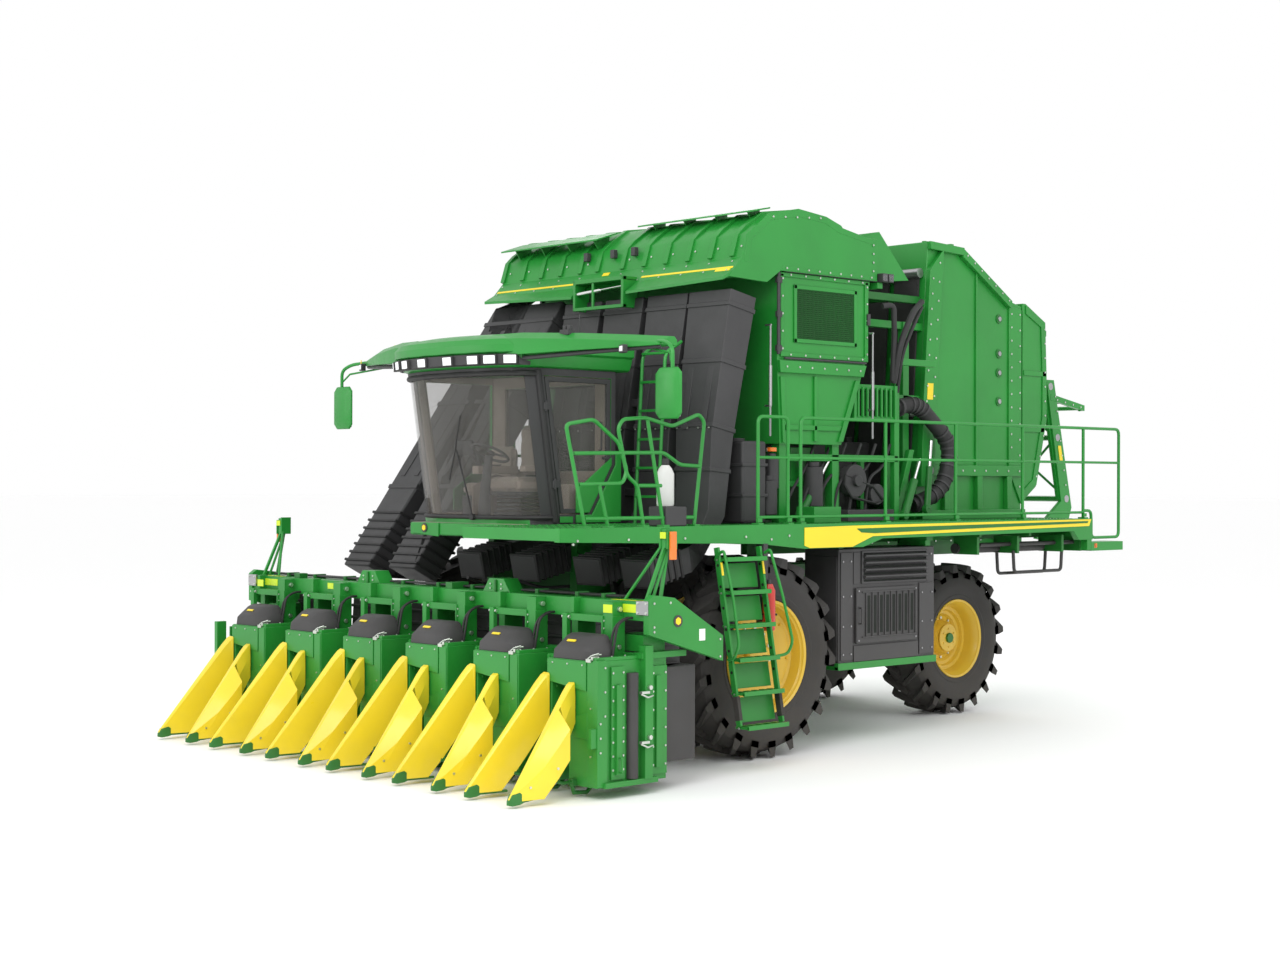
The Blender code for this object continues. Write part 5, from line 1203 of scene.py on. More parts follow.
def cushion(name, low, high, puff):
    """A soft pad: a rounded block let fill out a little under its own pressure."""
    bm = bmesh.new()
    block(bm, low, high)
    bmesh.ops.bevel(bm, geom=bm.edges[:], offset=0.035, segments=4, affect="EDGES")
    mesh = bpy.data.meshes.new(name)
    bm.to_mesh(mesh)
    bm.free()
    seed = bpy.data.objects.new(name + "_seed", mesh)
    bpy.context.scene.collection.objects.link(seed)
    grid = seed.modifiers.new("grid", "REMESH")
    grid.mode = "VOXEL"
    grid.voxel_size = 0.012
    start = bpy.data.meshes.new_from_object(seed.evaluated_get(bpy.context.evaluated_depsgraph_get()))
    seed.modifiers.remove(grid)
    seed.data = start
    rest = [v.co.copy() for v in start.vertices]
    final = start
    soft = seed.modifiers.new("soft", "CLOTH")
    soft.settings.quality = 6
    soft.settings.mass = 0.15
    soft.settings.tension_stiffness = 30
    soft.settings.compression_stiffness = 30
    soft.settings.bending_stiffness = 4
    soft.settings.use_pressure = True
    soft.settings.uniform_pressure_force = 4
    soft.settings.effector_weights.gravity = 0
    soft.collision_settings.use_collision = False
    soft.collision_settings.use_self_collision = False
    soft.point_cache.frame_start = 1
    soft.point_cache.frame_end = 20
    for moment in range(1, 21):
        bpy.context.scene.frame_set(moment)
    final = bpy.data.meshes.new_from_object(seed.evaluated_get(bpy.context.evaluated_depsgraph_get()))
    bpy.context.scene.frame_set(1)
    for vertex, before in zip(final.vertices, rest):
        shift = vertex.co - before
        if shift.length > puff:
            shift = shift.normalized() * puff
        vertex.co = before + shift
    bpy.data.objects.remove(seed, do_unlink=True)
    made = mesh_piece(name, final, "seat_cloth", "chassis", 0, 180)
    finer = made.modifiers.new("finer", "SUBSURF")
    finer.levels = 1
    finer.render_levels = 1
    return made


def cab_inside():
    seat = [cushion("seat_cushion", (-0.25, -1.44, 2.54), (0.25, -0.96, 2.68), 0.012),
            cushion("seat_backrest", (-0.235, -1.03, 2.70), (0.235, -0.93, 3.22), 0.012),
            cushion("seat_headrest", (-0.13, -1.00, 3.24), (0.13, -0.92, 3.36), 0.008),
            cushion("trainer_seat_cushion", (-0.84, -1.30, 2.50), (-0.42, -0.92, 2.62), 0.010),
            cushion("trainer_seat_back", (-0.84, -0.94, 2.62), (-0.42, -0.86, 3.02), 0.010)]
    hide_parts("operator_seat")
    bm = bmesh.new()
    block(bm, (-0.22, -1.36, 2.2405), (0.22, -1.00, 2.34))
    for z in (2.36, 2.40, 2.44, 2.48):
        block(bm, (-0.20, -1.34, z), (0.20, -1.02, z + 0.025))
    block(bm, (-0.25, -1.42, 2.51), (0.25, -0.98, 2.545))
    side_sheet(bm, [(-0.98, 2.52), (-0.90, 2.52), (-0.90, 3.18), (-0.94, 3.18)], -0.20, 0.20)
    tube(bm, [(-0.06, -0.94, 3.15), (-0.06, -0.95, 3.30)], 0.008, 8)
    tube(bm, [(0.06, -0.94, 3.15), (0.06, -0.95, 3.30)], 0.008, 8)
    block(bm, (-0.84, -1.28, 2.2405), (-0.42, -0.90, 2.50))
    piece("seat_base_and_shell", bm, "charcoal_moulding", 0.006)
    bm = bmesh.new()
    block(bm, (0.28, -1.44, 2.74), (0.36, -1.02, 2.80))
    block(bm, (-0.37, -1.52, 2.72), (-0.27, -1.00, 2.80))
    side_sheet(bm, [(-1.50, 2.2405), (-0.90, 2.2405), (-0.90, 2.66), (-1.20, 2.72), (-1.50, 2.60)],
               -0.62 + 0.22, -0.385)
    block(bm, (0.42, -1.30, 2.2405), (0.86, -0.86, 2.62))
    piece("armrests_and_boxes", bm, "cab_lining", 0.020, segments=3)
    bm = bmesh.new()
    tube(bm, [(0, -1.66, 2.2405), (0, -1.645, 2.60), (0, -1.60, 2.90)], 0.045, 16, (0.07, 0.05, 0.04))
    block(bm, (-0.12, -1.78, 2.2405), (0.12, -1.58, 2.29))
    hub = Vector((0, -1.585, 2.925))
    axis = Vector((0, 0.45, 0.9)).normalized()
    side = Vector((1, 0, 0))
    other = axis.cross(side)
    rim = [tuple(hub + (side * math.cos(a) + other * math.sin(a)) * 0.19) for a in
           (2 * math.pi * k / 32 for k in range(33))]
    tube(bm, rim, 0.014, 8)
    for a in (0.5, 2.6, 4.7):
        tube(bm, [tuple(hub), tuple(hub + (side * math.cos(a) + other * math.sin(a)) * 0.19)], 0.012, 8)
    disc(bm, tuple(hub), tuple(axis), 0.05, 0.03, 20)
    slab(bm, (-0.36, -1.62, 2.98), (0.10, 0.03, 0), (0, -0.02, 0.07), (0.003, 0.012, 0.003))
    tube(bm, [(-0.34, -1.45, 2.78), (-0.36, -1.58, 2.94)], 0.012, 8)
    tube(bm, rounded([(-0.33, -1.46, 2.80), (-0.33, -1.48, 2.86), (-0.33, -1.50, 2.92)], 0.02), 0.022, 12)
    block(bm, (-0.365, -1.42, 2.80), (-0.28, -1.22, 2.815))
    piece("steering_and_controls", bm, "charcoal_moulding", 0.003,
          replaces=("steering_console",))


# ---------------------------------------------------------------- decks, railings, ladders
def posts_and_rails(bm, radius, lines, turn=0.07):
    for line in lines:
        tube(bm, rounded(line, turn), radius, 10)


def make_decks(sizes):
    radius = sizes.rail_radius
    dressed("left_deck", "green_paint", 0.004)
    x = 2.30
    top, mid, low, foot = 3.27, 2.88, 2.31, 2.25
    bm = bmesh.new()
    posts_and_rails(bm, radius, [
        [(x, -0.18, foot), (x, -0.18, top), (x, 0.24, top), (x, 0.24, foot)],
        [(x, 0.42, foot), (x, 0.42, top), (x, 5.92, top), (x, 5.92, 2.02), (x, 5.36, 2.02), (x, 5.36, 2.33),
         (x, 5.20, 2.33)]])
    for y in (1.70, 2.85, 4.04, 5.20):
        tube(bm, [(x, y, foot), (x, y, top)], radius, 10)
    tube(bm, [(x, -0.18, mid), (x, 5.92, mid)], radius * 0.85, 10)
    tube(bm, [(x, -0.18, low), (x, 5.20, low)], radius * 0.85, 10)
    for y in (-0.18, 0.24, 0.42, 1.70, 2.85, 4.04, 5.20):
        block(bm, (x - 0.045, y - 0.035, 2.2405), (x + 0.045, y + 0.035, 2.256))
        block(bm, (x + 0.012, y - 0.03, 2.262), (x + 0.03, y + 0.03, 2.30))
    piece("left_walkway_railing", bm, "green_paint", 0, replaces=("left_railing",))
    bm = bmesh.new()
    posts_and_rails(bm, radius,
                    [[(x, -2.37, foot), (x, -2.59, 3.14), (x, -2.27, 3.19), (x, -1.97, 2.99),
                      (x, -1.87, 2.74), (x, -1.92, 2.63), (x, -2.44, 2.62)],
                     [(x, -1.67, foot), (x, -1.74, 2.61), (x, -1.87, 2.70), (x, -1.98, 3.12),
                      (x, -1.92, 3.20), (x, -1.65, 3.22), (x, -1.31, 3.15), (x, -0.97, 3.27),
                      (x, -0.90, 3.20), (x, -1.03, foot)],
                     [(x, -2.50, 2.89), (x, -1.42, 2.91), (x, -1.21, 2.80), (x, -0.95, 2.79)],
                     [(x, -1.74, 2.61), (x, -1.45, 2.61)], [(x, -2.37, 2.32), (x, -1.04, 2.32)],
                     [(x, -2.20, 2.62), (x, -2.10, foot)], [(x, -1.62, 3.20), (x, -1.42, foot)]], 0.05)
    for y in (-2.37, -2.10, -1.67, -1.42, -1.03):
        block(bm, (x - 0.045, y - 0.035, 2.2405), (x + 0.045, y + 0.035, 2.256))
    piece("front_platform_railing", bm, "green_paint", 0, replaces=("front_railing",))
    # right-hand deck and its railing
    bm = bmesh.new()
    block(bm, (-2.30, 0.48, 2.20), (-1.88, 5.31, 2.237))
    side_sheet(bm, [(0.45, 2.02), (4.95, 2.08), (5.05, 2.00), (5.32, 2.00), (5.32, 2.24), (0.45, 2.24)],
               -2.35, -2.28)
    piece("right_deck_plates", bm, "green_paint", 0.004, replaces=("right_deck",))
    bm = bmesh.new()
    posts_and_rails(bm, radius, [[(-x, 0.60, foot), (-x, 0.60, top), (-x, 5.20, top), (-x, 5.20, foot)],
                                 [(-x, 0.60, 2.94), (-x, 5.20, 2.94)], [(-x, 0.60, 2.61), (-x, 5.20, 2.61)]])
    for y in (1.70, 2.80, 3.90):
        tube(bm, [(-x, y, foot), (-x, y, top)], radius, 10)
    piece("right_walkway_railing", bm, "green_paint", 0)
    # raised tread studs on the walkways, the edge stripe with its line, and the edge bolts
    spots = [((1.94 + 0.085 * i + 0.04 * (j % 2), 0.55 + 0.12 * j, 2.239), (0, 0, 1)) for i in range(4)
             for j in range(39)]
    spots += [((1.08 + 0.10 * i + 0.05 * (j % 2), -2.58 + 0.12 * j, 2.240), (0, 0, 1)) for i in range(12)
              for j in range(17)]
    spots += [((-1.94 - 0.085 * i - 0.04 * (j % 2), 0.55 + 0.12 * j, 2.239), (0, 0, 1)) for i in range(4)
              for j in range(39)]
    heads("walkway_tread_studs", spots, "chassis", 0.014, 0.006, 4, "green_paint")
    for name, side in (("left", 1), ("right", -1)):
        xs = sorted((side * 2.351, side * 2.357))
        bm = bmesh.new()
        side_sheet(bm, [(0.42, 2.205), (0.42, 2.03), (0.50, 2.005), (1.13, 2.005), (1.44, 2.105),
                        (5.24, 2.155), (5.28, 2.232), (1.16, 2.215)], *xs)
        piece(f"{name}_deck_stripe", bm, "stripe_yellow", 0.001)
        xs = sorted((side * 2.357, side * 2.361))
        bm = bmesh.new()
        side_sheet(bm, [(1.19, 2.185), (5.22, 2.212), (5.20, 2.19), (1.47, 2.135), (1.26, 2.145)], *xs)
        piece(f"{name}_deck_stripe_line", bm, "green_painted_shade", 0)
    spots = [((2.356, y, 2.13), (1, 0, 0)) for y in (-2.5, -1.9, -1.2, -0.4, 0.2)]
    spots += [((2.356, y, 2.10), (1, 0, 0)) for y in (-2.55, -0.05)]
    heads("deck_edge_bolts", spots, "chassis", 0.012, 0.010)
    # pipe roller, fold step and brackets under the rear of the left deck
    bm = bmesh.new()
    tube(bm, [(1.98, 3.25, 1.93), (1.98, 5.30, 1.93)], 0.055, 20)
    tube(bm, [(2.16, 3.45, 1.97), (2.16, 5.30, 1.97)], 0.022, 12)
    tube(bm, rounded([(2.22, 3.98, 1.90), (2.22, 4.00, 1.66), (2.22, 4.88, 1.66), (2.22, 4.90, 1.90)],
                     0.05), 0.018, 10)
    tube(bm, rounded([(2.00, 3.98, 1.88), (2.00, 4.00, 1.64), (2.00, 4.88, 1.64), (2.00, 4.90, 1.88)],
                     0.05), 0.018, 10)
    for y in (4.15, 4.30, 4.45, 4.60, 4.75):
        tube(bm, [(2.00, y, 1.64), (2.22, y, 1.66)], 0.012, 8)
    piece("fold_step_and_roller", bm, "dark_iron", 0)
    bm = bmesh.new()
    for y in (3.30, 4.02, 4.86, 5.22):
        block(bm, (1.94, y - 0.02, 1.87), (2.26, y + 0.02, 2.06))
    for y in (0.62, 1.5, 2.4, 3.3, 4.2, 5.1):
        block(bm, (1.90, y - 0.02, 2.06), (2.29, y + 0.02, 2.20))
        block(bm, (-2.29, y - 0.02, 2.06), (-1.90, y + 0.02, 2.20))
    # bearers under the decks in painted shade: the darkened copy of the body green
    piece("deck_bearers", bm, "green_painted_shade", 0.003)
    bm = bmesh.new()
    block(bm, (2.31, 5.355, 1.90), (2.346, 5.42, 1.96))
    piece("rear_deck_reflector", bm, "amber_lens", 0.004)
    # cab platform's far side and inner ends, black box and bottle
    bm = bmesh.new()
    block(bm, (2.10, -1.42, 2.2405), (2.34, -1.16, 2.42))
    tube(bm, [(1.97, -1.08, 2.80), (1.97, -1.08, 2.86)], 0.035, 16)
    block(bm, (1.90, -1.16, 2.2405), (2.06, -1.00, 2.42))
    piece("deck_box_and_bracket", bm, "charcoal_moulding", 0.012)
    bm = bmesh.new()
    tube(bm, [(1.97, -1.08, 2.42), (1.97, -1.08, 2.44), (1.97, -1.08, 2.72), (1.97, -1.08, 2.77),
              (1.97, -1.08, 2.80)], 0.08, 24, (0.075, 0.082, 0.082, 0.06, 0.035))
    piece("white_canister", bm, "white_moulding", 0.002)


def make_ladders():
    # boarding ladder: stringers with lightening holes, closed treads, handrails
    top, foot = Vector((2.42, 0, 2.04)), Vector((2.72, 0, 0.42))
    middle, half = -0.575, 0.28
    along = (foot - top).normalized()
    out = Vector((-along.z, 0, along.x))
    if out.x < 0:
        out = -out
    bm = bmesh.new()
    for y in (middle - half, middle + half):
        centre = (top + foot) / 2
        slab(bm, (centre.x, y, centre.z), tuple(along * ((foot - top).length / 2)), (0, 0.013, 0),
             tuple(out * 0.028))
    for step in range(6):
        place = top.lerp(foot, 0.06 + 0.94 * step / 5)
        block(bm, (place.x - 0.065, middle - half + 0.012, place.z - 0.024),
              (place.x + 0.105, middle + half - 0.012, place.z - 0.004))
        block(bm, (place.x + 0.085, middle - half + 0.012, place.z - 0.030),
              (place.x + 0.108, middle + half - 0.012, place.z + 0.010))
        if step < 5:
            back = top.lerp(foot, 0.06 + 0.94 * (step + 0.55) / 5)
            slab(bm, (back.x - 0.060, middle, back.z + 0.0), (0, half - 0.016, 0), tuple(along * 0.115),
                 tuple(out * 0.003))
    piece("boarding_ladder", bm, "green_paint", 0.003, "ladder", replaces=("ladder",))
    bm = bmesh.new()
    for y in (middle - half - 0.03, middle + half + 0.03):
        drift = 0.10 if y > middle else 0.0
        path = [(2.47, y, 1.98), (2.54, y, 2.02), (2.66, y + drift * 0.4, 1.60), (2.74, y + drift, 1.16),
                (2.68, y + drift, 1.04), (2.62, y, 1.02)]
        tube(bm, rounded(path, 0.05), 0.014, 10)
    piece("boarding_handrails", bm, "green_paint", 0, "ladder")
    bm = bmesh.new()
    for step in range(6):
        place = top.lerp(foot, 0.06 + 0.94 * step / 5)
        for k in range(5):
            y = middle - 0.21 + 0.105 * k
            block(bm, (place.x - 0.04, y - 0.032, place.z - 0.003),
                  (place.x + 0.07, y + 0.032, place.z + 0.004))
    piece("boarding_tread_grips", bm, "green_painted_shade", 0, "ladder")
    bm = bmesh.new()
    for y in (middle - half - 0.002, middle + half - 0.010):
        place = top.lerp(foot, 0.12)
        slab(bm, (place.x + 0.032, y + 0.006, place.z), tuple(along * 0.06), (0, 0.012, 0), (0.003, 0, 0))
    piece("boarding_ladder_marks", bm, "stripe_yellow", 0, "ladder")
    bm = bmesh.new()
    for share in (0.10, 0.22, 0.34, 0.46, 0.58, 0.70):
        place = top.lerp(foot, share)
        for y in (middle - half, middle + half):
            disc(bm, (place.x, y, place.z), (0, 1, 0), 0.014, 0.032, 14)
    piece("boarding_ladder_holes", bm, "deep_shadow", 0, "ladder")
    bm = bmesh.new()
    place = top.lerp(foot, 0.90)
    for y in (middle - half, middle + half):
        slab(bm, (place.x + 0.002, y, place.z), tuple(along * 0.11), (0, 0.020, 0), tuple(out * 0.032))
    piece("boarding_ladder_straps", bm, "black_rubber", 0.004, "ladder")
    spots = []
    for step in range(6):
        place = top.lerp(foot, 0.06 + 0.94 * step / 5)
        for y, side in ((middle - half - 0.014, -1), (middle + half + 0.014, 1)):
            spots.append(((place.x, y, place.z - 0.015), (0, side, 0)))
    heads("boarding_ladder_bolts", spots, "ladder", 0.010, 0.008)
    # roof ladder
    bm = bmesh.new()
    for x in (1.06, 1.38):
        tube(bm, rounded([(x, -0.62, 2.2405), (x, -0.52, 3.90), (x, -0.30, 4.02)], 0.08), 0.017, 10)
    for step in range(6):
        z = 2.50 + 0.28 * step
        y = -0.62 + 0.10 * (z - 2.24) / 1.74
        block(bm, (1.07, y - 0.02, z - 0.012), (1.37, y + 0.02, z + 0.012))
    piece("roof_access_ladder", bm, "green_paint", 0.002, replaces=("roof_ladder",))


# ---------------------------------------------------------------- ducts
def flange(bm, path, share, width, depth, thick, grow):
    """A raised band round a duct, part of the way along a straight run."""
    start, end = Vector(path[0]), Vector(path[1])
    along = (end - start)
    flat = Vector((0, along.y, along.z)).normalized()
    across = Vector((0, flat.z, -flat.y))
    centre = start.lerp(end, share)
    w = (width[0] + (width[1] - width[0]) * share) / 2 + grow
    d = (depth[0] + (depth[1] - depth[0]) * share) / 2 + grow
    slab(bm, tuple(centre), (w, 0, 0), tuple(across * d), tuple(flat * thick / 2))


def make_ducts():
    dressed("right_ducts", "charcoal_moulding", 0.020, segments=3)
    dressed("left_ducts", "charcoal_moulding", 0.020, segments=3)
    bm = bmesh.new()
    ribs = bmesh.new()
    for low_x, high_x in ((-2.36, -1.53), (-1.54, -0.97)):
        path = [(low_x, -1.40, 1.66), (high_x, 0.10, 4.49)]
        for share in (0.30, 0.62, 0.93):
            flange(bm, path, share, (0.46, 0.585), (0.34, 0.36), 0.05, 0.010)
        for k in range(7):
            flange(ribs, path, 0.02 + 0.030 * k, (0.46, 0.585), (0.34, 0.36), 0.026, 0.016)
    for mid_x, high_x in ((-0.33, -0.33), (0.33, 0.31), (0.98, 0.95), (1.58, 1.55)):
        path = [(mid_x, -0.18, 3.10), (high_x, 0.10, 4.49)]
        for share in (0.05, 0.50, 0.90):
            flange(bm, path, share, (0.50, 0.58), (0.30, 0.36), 0.045, 0.010)
        low = [(mid_x, -0.24, 2.34), (mid_x, -0.18, 3.10)]
        flange(bm, low, 0.55, (0.46, 0.50), (0.24, 0.30), 0.04, 0.010)
    for low_x in (-0.42, 0.42, 1.36, 2.02):
        for k in range(6):
            y = -1.48 + 0.075 * k
            z = 1.80 + 0.125 * (y + 1.50) / 0.52
            slab(ribs, (low_x, y, z), (0.196, 0, 0), (0, -0.03, 0.134), (0, 0.013, 0.003))
    piece("duct_bands", bm, "charcoal_moulding", 0.006)
    piece("duct_bellows", ribs, "hose_rubber", 0.005)
    # long pressed grooves down the faces
    bm = bmesh.new()
    for x0, x1 in ((0.98, 0.95), (1.58, 1.55), (0.33, 0.31), (-0.33, -0.33)):
        for dx in (-0.13, 0.13):
            a, b = Vector((x0 + dx, -0.335, 3.16)), Vector((x1 + dx * 1.1, -0.085, 4.34))
            slab(bm, tuple((a + b) / 2), tuple((b - a) / 2), (0.035, 0, 0), (0, -0.006, 0.0012))
    for (ax, bx) in ((-2.36, -1.53), (-1.54, -0.97)):
        a, b = Vector((ax, -1.40, 1.66)), Vector((bx, 0.10, 4.49))
        flat = Vector((0, 1.5, 2.83)).normalized()
        off = Vector((0, flat.z, -flat.y)) * -0.176
        start, end = a.lerp(b, 0.34) + off, a.lerp(b, 0.90) + off
        for dx in (-0.12, 0.12):
            slab(bm, tuple((start + end) / 2 + Vector((dx, 0, 0))), tuple((end - start) / 2), (0.035, 0, 0),
                 tuple(off * 0.035))
    piece("duct_pressings", bm, "charcoal_moulding", 0.004)
    spots = []
    for x in (0.33, 0.98, 1.58, -0.33):
        spots += line_spots((x - 0.22, -0.34, 3.17), (x + 0.22, -0.34, 3.17), 4, (0, -1, 0.2))
    heads("duct_bolts", spots, "chassis", 0.009, 0.008)


# ---------------------------------------------------------------- accumulator


def make_accumulator():
    dressed("accumulator_hood", "green_paint", 0.008, segments=3)
    dressed("accumulator_body", "green_paint", 0.006)
    # curved ribs on the hood, and its side frames
    bm = bmesh.new()
    for x in (-1.835, -1.50, -1.18, -0.86, -0.54, -0.26, 0.13, 0.46, 0.78, 1.10, 1.42, 1.72):
        wide = 0.030
        outer = [(0.040, 4.86), (0.110, 5.075), (0.205, 5.165), (0.455, 5.330), (0.87, 5.388),
                 (1.20, 5.372)]
        inner = [(1.20, 5.33), (0.87, 5.34), (0.47, 5.27), (0.23, 5.10), (0.16, 5.02), (0.09, 4.84)]
        side_sheet(bm, outer + inner, x - wide, x + wide)
    for x in (-1.853, 1.847):
        side_sheet(bm, [(0.10, 4.80), (0.16, 4.80), (0.20, 5.03), (0.48, 5.24), (0.88, 5.31), (1.28, 5.28),
                        (1.50, 5.20), (2.06, 5.12), (2.06, 5.17), (1.53, 5.26), (1.30, 5.335),
                        (0.88, 5.372), (0.45, 5.295), (0.14, 5.075)], x, x + 0.006)
        side_sheet(bm, [(0.64, 4.76), (2.06, 4.76), (2.06, 4.80), (0.64, 4.80)], x, x + 0.006)
    # folded lips under the front, rising to the sides
    for low_x, high_x in ((-1.845, -0.34), (0.50, 1.845)):
        rings = []
        for x in (low_x, high_x):
            outward = abs(x) > 1.0
            y = -0.20 if outward else -0.24
            z = 4.60 if outward else 4.55
            rings.append([here(x, 0.00, 4.74), here(x, y, z + 0.03), here(x, y, z), here(x, 0.03, 4.70)])
        ring_faces(bm, rings)
    for x in (-1.84, -1.2, -0.72, 0.90, 1.5, 1.80):
        side_sheet(bm, [(0.02, 4.75), (-0.16, 4.61), (0.02, 4.70)], x - 0.006, x + 0.006)
    piece("hood_ribs_and_lips", bm, "green_paint", 0.006)
    # visor plates over the hood on their brackets
    bm = bmesh.new()
    for low_x, high_x, near, far in ((-1.84, -0.24, (0.03, 5.20), (0.34, 5.30)),
                                     (0.10, 1.76, (0.30, 5.33), (0.56, 5.385))):
        side_sheet(bm, [near, far, (far[0], far[1] - 0.016), (near[0], near[1] - 0.016)], low_x, high_x)
        for k in range(4):
            x = low_x + 0.15 + (high_x - low_x - 0.30) * k / 3
            side_sheet(bm, [(near[0] + 0.08, near[1] + 0.010), (far[0], far[1] - 0.01),
                            (far[0], far[1] - 0.10), (near[0] + 0.16, near[1] - 0.10)], x - 0.008, x + 0.008)
    piece("hood_visors", bm, "green_paint", 0.002)
    # centre box frame with its rod
    bm = bmesh.new()
    for x in (-0.30, 0.44):
        block(bm, (x, -0.25, 4.42), (x + 0.035, -0.05, 4.74))
    block(bm, (-0.30, -0.25, 4.70), (0.475, -0.20, 4.74))
    block(bm, (-0.30, -0.25, 4.42), (0.475, -0.20, 4.455))
    block(bm, (-0.30, -0.20, 4.70), (0.475, -0.02, 4.715))
    block(bm, (-0.02, -0.24, 4.43), (0.01, -0.22, 4.72))
    piece("hood_centre_frame", bm, "green_paint", 0.004)
    bm = bmesh.new()
    tube(bm, [(-0.26, -0.215, 4.60), (0.43, -0.215, 4.64)], 0.012, 10)
    tube(bm, [(-0.26, -0.215, 4.60), (0.10, -0.215, 4.62)], 0.022, 12)
    piece("hood_centre_rod", bm, "chromed_rod", 0)
    bm = bmesh.new()
    for x in (-0.44, -0.02, 0.30):
        block(bm, (x - 0.03, 0.045, 4.98), (x + 0.03, 0.10, 5.07))
    tube(bm, [(0.72, 0.86, 5.34), (0.72, 0.86, 5.378)], 0.05, 20)
    block(bm, (0.66, 0.80, 5.33), (0.78, 0.92, 5.352))
    piece("hood_latches_and_beacon", bm, "charcoal_moulding", 0.006)
    bm = bmesh.new()
    for low_x, high_x in ((-1.82, -0.36), (0.52, 1.82)):
        slab(bm, ((low_x + high_x) / 2, -0.033, 4.735), ((high_x - low_x) / 2, 0, 0), (0, 0.0085, 0.0095),
             (0, -0.003, 0.003))
    slab(bm, (1.70, -0.045, 4.722), (0.10, 0, 0), (0, 0.02, 0.022), (0, -0.004, 0.004))
    slab(bm, (-0.10, 0.038, 4.815), (0.05, 0, 0), (0, 0.015, 0.017), (0, -0.004, 0.003))
    piece("hood_marks", bm, "stripe_yellow", 0)
    spots = []
    for x in (-1.80, -1.48, -1.16, -0.84, -0.5, 0.15, 0.48, 0.80, 1.12, 1.44, 1.76):
        for y, z in ((0.02, 4.80), (-0.06, 4.71)):
            spots.append(((x, y, z), (0, -0.74, 0.67)))
        spots.append(((x + 0.06, 0.088, 4.95), (0, -0.95, 0.3)))
    heads("hood_bolts", spots, "chassis", 0.011, 0.010, look="zinc_bolts")
    for name, side in (("left", 1), ("right", -1)):
        accumulator_side(name, side)
    under_accumulator()


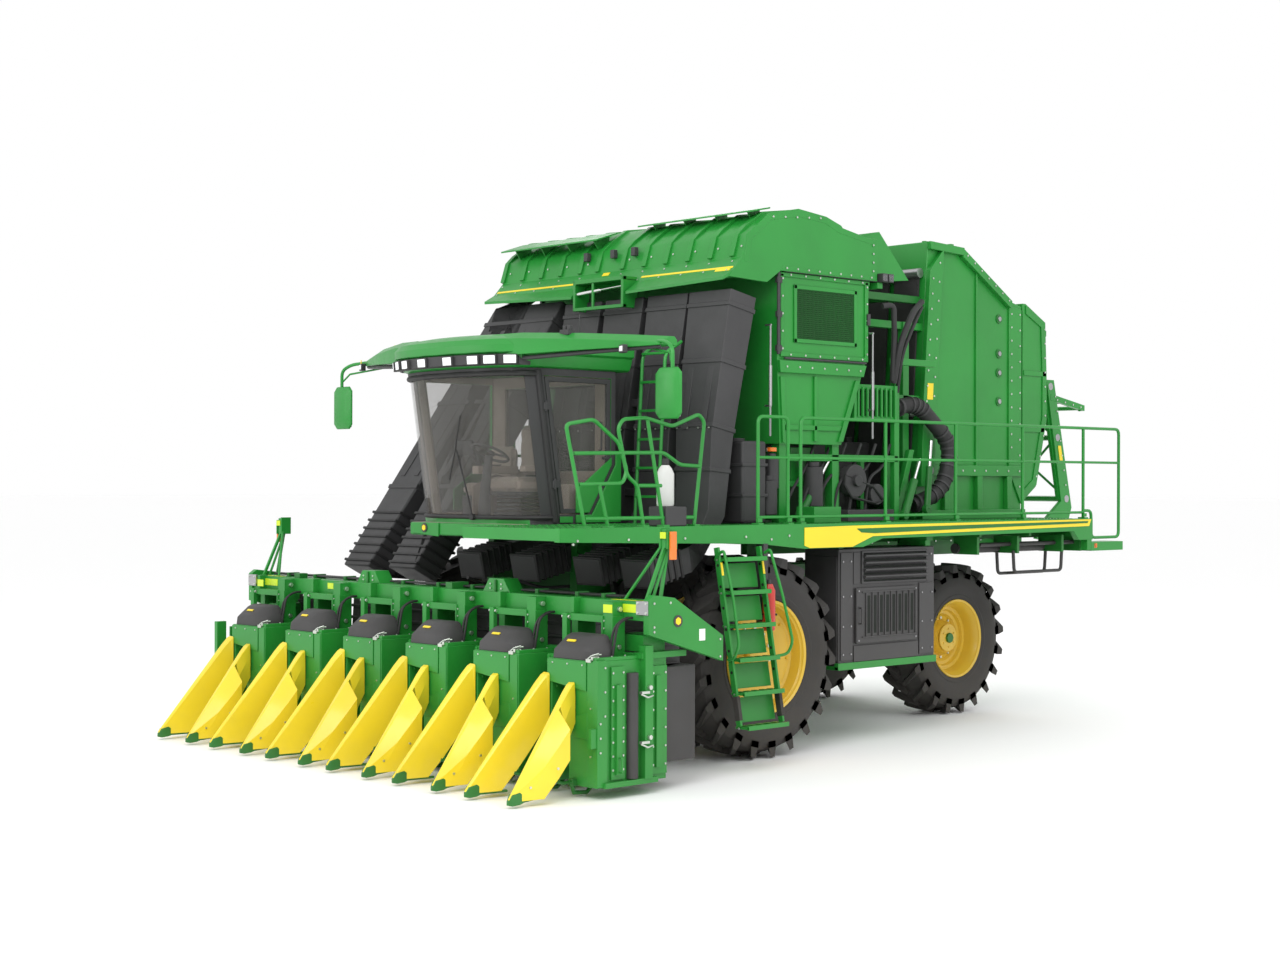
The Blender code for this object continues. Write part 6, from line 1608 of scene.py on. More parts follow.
def accumulator_side(name, side):
    """One side wall: framed air screen, hinge rail, stays, slanted hopper and the band below."""
    def span(low, high):
        return sorted((side * low, side * high))
    bm = bmesh.new()
    for low_y, high_y, low_z, high_z in ((0.86, 0.90, 4.05, 4.63), (1.78, 1.82, 4.05, 4.63),
                                         (0.86, 1.82, 4.59, 4.63), (0.86, 1.82, 4.05, 4.09),
                                         (0.66, 0.70, 3.94, 4.73), (1.95, 2.00, 3.94, 4.73),
                                         (0.66, 2.00, 3.90, 3.945), (0.66, 2.02, 4.70, 4.742)):
        xs = span(1.80, 1.816)
        block(bm, (xs[0], low_y, low_z), (xs[1], high_y, high_z))
    xs = span(1.80, 1.842)
    side_sheet(bm, [(0.63, 3.74), (1.90, 3.74), (1.945, 3.86), (0.62, 3.86)], *xs)
    xs = span(1.80, 1.822)
    side_sheet(bm, [(0.655, 3.70), (0.72, 3.70), (0.72, 3.04), (0.69, 3.04)], *xs)
    side_sheet(bm, [(1.80, 3.70), (1.87, 3.70), (1.60, 3.06), (1.53, 3.06)], *xs)
    side_sheet(bm, [(0.74, 3.22), (1.58, 3.22), (1.55, 3.17), (0.74, 3.17)], *xs)
    block(bm, (xs[0], 1.16, 3.06), (xs[1], 1.20, 3.72))
    piece(f"accumulator_{name}_frames", bm, "green_paint", 0.004)
    # painted shade: a near-black sheet behind the air screen stands in for the shade inside the accumulator
    xs = span(1.8005, 1.803)
    bm = bmesh.new()
    side_sheet(bm, [(0.90, 4.09), (1.78, 4.09), (1.78, 4.59), (0.90, 4.59)], *xs)
    piece(f"accumulator_{name}_screen_painted_shade", bm, "deep_shadow", 0)
    bm = bmesh.new()
    slab(bm, (side * 1.807, 0.905, 4.34), (0, 0.0035, 0), (0, 0, 0.25), (0.002, 0, 0))
    stepped(f"accumulator_{name}_screen_uprights", bm, 44, (0, 0.0202, 0), "screen_wire", "chassis")
    bm = bmesh.new()
    slab(bm, (side * 1.807, 1.34, 4.10), (0, 0.44, 0), (0, 0, 0.0035), (0.002, 0, 0))
    stepped(f"accumulator_{name}_screen_bars", bm, 25, (0, 0, 0.0202), "screen_wire", "chassis")
    bm = bmesh.new()
    tube(bm, [(side * 1.825, 0.615, 3.92), (side * 1.825, 0.615, 4.74)], 0.018, 10)
    tube(bm, [(side * 1.83, 0.70, 4.755), (side * 1.83, 2.12, 4.755)], 0.012, 8)
    tube(bm, [(side * 1.83, 0.70, 3.885), (side * 1.83, 1.95, 3.885)], 0.012, 8)
    for z in (3.98, 4.32, 4.66):
        block(bm, (*span(1.80, 1.835)[:1], 0.59, z - 0.03), (span(1.80, 1.835)[1], 0.66, z + 0.03))
    block(bm, (span(1.80, 1.84)[0], 1.97, 4.28), (span(1.80, 1.84)[1], 2.01, 4.40))
    piece(f"accumulator_{name}_hinges", bm, "charcoal_moulding", 0.003)
    bm = bmesh.new()
    for y, low, high in ((0.46, 3.40, 4.20), (2.02, 3.40, 4.20)):
        tube(bm, [(side * 1.86, y, low), (side * 1.86, y, high)], 0.009, 8)
        tube(bm, [(side * 1.86, y, low), (side * 1.86, y, (low + high) / 2)], 0.016, 10)
        tube(bm, [(side * 1.86, y, low - 0.30), (side * 1.86, y, low)], 0.010, 8)
        for z in (low, high):
            tube(bm, [(side * 1.79, y, z), (side * 1.87, y, z)], 0.010, 8)
    piece(f"accumulator_{name}_stays", bm, "bare_steel", 0)
    out = (side, 0, 0)
    spots = []
    for y in (0.68, 1.975):
        spots += line_spots((side * 1.82, y, 3.98), (side * 1.82, y, 4.68), 5, out)
    spots += line_spots((side * 1.82, 0.80, 4.722), (side * 1.82, 1.90, 4.722), 6, out)
    spots += line_spots((side * 1.82, 0.80, 3.922), (side * 1.82, 1.90, 3.922), 6, out)
    spots += line_spots((side * 1.846, 0.72, 3.80), (side * 1.846, 1.84, 3.80), 7, out)
    spots += line_spots((side * 1.858, 0.70, 4.78), (side * 1.858, 2.00, 4.78), 9, out)
    spots += line_spots((side * 1.858, 2.03, 4.85), (side * 1.858, 2.03, 5.12), 4, out)
    spots += line_spots((side * 1.858, 0.50, 5.275), (side * 1.858, 1.20, 5.325), 5, out)
    heads(f"accumulator_{name}_bolts", spots, "chassis", 0.011, 0.010)


def under_accumulator():
    """The busy space under the left side: grille box, cylinders, tanks, hoses and canisters."""
    bm = bmesh.new()
    block(bm, (1.52, 1.82, 3.30), (1.78, 2.48, 3.34))
    block(bm, (1.52, 1.82, 3.62), (1.78, 2.48, 3.67))
    block(bm, (1.52, 1.82, 3.30), (1.56, 2.48, 3.66))
    for y in (1.80, 2.46):
        block(bm, (1.52, y, 3.30), (1.80, y + 0.04, 3.67))
    for k in range(8):
        block(bm, (1.77, 1.86 + 0.075 * k, 3.33), (1.80, 1.886 + 0.075 * k, 3.64))
    block(bm, (1.56, 1.62, 2.2405), (1.62, 1.68, 3.64))
    block(bm, (1.70, 2.50, 2.2405), (1.76, 2.58, 3.98))
    block(bm, (1.66, 0.80, 2.86), (1.76, 2.56, 2.93))
    block(bm, (1.70, 2.48, 3.90), (1.76, 3.20, 3.97))
    block(bm, (1.92, 0.78, 2.2405), (2.16, 1.18, 2.40))
    side_sheet(bm, [(2.62, 2.2405), (2.70, 2.2405), (2.96, 3.00), (2.88, 3.00)], 1.60, 1.66)
    for y in (1.05, 1.90, 2.30, 2.75):
        block(bm, (1.40, y, 2.2405), (1.46, y + 0.06, 2.90))
    block(bm, (1.10, 0.66, 2.60), (1.64, 1.50, 2.66))
    block(bm, (1.20, 1.04, 2.66), (1.60, 1.40, 3.00))
    piece("under_accumulator_frame", bm, "green_paint", 0.004)
    # painted shade: a near-black block inside the grille box stands in for the shade behind its slats
    bm = bmesh.new()
    block(bm, (1.565, 1.87, 3.345), (1.60, 2.45, 3.615))
    piece("under_accumulator_painted_shade_core", bm, "deep_shadow", 0)
    bm = bmesh.new()
    for y, z, r, length in ((0.55, 2.42, 0.09, 0.34), (0.60, 2.68, 0.07, 0.30), (1.22, 2.50, 0.10, 0.40)):
        tube(bm, [(1.75, y, z - 0.10), (1.75, y, z - 0.10 + length)], r, 20)
        tube(bm, [(1.75, y, z - 0.10 + length), (1.75, y, z - 0.05 + length)], r * 0.6, 16)
    disc(bm, (1.76, 1.82, 2.66), (1, 0, 0), 0.17, 0.10, 32)
    disc(bm, (1.82, 1.82, 2.66), (1, 0, 0), 0.06, 0.06, 20)
    disc(bm, (1.76, 2.18, 2.52), (1, 0, 0), 0.11, 0.08, 28)
    block(bm, (1.60, 1.66, 2.2405), (1.84, 2.40, 2.36))
    piece("accumulator_canisters", bm, "charcoal_moulding", 0.006)
    bm = bmesh.new()
    belts = [(1.80, 1.66, 2.72), (1.80, 2.10, 2.60), (1.80, 2.26, 2.46), (1.80, 2.12, 2.43),
             (1.80, 1.76, 2.49), (1.80, 1.65, 2.62), (1.80, 1.66, 2.72)]
    tube(bm, belts, 0.014, 6)
    for k in range(6):
        y = 0.80 + 0.24 * k
        path = [(1.70 + 0.012 * k, y, 2.26), (1.78, y + 0.05, 2.55 + 0.03 * k), (1.72, y + 0.35, 2.80),
                (1.70, y + 0.5, 3.05)]
        tube(bm, rounded(path, 0.14), 0.016, 8)
    big = rounded([(1.66, 2.62, 3.45), (1.70, 2.95, 3.50), (1.74, 3.52, 3.05), (1.74, 3.34, 2.55),
                   (1.66, 2.92, 2.40)], 0.42, 8)
    tube(bm, big, 0.085, 16)
    tube(bm, rounded([(1.82, 2.22, 4.50), (1.86, 2.36, 4.52), (1.82, 2.42, 4.20), (1.78, 2.44, 3.72)],
                     0.10), 0.030, 12)
    tube(bm, rounded([(1.60, 3.15, 4.62), (1.82, 2.72, 4.46), (1.86, 2.46, 4.10), (1.78, 2.46, 3.70)],
                     0.16), 0.034, 12)
    tube(bm, rounded([(1.60, 3.15, 4.56), (1.80, 2.78, 4.36), (1.82, 2.54, 4.00), (1.76, 2.54, 3.60)],
                     0.16), 0.022, 10)
    piece("accumulator_hoses", bm, "hose_rubber", 0)
    bm = bmesh.new()
    for share in range(1, 14):
        spot = Vector(big[min(len(big) - 2, share * (len(big) - 1) // 14)])
        after = Vector(big[min(len(big) - 1, share * (len(big) - 1) // 14 + 1)])
        disc(bm, tuple(spot), tuple(after - spot), 0.094, 0.022, 20)
    for y, z in ((2.66, 3.45), (2.96, 2.42)):
        disc(bm, (1.68, y, z), (0, 1, 0.15), 0.100, 0.035, 24)
    piece("intake_hose_rings", bm, "charcoal_moulding", 0)
    bm = bmesh.new()
    for a, b, r in (((1.80, 2.62, 2.30), (1.72, 2.98, 2.90), 0.045),
                    ((1.78, 1.00, 2.32), (1.74, 1.46, 2.86), 0.038),
                    ((1.80, 3.00, 2.36), (1.76, 3.12, 3.10), 0.036)):
        low, high = Vector(a), Vector(b)
        tube(bm, [a, tuple(low.lerp(high, 0.62))], r, 16)
        disc(bm, a, (1, 0, 0), 0.05, 0.06, 16)
    # cylinders under the accumulator in painted shade: the darkened copy of the body green
    piece("lift_cylinders", bm, "green_painted_shade", 0.003)
    bm = bmesh.new()
    for a, b in (((1.80, 2.62, 2.30), (1.72, 2.98, 2.90)), ((1.78, 1.00, 2.32), (1.74, 1.46, 2.86)),
                 ((1.80, 3.00, 2.36), (1.76, 3.12, 3.10))):
        low, high = Vector(a), Vector(b)
        tube(bm, [tuple(low.lerp(high, 0.60)), b], 0.018, 12)
    piece("lift_rods", bm, "chromed_rod", 0)
    bm = bmesh.new()
    disc(bm, (1.75, 0.60, 2.97), (0, 0, 1), 0.05, 0.04, 18)
    piece("orange_cap", bm, "amber_lens", 0.004)
    bm = bmesh.new()
    for y in (2.17, 2.27):
        slab(bm, (1.86, y, 4.79), (0.045, 0, 0), (0, 0.04, 0), (0, 0, 0.045))
    piece("rear_work_lamps", bm, "charcoal_moulding", 0.008)
    bm = bmesh.new()
    for y in (2.17, 2.27):
        slab(bm, (1.902, y, 4.79), (0.003, 0, 0), (0, 0.034, 0), (0, 0, 0.036))
    piece("rear_work_lamp_lenses", bm, "lamp_lens", 0.002)
    bm = bmesh.new()
    block(bm, (1.46, 2.12, 4.68), (1.84, 2.20, 4.74))
    piece("rear_work_lamp_arm", bm, "green_paint", 0.003)


# ---------------------------------------------------------------- module builder
def make_chamber():
    dressed("module_chamber", "green_paint", 0.010, segments=3)
    dressed("tailgate", "green_paint", 0.010, segments=3)
    for name, side in (("left", 1), ("right", -1)):
        def span(low, high):
            return sorted((side * low, side * high))
        bm = bmesh.new()
        # slanted front post, fold, roof beam, lower beams and gussets
        side_sheet(bm, [(3.36, 5.00), (3.60, 5.24), (3.46, 3.40), (3.20, 3.00)], *span(1.50, 1.56))
        side_sheet(bm, [(3.18, 2.60), (3.40, 2.60), (3.44, 3.42), (3.22, 3.42)], *span(1.50, 1.58))
        side_sheet(bm, [(3.96, 5.275), (4.87, 4.745), (4.85, 4.66), (3.95, 5.18)], *span(1.50, 1.56))
        side_sheet(bm, [(3.36, 5.31), (3.97, 5.285), (3.96, 5.20), (3.37, 5.225)], *span(1.50, 1.56))
        side_sheet(bm, [(4.235, 5.06), (4.265, 5.05), (4.265, 2.80), (4.235, 2.80)], *span(1.50, 1.522))
        side_sheet(bm, [(4.86, 4.70), (5.10, 4.66), (5.10, 2.40), (4.86, 2.80)], *span(1.50, 1.520))
        side_sheet(bm, [(3.20, 2.72), (5.10, 2.72), (5.10, 2.84), (3.20, 2.84)], *span(1.50, 1.56))
        side_sheet(bm, [(3.20, 2.2405), (5.10, 2.2405), (5.10, 2.34), (3.20, 2.34)], *span(1.50, 1.58))
        for y in (3.62, 4.22, 4.78):
            side_sheet(bm, [(y, 2.34), (y + 0.09, 2.34), (y + 0.09, 2.72), (y, 2.72)], *span(1.50, 1.56))
        side_sheet(bm, [(3.72, 2.84), (4.02, 2.84), (3.72, 3.18)], *span(1.50, 1.512))
        side_sheet(bm, [(3.38, 4.40), (2.10, 4.40), (2.10, 4.32), (3.37, 4.32)], *span(1.40, 1.48))
        side_sheet(bm, [(3.36, 3.60), (2.60, 3.60), (2.60, 3.52), (3.35, 3.52)], *span(1.42, 1.50))
        side_sheet(bm, [(2.96, 4.40), (3.06, 4.40), (3.06, 2.2405), (2.96, 2.2405)], *span(1.42, 1.50))
        piece(f"chamber_{name}_frames", bm, "green_paint", 0.005)
        bm = bmesh.new()
        for z in (4.53, 4.13, 3.91, 3.58):
            disc(bm, (side * 1.506, 4.68, z), (side, 0, 0), 0.052, 0.012, 28)
        piece(f"chamber_{name}_roller_plates", bm, "green_painted_shade", 0.002)
        bm = bmesh.new()
        for z in (4.53, 4.13, 3.91, 3.58):
            disc(bm, (side * 1.514, 4.68, z), (side, 0, 0), 0.028, 0.020, 20)
        for y, z in ((3.40, 3.30), (3.33, 2.78)):
            disc(bm, (side * 1.575, y, z), (side, 0, 0), 0.05, 0.04, 20)
        piece(f"chamber_{name}_roller_ends", bm, "bare_steel", 0.002)
        out = (side, 0, 0)
        spots = line_spots((side * 1.564, 3.40, 4.90), (side * 1.564, 3.26, 3.20), 11, out)
        spots += line_spots((side * 1.564, 3.52, 5.08), (side * 1.564, 3.42, 3.60), 8, out)
        spots += line_spots((side * 1.564, 4.02, 5.20), (side * 1.564, 4.80, 4.745), 7, out)
        spots += line_spots((side * 1.524, 4.90, 4.60), (side * 1.524, 4.90, 2.90), 12, out)
        spots += line_spots((side * 1.524, 5.06, 4.60), (side * 1.524, 5.06, 2.60), 12, out)
        spots += line_spots((side * 1.564, 3.30, 2.78), (side * 1.564, 5.00, 2.78), 9, out)
        heads(f"chamber_{name}_bolts", spots, "chassis", 0.012, 0.010)
        bm = bmesh.new()
        side_sheet(bm, [(3.30, 3.56), (3.40, 3.56), (3.41, 3.74), (3.31, 3.74)], *span(1.56, 1.563))
        piece(f"chamber_{name}_label", bm, "stripe_yellow", 0)
        # tailgate side ribs
        bm = bmesh.new()
        side_sheet(bm, [(5.20, 4.72), (5.58, 4.54), (5.61, 3.90), (5.61, 3.40), (5.41, 2.62), (5.16, 2.44),
                        (5.16, 2.56), (5.34, 2.68), (5.53, 3.42), (5.53, 3.88), (5.50, 4.48), (5.20, 4.62)],
                   *span(1.50, 1.515))
        side_sheet(bm, [(5.16, 3.96), (5.60, 3.96), (5.60, 3.90), (5.16, 3.90)], *span(1.50, 1.515))
        side_sheet(bm, [(5.16, 3.30), (5.57, 3.30), (5.56, 3.24), (5.16, 3.24)], *span(1.50, 1.515))
        piece(f"tailgate_{name}_ribs", bm, "green_paint", 0.004, "tailgate")
        spots = line_spots((side * 1.518, 5.565, 4.46), (side * 1.518, 5.572, 3.44), 7, out)
        spots += line_spots((side * 1.518, 5.54, 3.20), (side * 1.518, 5.40, 2.72), 3, out)
        heads(f"tailgate_{name}_bolts", spots, "tailgate", 0.012, 0.010)
    # cross ribs of roof and tailgate back, hood over the chamber's front
    bm = bmesh.new()
    for share in (0.12, 0.5, 0.88):
        y, z = 3.96 + 0.90 * share, 5.28 - 0.52 * share
        slab(bm, (0, y, z + 0.012), (1.49, 0, 0), (0, 0.035, -0.020), (0, 0.007, 0.012))
    for y in (3.46, 3.80):
        block(bm, (-1.49, y, 5.300), (1.49, y + 0.06, 5.322))
    for x in (-1.45, -0.75, 0.0, 0.75, 1.40):
        side_sheet(bm, [(3.40, 5.30), (3.95, 5.285), (3.95, 5.30), (3.40, 5.325)], x, x + 0.05)
    piece("chamber_roof_ribs", bm, "green_paint", 0.003)
    bm = bmesh.new()
    for z in (2.86, 3.40, 3.92, 4.38):
        y = 5.62 if z > 3.3 else 5.42 + (z - 2.60) * 0.25
        block(bm, (-1.48, y - 0.02, z), (1.48, y + 0.03, z + 0.07))
    for x in (-1.46, -0.50, 0.44, 1.40):
        side_sheet(bm, [(5.615, 3.42), (5.650, 3.42), (5.650, 3.92), (5.62, 4.50), (5.59, 4.50)], x,
                   x + 0.06)
    piece("tailgate_back_ribs", bm, "green_paint", 0.004, "tailgate")
    # belts seen through the gap in front of the chamber
    bm = bmesh.new()
    for k in range(7):
        x = -1.26 + 0.42 * k
        side_sheet(bm, [(3.13, 2.40), (3.155, 2.40), (3.335, 4.98), (3.31, 4.98)], x - 0.17, x + 0.17)
    piece("chamber_front_belts", bm, "black_rubber", 0)
    bm = bmesh.new()
    for y, z in ((3.13, 2.42), (3.20, 3.42), (3.32, 4.96)):
        tube(bm, [(-1.46, y - 0.02, z), (1.46, y - 0.02, z)], 0.055, 20)
    piece("chamber_front_rollers", bm, "bare_steel", 0)
    bm = bmesh.new()
    for x in (-1.44, 1.36):
        block(bm, (x, 2.20, 4.20), (x + 0.08, 2.30, 4.72))
        block(bm, (x, 2.10, 4.62), (x + 0.08, 3.34, 4.70))
    for y in (2.4, 2.9):
        block(bm, (-1.40, y, 4.63), (1.40, y + 0.06, 4.69))
    block(bm, (-1.42, 1.72, 2.2405), (1.42, 1.80, 2.60))
    # frame seen through the gap in painted shade: the darkened copy of the body green
    piece("chamber_front_frame", bm, "green_painted_shade", 0.004)


def make_handler():
    dressed("module_handler", "green_paint", 0.005)
    body = "module_handler"
    bm = bmesh.new()
    for x in (-1.10, -0.36, 0.36, 1.10):
        side_sheet(bm, [(6.10, 3.86), (6.22, 3.86), (6.52, 2.46), (6.42, 2.44)], x - 0.02, x + 0.02)
    for low_x, high_x in ((-1.08, -0.38), (0.38, 1.08)):
        for z0, z1 in ((2.55, 3.15), (3.15, 2.55), (3.25, 3.80), (3.80, 3.25)):
            y0, y1 = 6.49 - 0.21 * (z0 - 2.45) / 1.0, 6.49 - 0.21 * (z1 - 2.45) / 1.0
            tube(bm, [(low_x, y0, z0), (high_x, y1, z1)], 0.016, 8)
    for x in (-1.12, 1.12):
        tube(bm, [(x, 6.86, 3.565), (x, 6.88, 3.565)], 0.03, 12)
    tube(bm, [(-1.12, 6.88, 3.575), (1.12, 6.88, 3.575)], 0.026, 12)
    tube(bm, [(-1.12, 6.55, 3.64), (1.12, 6.55, 3.64)], 0.020, 12)
    piece("handler_braces", bm, "green_paint", 0, body)
    bm = bmesh.new()
    for x in (-1.14, 1.10):
        for y, z in ((6.00, 2.02), (6.55, 2.45), (6.36, 3.20), (6.21, 3.82)):
            disc(bm, (x + 0.02, y, z), (1, 0, 0), 0.045, 0.07, 20)
    piece("handler_pins", bm, "bare_steel", 0.003, body)
    spots = []
    for side in (1, -1):
        spots += line_spots((side * 1.155, 6.30, 3.70), (side * 1.155, 6.52, 2.62), 7, (side, 0, 0))
        spots += line_spots((side * 1.157, 6.34, 3.66), (side * 1.157, 6.84, 3.585), 4, (side, 0, 0))
    heads("handler_bolts", spots, body, 0.012, 0.012)
    bm = bmesh.new()
    for side in (1, -1):
        xs = sorted((side * 1.152, side * 1.157))
        side_sheet(bm, [(6.36, 3.10), (6.42, 3.10), (6.46, 2.92), (6.40, 2.92)], *xs)
    piece("handler_labels", bm, "stripe_yellow", 0, body)


# ---------------------------------------------------------------- chassis
def make_chassis():
    # frame, tie rod and knuckles under the machine in painted shade: the darkened copy of the body green
    dressed("chassis_frame", "green_painted_shade", 0.006)
    dressed("front_axle", "green_paint", 0.006)
    dressed("rear_axle", "green_paint", 0.006)
    for name in frame["nodes"]:
        if name in {"tie_rod", "rear_left_knuckle", "rear_right_knuckle"}:
            dressed(name, "green_painted_shade", 0.004)
    bm = bmesh.new()
    for side in (1, -1):
        x = side * 0.56
        tube(bm, [(x, 0.30, 1.40), (x, 1.90, 1.40), (x, 2.15, 1.50), (x, 2.25, 1.60)], 0.020, 8)
        tube(bm, [(x - side * 0.06, 0.30, 1.36), (x - side * 0.06, 1.90, 1.36),
                  (x - side * 0.06, 2.25, 1.58)], 0.016, 8)
        tube(bm, rounded([(side * 0.60, -0.90, 1.62), (side * 0.45, -1.30, 1.60),
                          (side * 0.40, -1.55, 1.68)], 0.1), 0.016, 8)
    piece("chassis_pipes", bm, "hose_rubber", 0)
    bm = bmesh.new()
    disc(bm, (0, 1.7, 1.60), (0, 1, 0), 0.24, 0.50, 32)
    disc(bm, (0, 1.38, 1.60), (0, 1, 0), 0.16, 0.16, 32)
    disc(bm, (0, 2.05, 1.60), (0, 1, 0), 0.10, 0.24, 24)
    block(bm, (-0.58, 1.55, 1.50), (0.58, 1.70, 1.62))
    block(bm, (-0.58, 2.20, 1.56), (0.58, 2.30, 1.66))
    piece("transmission", bm, "dark_iron", 0.010)
    spots = []
    for side in (1, -1):
        spots += line_spots((side * 0.703, 0.30, 1.70), (side * 0.703, 2.60, 1.70), 12, (side, 0, 0))
        spots += line_spots((side * 0.703, 0.30, 1.50), (side * 0.703, 2.60, 1.50), 12, (side, 0, 0))
        spots += line_spots((side * 0.703, 3.10, 1.96), (side * 0.703, 5.70, 1.96), 10, (side, 0, 0))
    heads("chassis_rail_bolts", spots, "chassis", 0.013, 0.012)


def make_cabinets():
    dressed("side_cabinet", "charcoal_paint", 0.012, segments=3)
    dressed("service_door", "charcoal_paint", 0.008, segments=3)
    dressed("fuel_tank", "charcoal_moulding", 0.035, segments=4)
    dressed("water_tank", "charcoal_moulding", 0.030, segments=4)
    dressed("engine_block", "dark_iron", 0.020, segments=3)
    bm = bmesh.new()
    for low_y, high_y, low_z, high_z in ((1.12, 1.30, 0.86, 1.94), (2.36, 2.60, 0.86, 1.60),
                                         (1.32, 2.34, 0.84, 1.00)):
        block(bm, (2.20, low_y, low_z), (2.214, high_y, high_z))
    for low, high in (((2.20, 1.46, 1.62), (2.216, 2.48, 1.64)), ((2.20, 1.46, 1.93), (2.216, 2.48, 1.95)),
                      ((2.20, 1.44, 1.62), (2.216, 1.464, 1.95)), ((2.20, 2.47, 1.62), (2.216, 2.494, 1.95)),
                      ((2.20, 1.32, 1.62), (2.208, 1.42, 1.94)), ((1.76, 1.094, 0.86), (2.18, 1.100, 1.90)),
                      ((1.76, 2.620, 0.86), (2.18, 2.626, 1.90))):
        block(bm, low, high)
    for k in range(4):
        z = 1.655 + 0.07 * k
        side_z = [(2.205, z), (2.245, z + 0.03), (2.245, z + 0.045), (2.205, z + 0.055)]
        rings = [[here(x, y, height) for x, height in side_z] for y in (1.468, 2.468)]
        ring_faces(bm, rings)
    piece("cabinet_louvres_and_panels", bm, "charcoal_paint", 0.004)
    bm = bmesh.new()
    block(bm, (2.2005, 1.465, 1.64), (2.203, 2.47, 1.93))
    piece("cabinet_louvre_shadow", bm, "deep_shadow", 0)
    bm = bmesh.new()
    block(bm, (2.232, 1.50, 1.12), (2.236, 1.545, 1.50))
    stepped("service_door_slots", bm, 8, (0, 0.098, 0), "deep_shadow", "service_door")
    bm = bmesh.new()
    for k in range(9):
        block(bm, (2.232, 1.474 + 0.098 * k, 1.09), (2.244, 1.492 + 0.098 * k, 1.53))
    block(bm, (2.232, 1.42, 1.075), (2.242, 2.31 - 0.03, 1.09))
    block(bm, (2.232, 1.42, 1.53), (2.242, 2.31 - 0.03, 1.545))
    tube(bm, rounded([(2.23, 1.385, 1.22), (2.262, 1.385, 1.22), (2.262, 1.385, 1.38), (2.23, 1.385, 1.38)],
                     0.02), 0.009, 8)
    piece("service_door_ribs_and_handle", bm, "charcoal_paint", 0.003, "service_door")
    bm = bmesh.new()
    block(bm, (1.78, 1.08, 0.765), (2.215, 2.64, 0.802))
    block(bm, (2.16, 1.08, 0.765), (2.216, 2.64, 0.835))
    block(bm, (1.80, 1.12, 1.975), (2.18, 1.20, 2.06))
    block(bm, (1.80, 2.50, 1.975), (2.18, 2.58, 2.06))
    block(bm, (-2.18, 1.12, 1.975), (-1.80, 1.20, 2.06))
    block(bm, (-2.18, 2.50, 1.975), (-1.80, 2.58, 2.06))
    for y in (1.30, 2.36):
        block(bm, (-2.212, y, 0.792), (-1.73, y + 0.06, 1.99))
    piece("cabinet_sill_and_straps", bm, "green_paint", 0.004)
    spots = [((2.217, y, z), (1, 0, 0)) for y in (1.15, 1.27, 2.40, 2.56) for z in (0.92, 1.20, 1.50)]
    spots += [((2.217, 1.15, 1.85), (1, 0, 0)), ((2.217, 1.27, 1.85), (1, 0, 0)),
              ((2.217, 2.55, 1.9), (1, 0, 0))]
    heads("cabinet_screws", spots, "chassis", 0.010, 0.008, look="bare_steel")
    spots = [((2.234, y, z), (1, 0, 0)) for y in (1.37, 2.275) for z in (1.05, 1.55)]
    heads("service_door_screws", spots, "service_door", 0.010, 0.008, look="bare_steel")
    bm = bmesh.new()
    disc(bm, (-1.97, 1.50, 2.00), (0, 0, 1), 0.06, 0.05, 24)
    disc(bm, (1.56, 0.28, 3.06), (0, 0, 1), 0.09, 0.04, 28)
    for z in (2.50, 2.80):
        block(bm, (1.29, 0.09, z), (1.84, 0.45, z + 0.03))
    piece("tank_caps_and_bands", bm, "charcoal_moulding", 0.004)
    # engine fittings behind the hopper
    bm = bmesh.new()
    for y in (2.20, 2.36, 2.52, 2.68, 2.84):
        block(bm, (-0.60, y, 3.09), (0.80, y + 0.09, 3.15))
    disc(bm, (1.06, 2.50, 2.70), (1, 0, 0), 0.20, 0.12, 32)
    disc(bm, (1.10, 2.84, 2.50), (1, 0, 0), 0.10, 0.12, 24)
    disc(bm, (1.10, 2.30, 2.46), (1, 0, 0), 0.09, 0.12, 24)
    tube(bm, [(0.30, 2.46, 3.20), (0.30, 2.96, 3.20)], 0.10, 24)
    piece("engine_fittings", bm, "dark_iron", 0.006)
    bm = bmesh.new()
    tube(bm, rounded([(-0.40, 2.60, 3.15), (-0.40, 2.60, 3.50), (-1.10, 2.60, 3.50), (-1.20, 2.62, 4.60)],
                     0.12, 6), 0.07, 20)
    tube(bm, [(-1.20, 2.62, 4.55), (-1.20, 2.64, 4.95)], 0.095, 20)
    piece("exhaust_pipe", bm, "dark_iron", 0)
    bm = bmesh.new()
    tube(bm, [(2.40, -0.13, 1.24), (2.40, -0.13, 1.28), (2.40, -0.13, 1.62), (2.40, -0.13, 1.68)], 0.06, 20,
         (0.055, 0.062, 0.062, 0.035))
    piece("red_bottle", bm, "red_paint", 0)
    bm = bmesh.new()
    block(bm, (2.26, -0.16, 1.30), (2.36, -0.10, 2.06))
    block(bm, (2.34, -0.20, 1.34), (2.37, -0.06, 1.40))
    block(bm, (2.34, -0.20, 1.56), (2.37, -0.06, 1.62))
    tube(bm, [(2.40, -0.13, 1.68), (2.40, -0.13, 1.72)], 0.02, 12)
    piece("bottle_bracket", bm, "charcoal_moulding", 0.003)


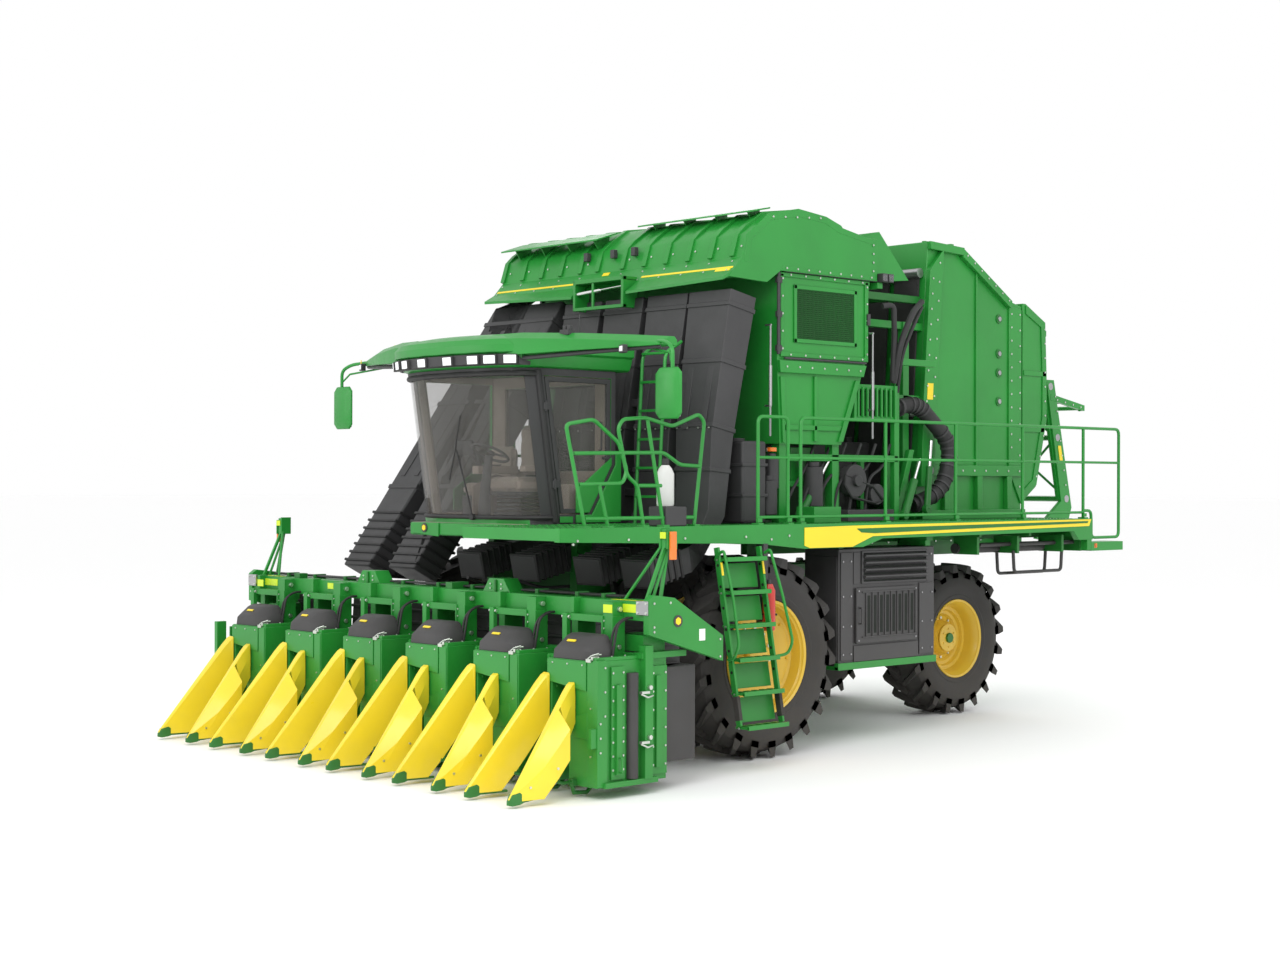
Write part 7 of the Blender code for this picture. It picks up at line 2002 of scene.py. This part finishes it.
# ---------------------------------------------------------------- studio
def studio():
    """Pale floor and backdrop, soft overhead light and the camera at the machine's front left quarter."""
    floor_mesh = bmesh.new()
    bmesh.ops.create_grid(floor_mesh, x_segments=1, y_segments=1, size=300)
    mesh = bpy.data.meshes.new("studio_floor")
    floor_mesh.to_mesh(mesh)
    floor_mesh.free()
    floor = bpy.data.objects.new("studio_floor", mesh)
    ground = bpy.data.materials.new("studio_floor")
    ground.use_nodes = True
    shader = ground.node_tree.nodes["Principled BSDF"]
    shader.inputs["Base Color"].default_value = (0.99, 0.99, 0.99, 1)
    shader.inputs["Roughness"].default_value = 0.75
    mesh.materials.append(ground)
    staged = [floor]
    for name, place, aim, size, watts in (("key_light", (9, -13, 11), (0, 0, 2), 9, 900),
                                          ("fill_light", (12, 1, 11), (0, 1, 2), 10, 300),
                                          ("front_light", (-7, -14, 7), (0, -2, 2), 8, 250),
                                          ("back_light", (-9, 10, 9), (0, 1, 3), 9, 350)):
        lamp = bpy.data.lights.new(name, "AREA")
        lamp.shape = "DISK"
        lamp.size = size
        lamp.energy = watts
        holder = bpy.data.objects.new(name, lamp)
        holder.location = place
        holder.rotation_euler = (Vector(aim) - Vector(place)).to_track_quat("-Z", "Y").to_euler()
        staged.append(holder)
    lens = bpy.data.cameras.new("camera")
    lens.lens = 54.14
    lens.sensor_width = 36
    lens.clip_end = 400
    camera = bpy.data.objects.new("camera", lens)
    camera.location = (14.885, -15.107, 2.643)
    camera.rotation_euler = (math.radians(90.058), math.radians(-0.153), math.radians(46.95))
    staged.append(camera)
    for thing in staged:
        bpy.context.scene.collection.objects.link(thing)
    bpy.context.scene.camera = camera
    world = bpy.data.worlds.new("studio")
    world.use_nodes = True
    tree = world.node_tree
    sky = tree.nodes["Background"]
    sky.inputs["Color"].default_value = (1.0, 1.0, 1.0, 1)
    sky.inputs["Strength"].default_value = 1.0
    bpy.context.scene.world = world
    bpy.context.scene.view_settings.view_transform = "Standard"


# ---------------------------------------------------------------- add-on
class CottonPickerStep(bpy.types.Operator):
    """One group of the machine's finished pieces."""

    bl_idname = "cotton_picker.step"
    bl_label = "Cotton picker step"

    def build(self, scene):
        raise NotImplementedError

    def execute(self, context):
        self.build(context.scene)
        return {"FINISHED"}


class CottonPickerLooks(CottonPickerStep):
    """Mix every finish of the machine."""

    bl_idname = "cotton_picker.looks"
    bl_label = "Finishes"

    def build(self, scene):
        mix_looks(scene.cotton_picker_paints)


class CottonPickerWheels(CottonPickerStep):
    """Tyres with chevron lugs, dished rims, hubs and nuts."""

    bl_idname = "cotton_picker.wheels"
    bl_label = "Wheels"

    def build(self, scene):
        make_wheels(scene.cotton_picker_sizes)


class CottonPickerHeader(CottonPickerStep):
    """Picking units, dividers, toolbar, end panels and suction doors."""

    bl_idname = "cotton_picker.header"
    bl_label = "Header"

    def build(self, scene):
        make_header()


class CottonPickerStudio(CottonPickerStep):
    """Floor, lights and camera."""

    bl_idname = "cotton_picker.studio"
    bl_label = "Studio"

    def build(self, scene):
        studio()


class CottonPickerCab(CottonPickerStep):
    """Cab shell, glass, roof, lamps, mirrors, seats and controls."""

    bl_idname = "cotton_picker.cab"
    bl_label = "Cab"

    def build(self, scene):
        make_cab()


class CottonPickerDecks(CottonPickerStep):
    """Walkways, railings, stripes and the fittings on the decks."""

    bl_idname = "cotton_picker.decks"
    bl_label = "Decks and railings"

    def build(self, scene):
        make_decks(scene.cotton_picker_sizes)


class CottonPickerLadders(CottonPickerStep):
    """Boarding ladder with its handrails, and the ladder to the roof."""

    bl_idname = "cotton_picker.ladders"
    bl_label = "Ladders"

    def build(self, scene):
        make_ladders()


class CottonPickerDucts(CottonPickerStep):
    """Six air ducts with bands, bellows and pressings."""

    bl_idname = "cotton_picker.ducts"
    bl_label = "Air ducts"

    def build(self, scene):
        make_ducts()


class CottonPickerAccumulator(CottonPickerStep):
    """Ribbed hood, lip, air screen, hopper and the machinery below it."""

    bl_idname = "cotton_picker.accumulator"
    bl_label = "Accumulator"

    def build(self, scene):
        make_accumulator()


class CottonPickerChamber(CottonPickerStep):
    """Chamber walls, tailgate, their posts, ribs, rollers and belts."""

    bl_idname = "cotton_picker.chamber"
    bl_label = "Module builder"

    def build(self, scene):
        make_chamber()


class CottonPickerHandler(CottonPickerStep):
    """Folding arms, cross tubes and braces behind the tailgate."""

    bl_idname = "cotton_picker.handler"
    bl_label = "Module handler"

    def build(self, scene):
        make_handler()


class CottonPickerChassis(CottonPickerStep):
    """Frame rails, axles, knuckles, cylinders and tie rod."""

    bl_idname = "cotton_picker.chassis"
    bl_label = "Chassis and axles"

    def build(self, scene):
        make_chassis()


class CottonPickerCabinets(CottonPickerStep):
    """Cabinet with louvres and its door, fuel tank, water tank and engine."""

    bl_idname = "cotton_picker.cabinets"
    bl_label = "Side cabinets"

    def build(self, scene):
        make_cabinets()


STEPS = (CottonPickerLooks, CottonPickerWheels, CottonPickerHeader, CottonPickerCab, CottonPickerDecks,
         CottonPickerLadders, CottonPickerDucts, CottonPickerAccumulator, CottonPickerChamber,
         CottonPickerHandler, CottonPickerChassis, CottonPickerCabinets, CottonPickerStudio)


class CottonPickerPanel(bpy.types.Panel):
    """Sizes, paints and building steps of the cotton picker."""

    bl_idname = "VIEW3D_PT_cotton_picker"
    bl_label = "Cotton Picker Machine"
    bl_space_type = "VIEW_3D"
    bl_region_type = "UI"
    bl_category = "Picker"

    def draw(self, context):
        scene = context.scene
        for group in (scene.cotton_picker_sizes, scene.cotton_picker_paints):
            box = self.layout.box()
            for name in group.bl_rna.properties.keys():
                if name not in {"rna_type", "name"}:
                    box.prop(group, name)
        for step in STEPS:
            self.layout.operator(step.bl_idname)


CLASSES = (CottonPickerPaints, CottonPickerSizes, *STEPS, CottonPickerPanel)


def register():
    for item in CLASSES:
        bpy.utils.register_class(item)
    bpy.types.Scene.cotton_picker_paints = PointerProperty(type=CottonPickerPaints)
    bpy.types.Scene.cotton_picker_sizes = PointerProperty(type=CottonPickerSizes)


def unregister():
    del bpy.types.Scene.cotton_picker_sizes
    del bpy.types.Scene.cotton_picker_paints
    for item in reversed(CLASSES):
        bpy.utils.unregister_class(item)


def main():
    register()
    for step in STEPS:
        group, name = step.bl_idname.split(".")
        getattr(getattr(bpy.ops, group), name)()


if __name__ == "__main__":
    main()
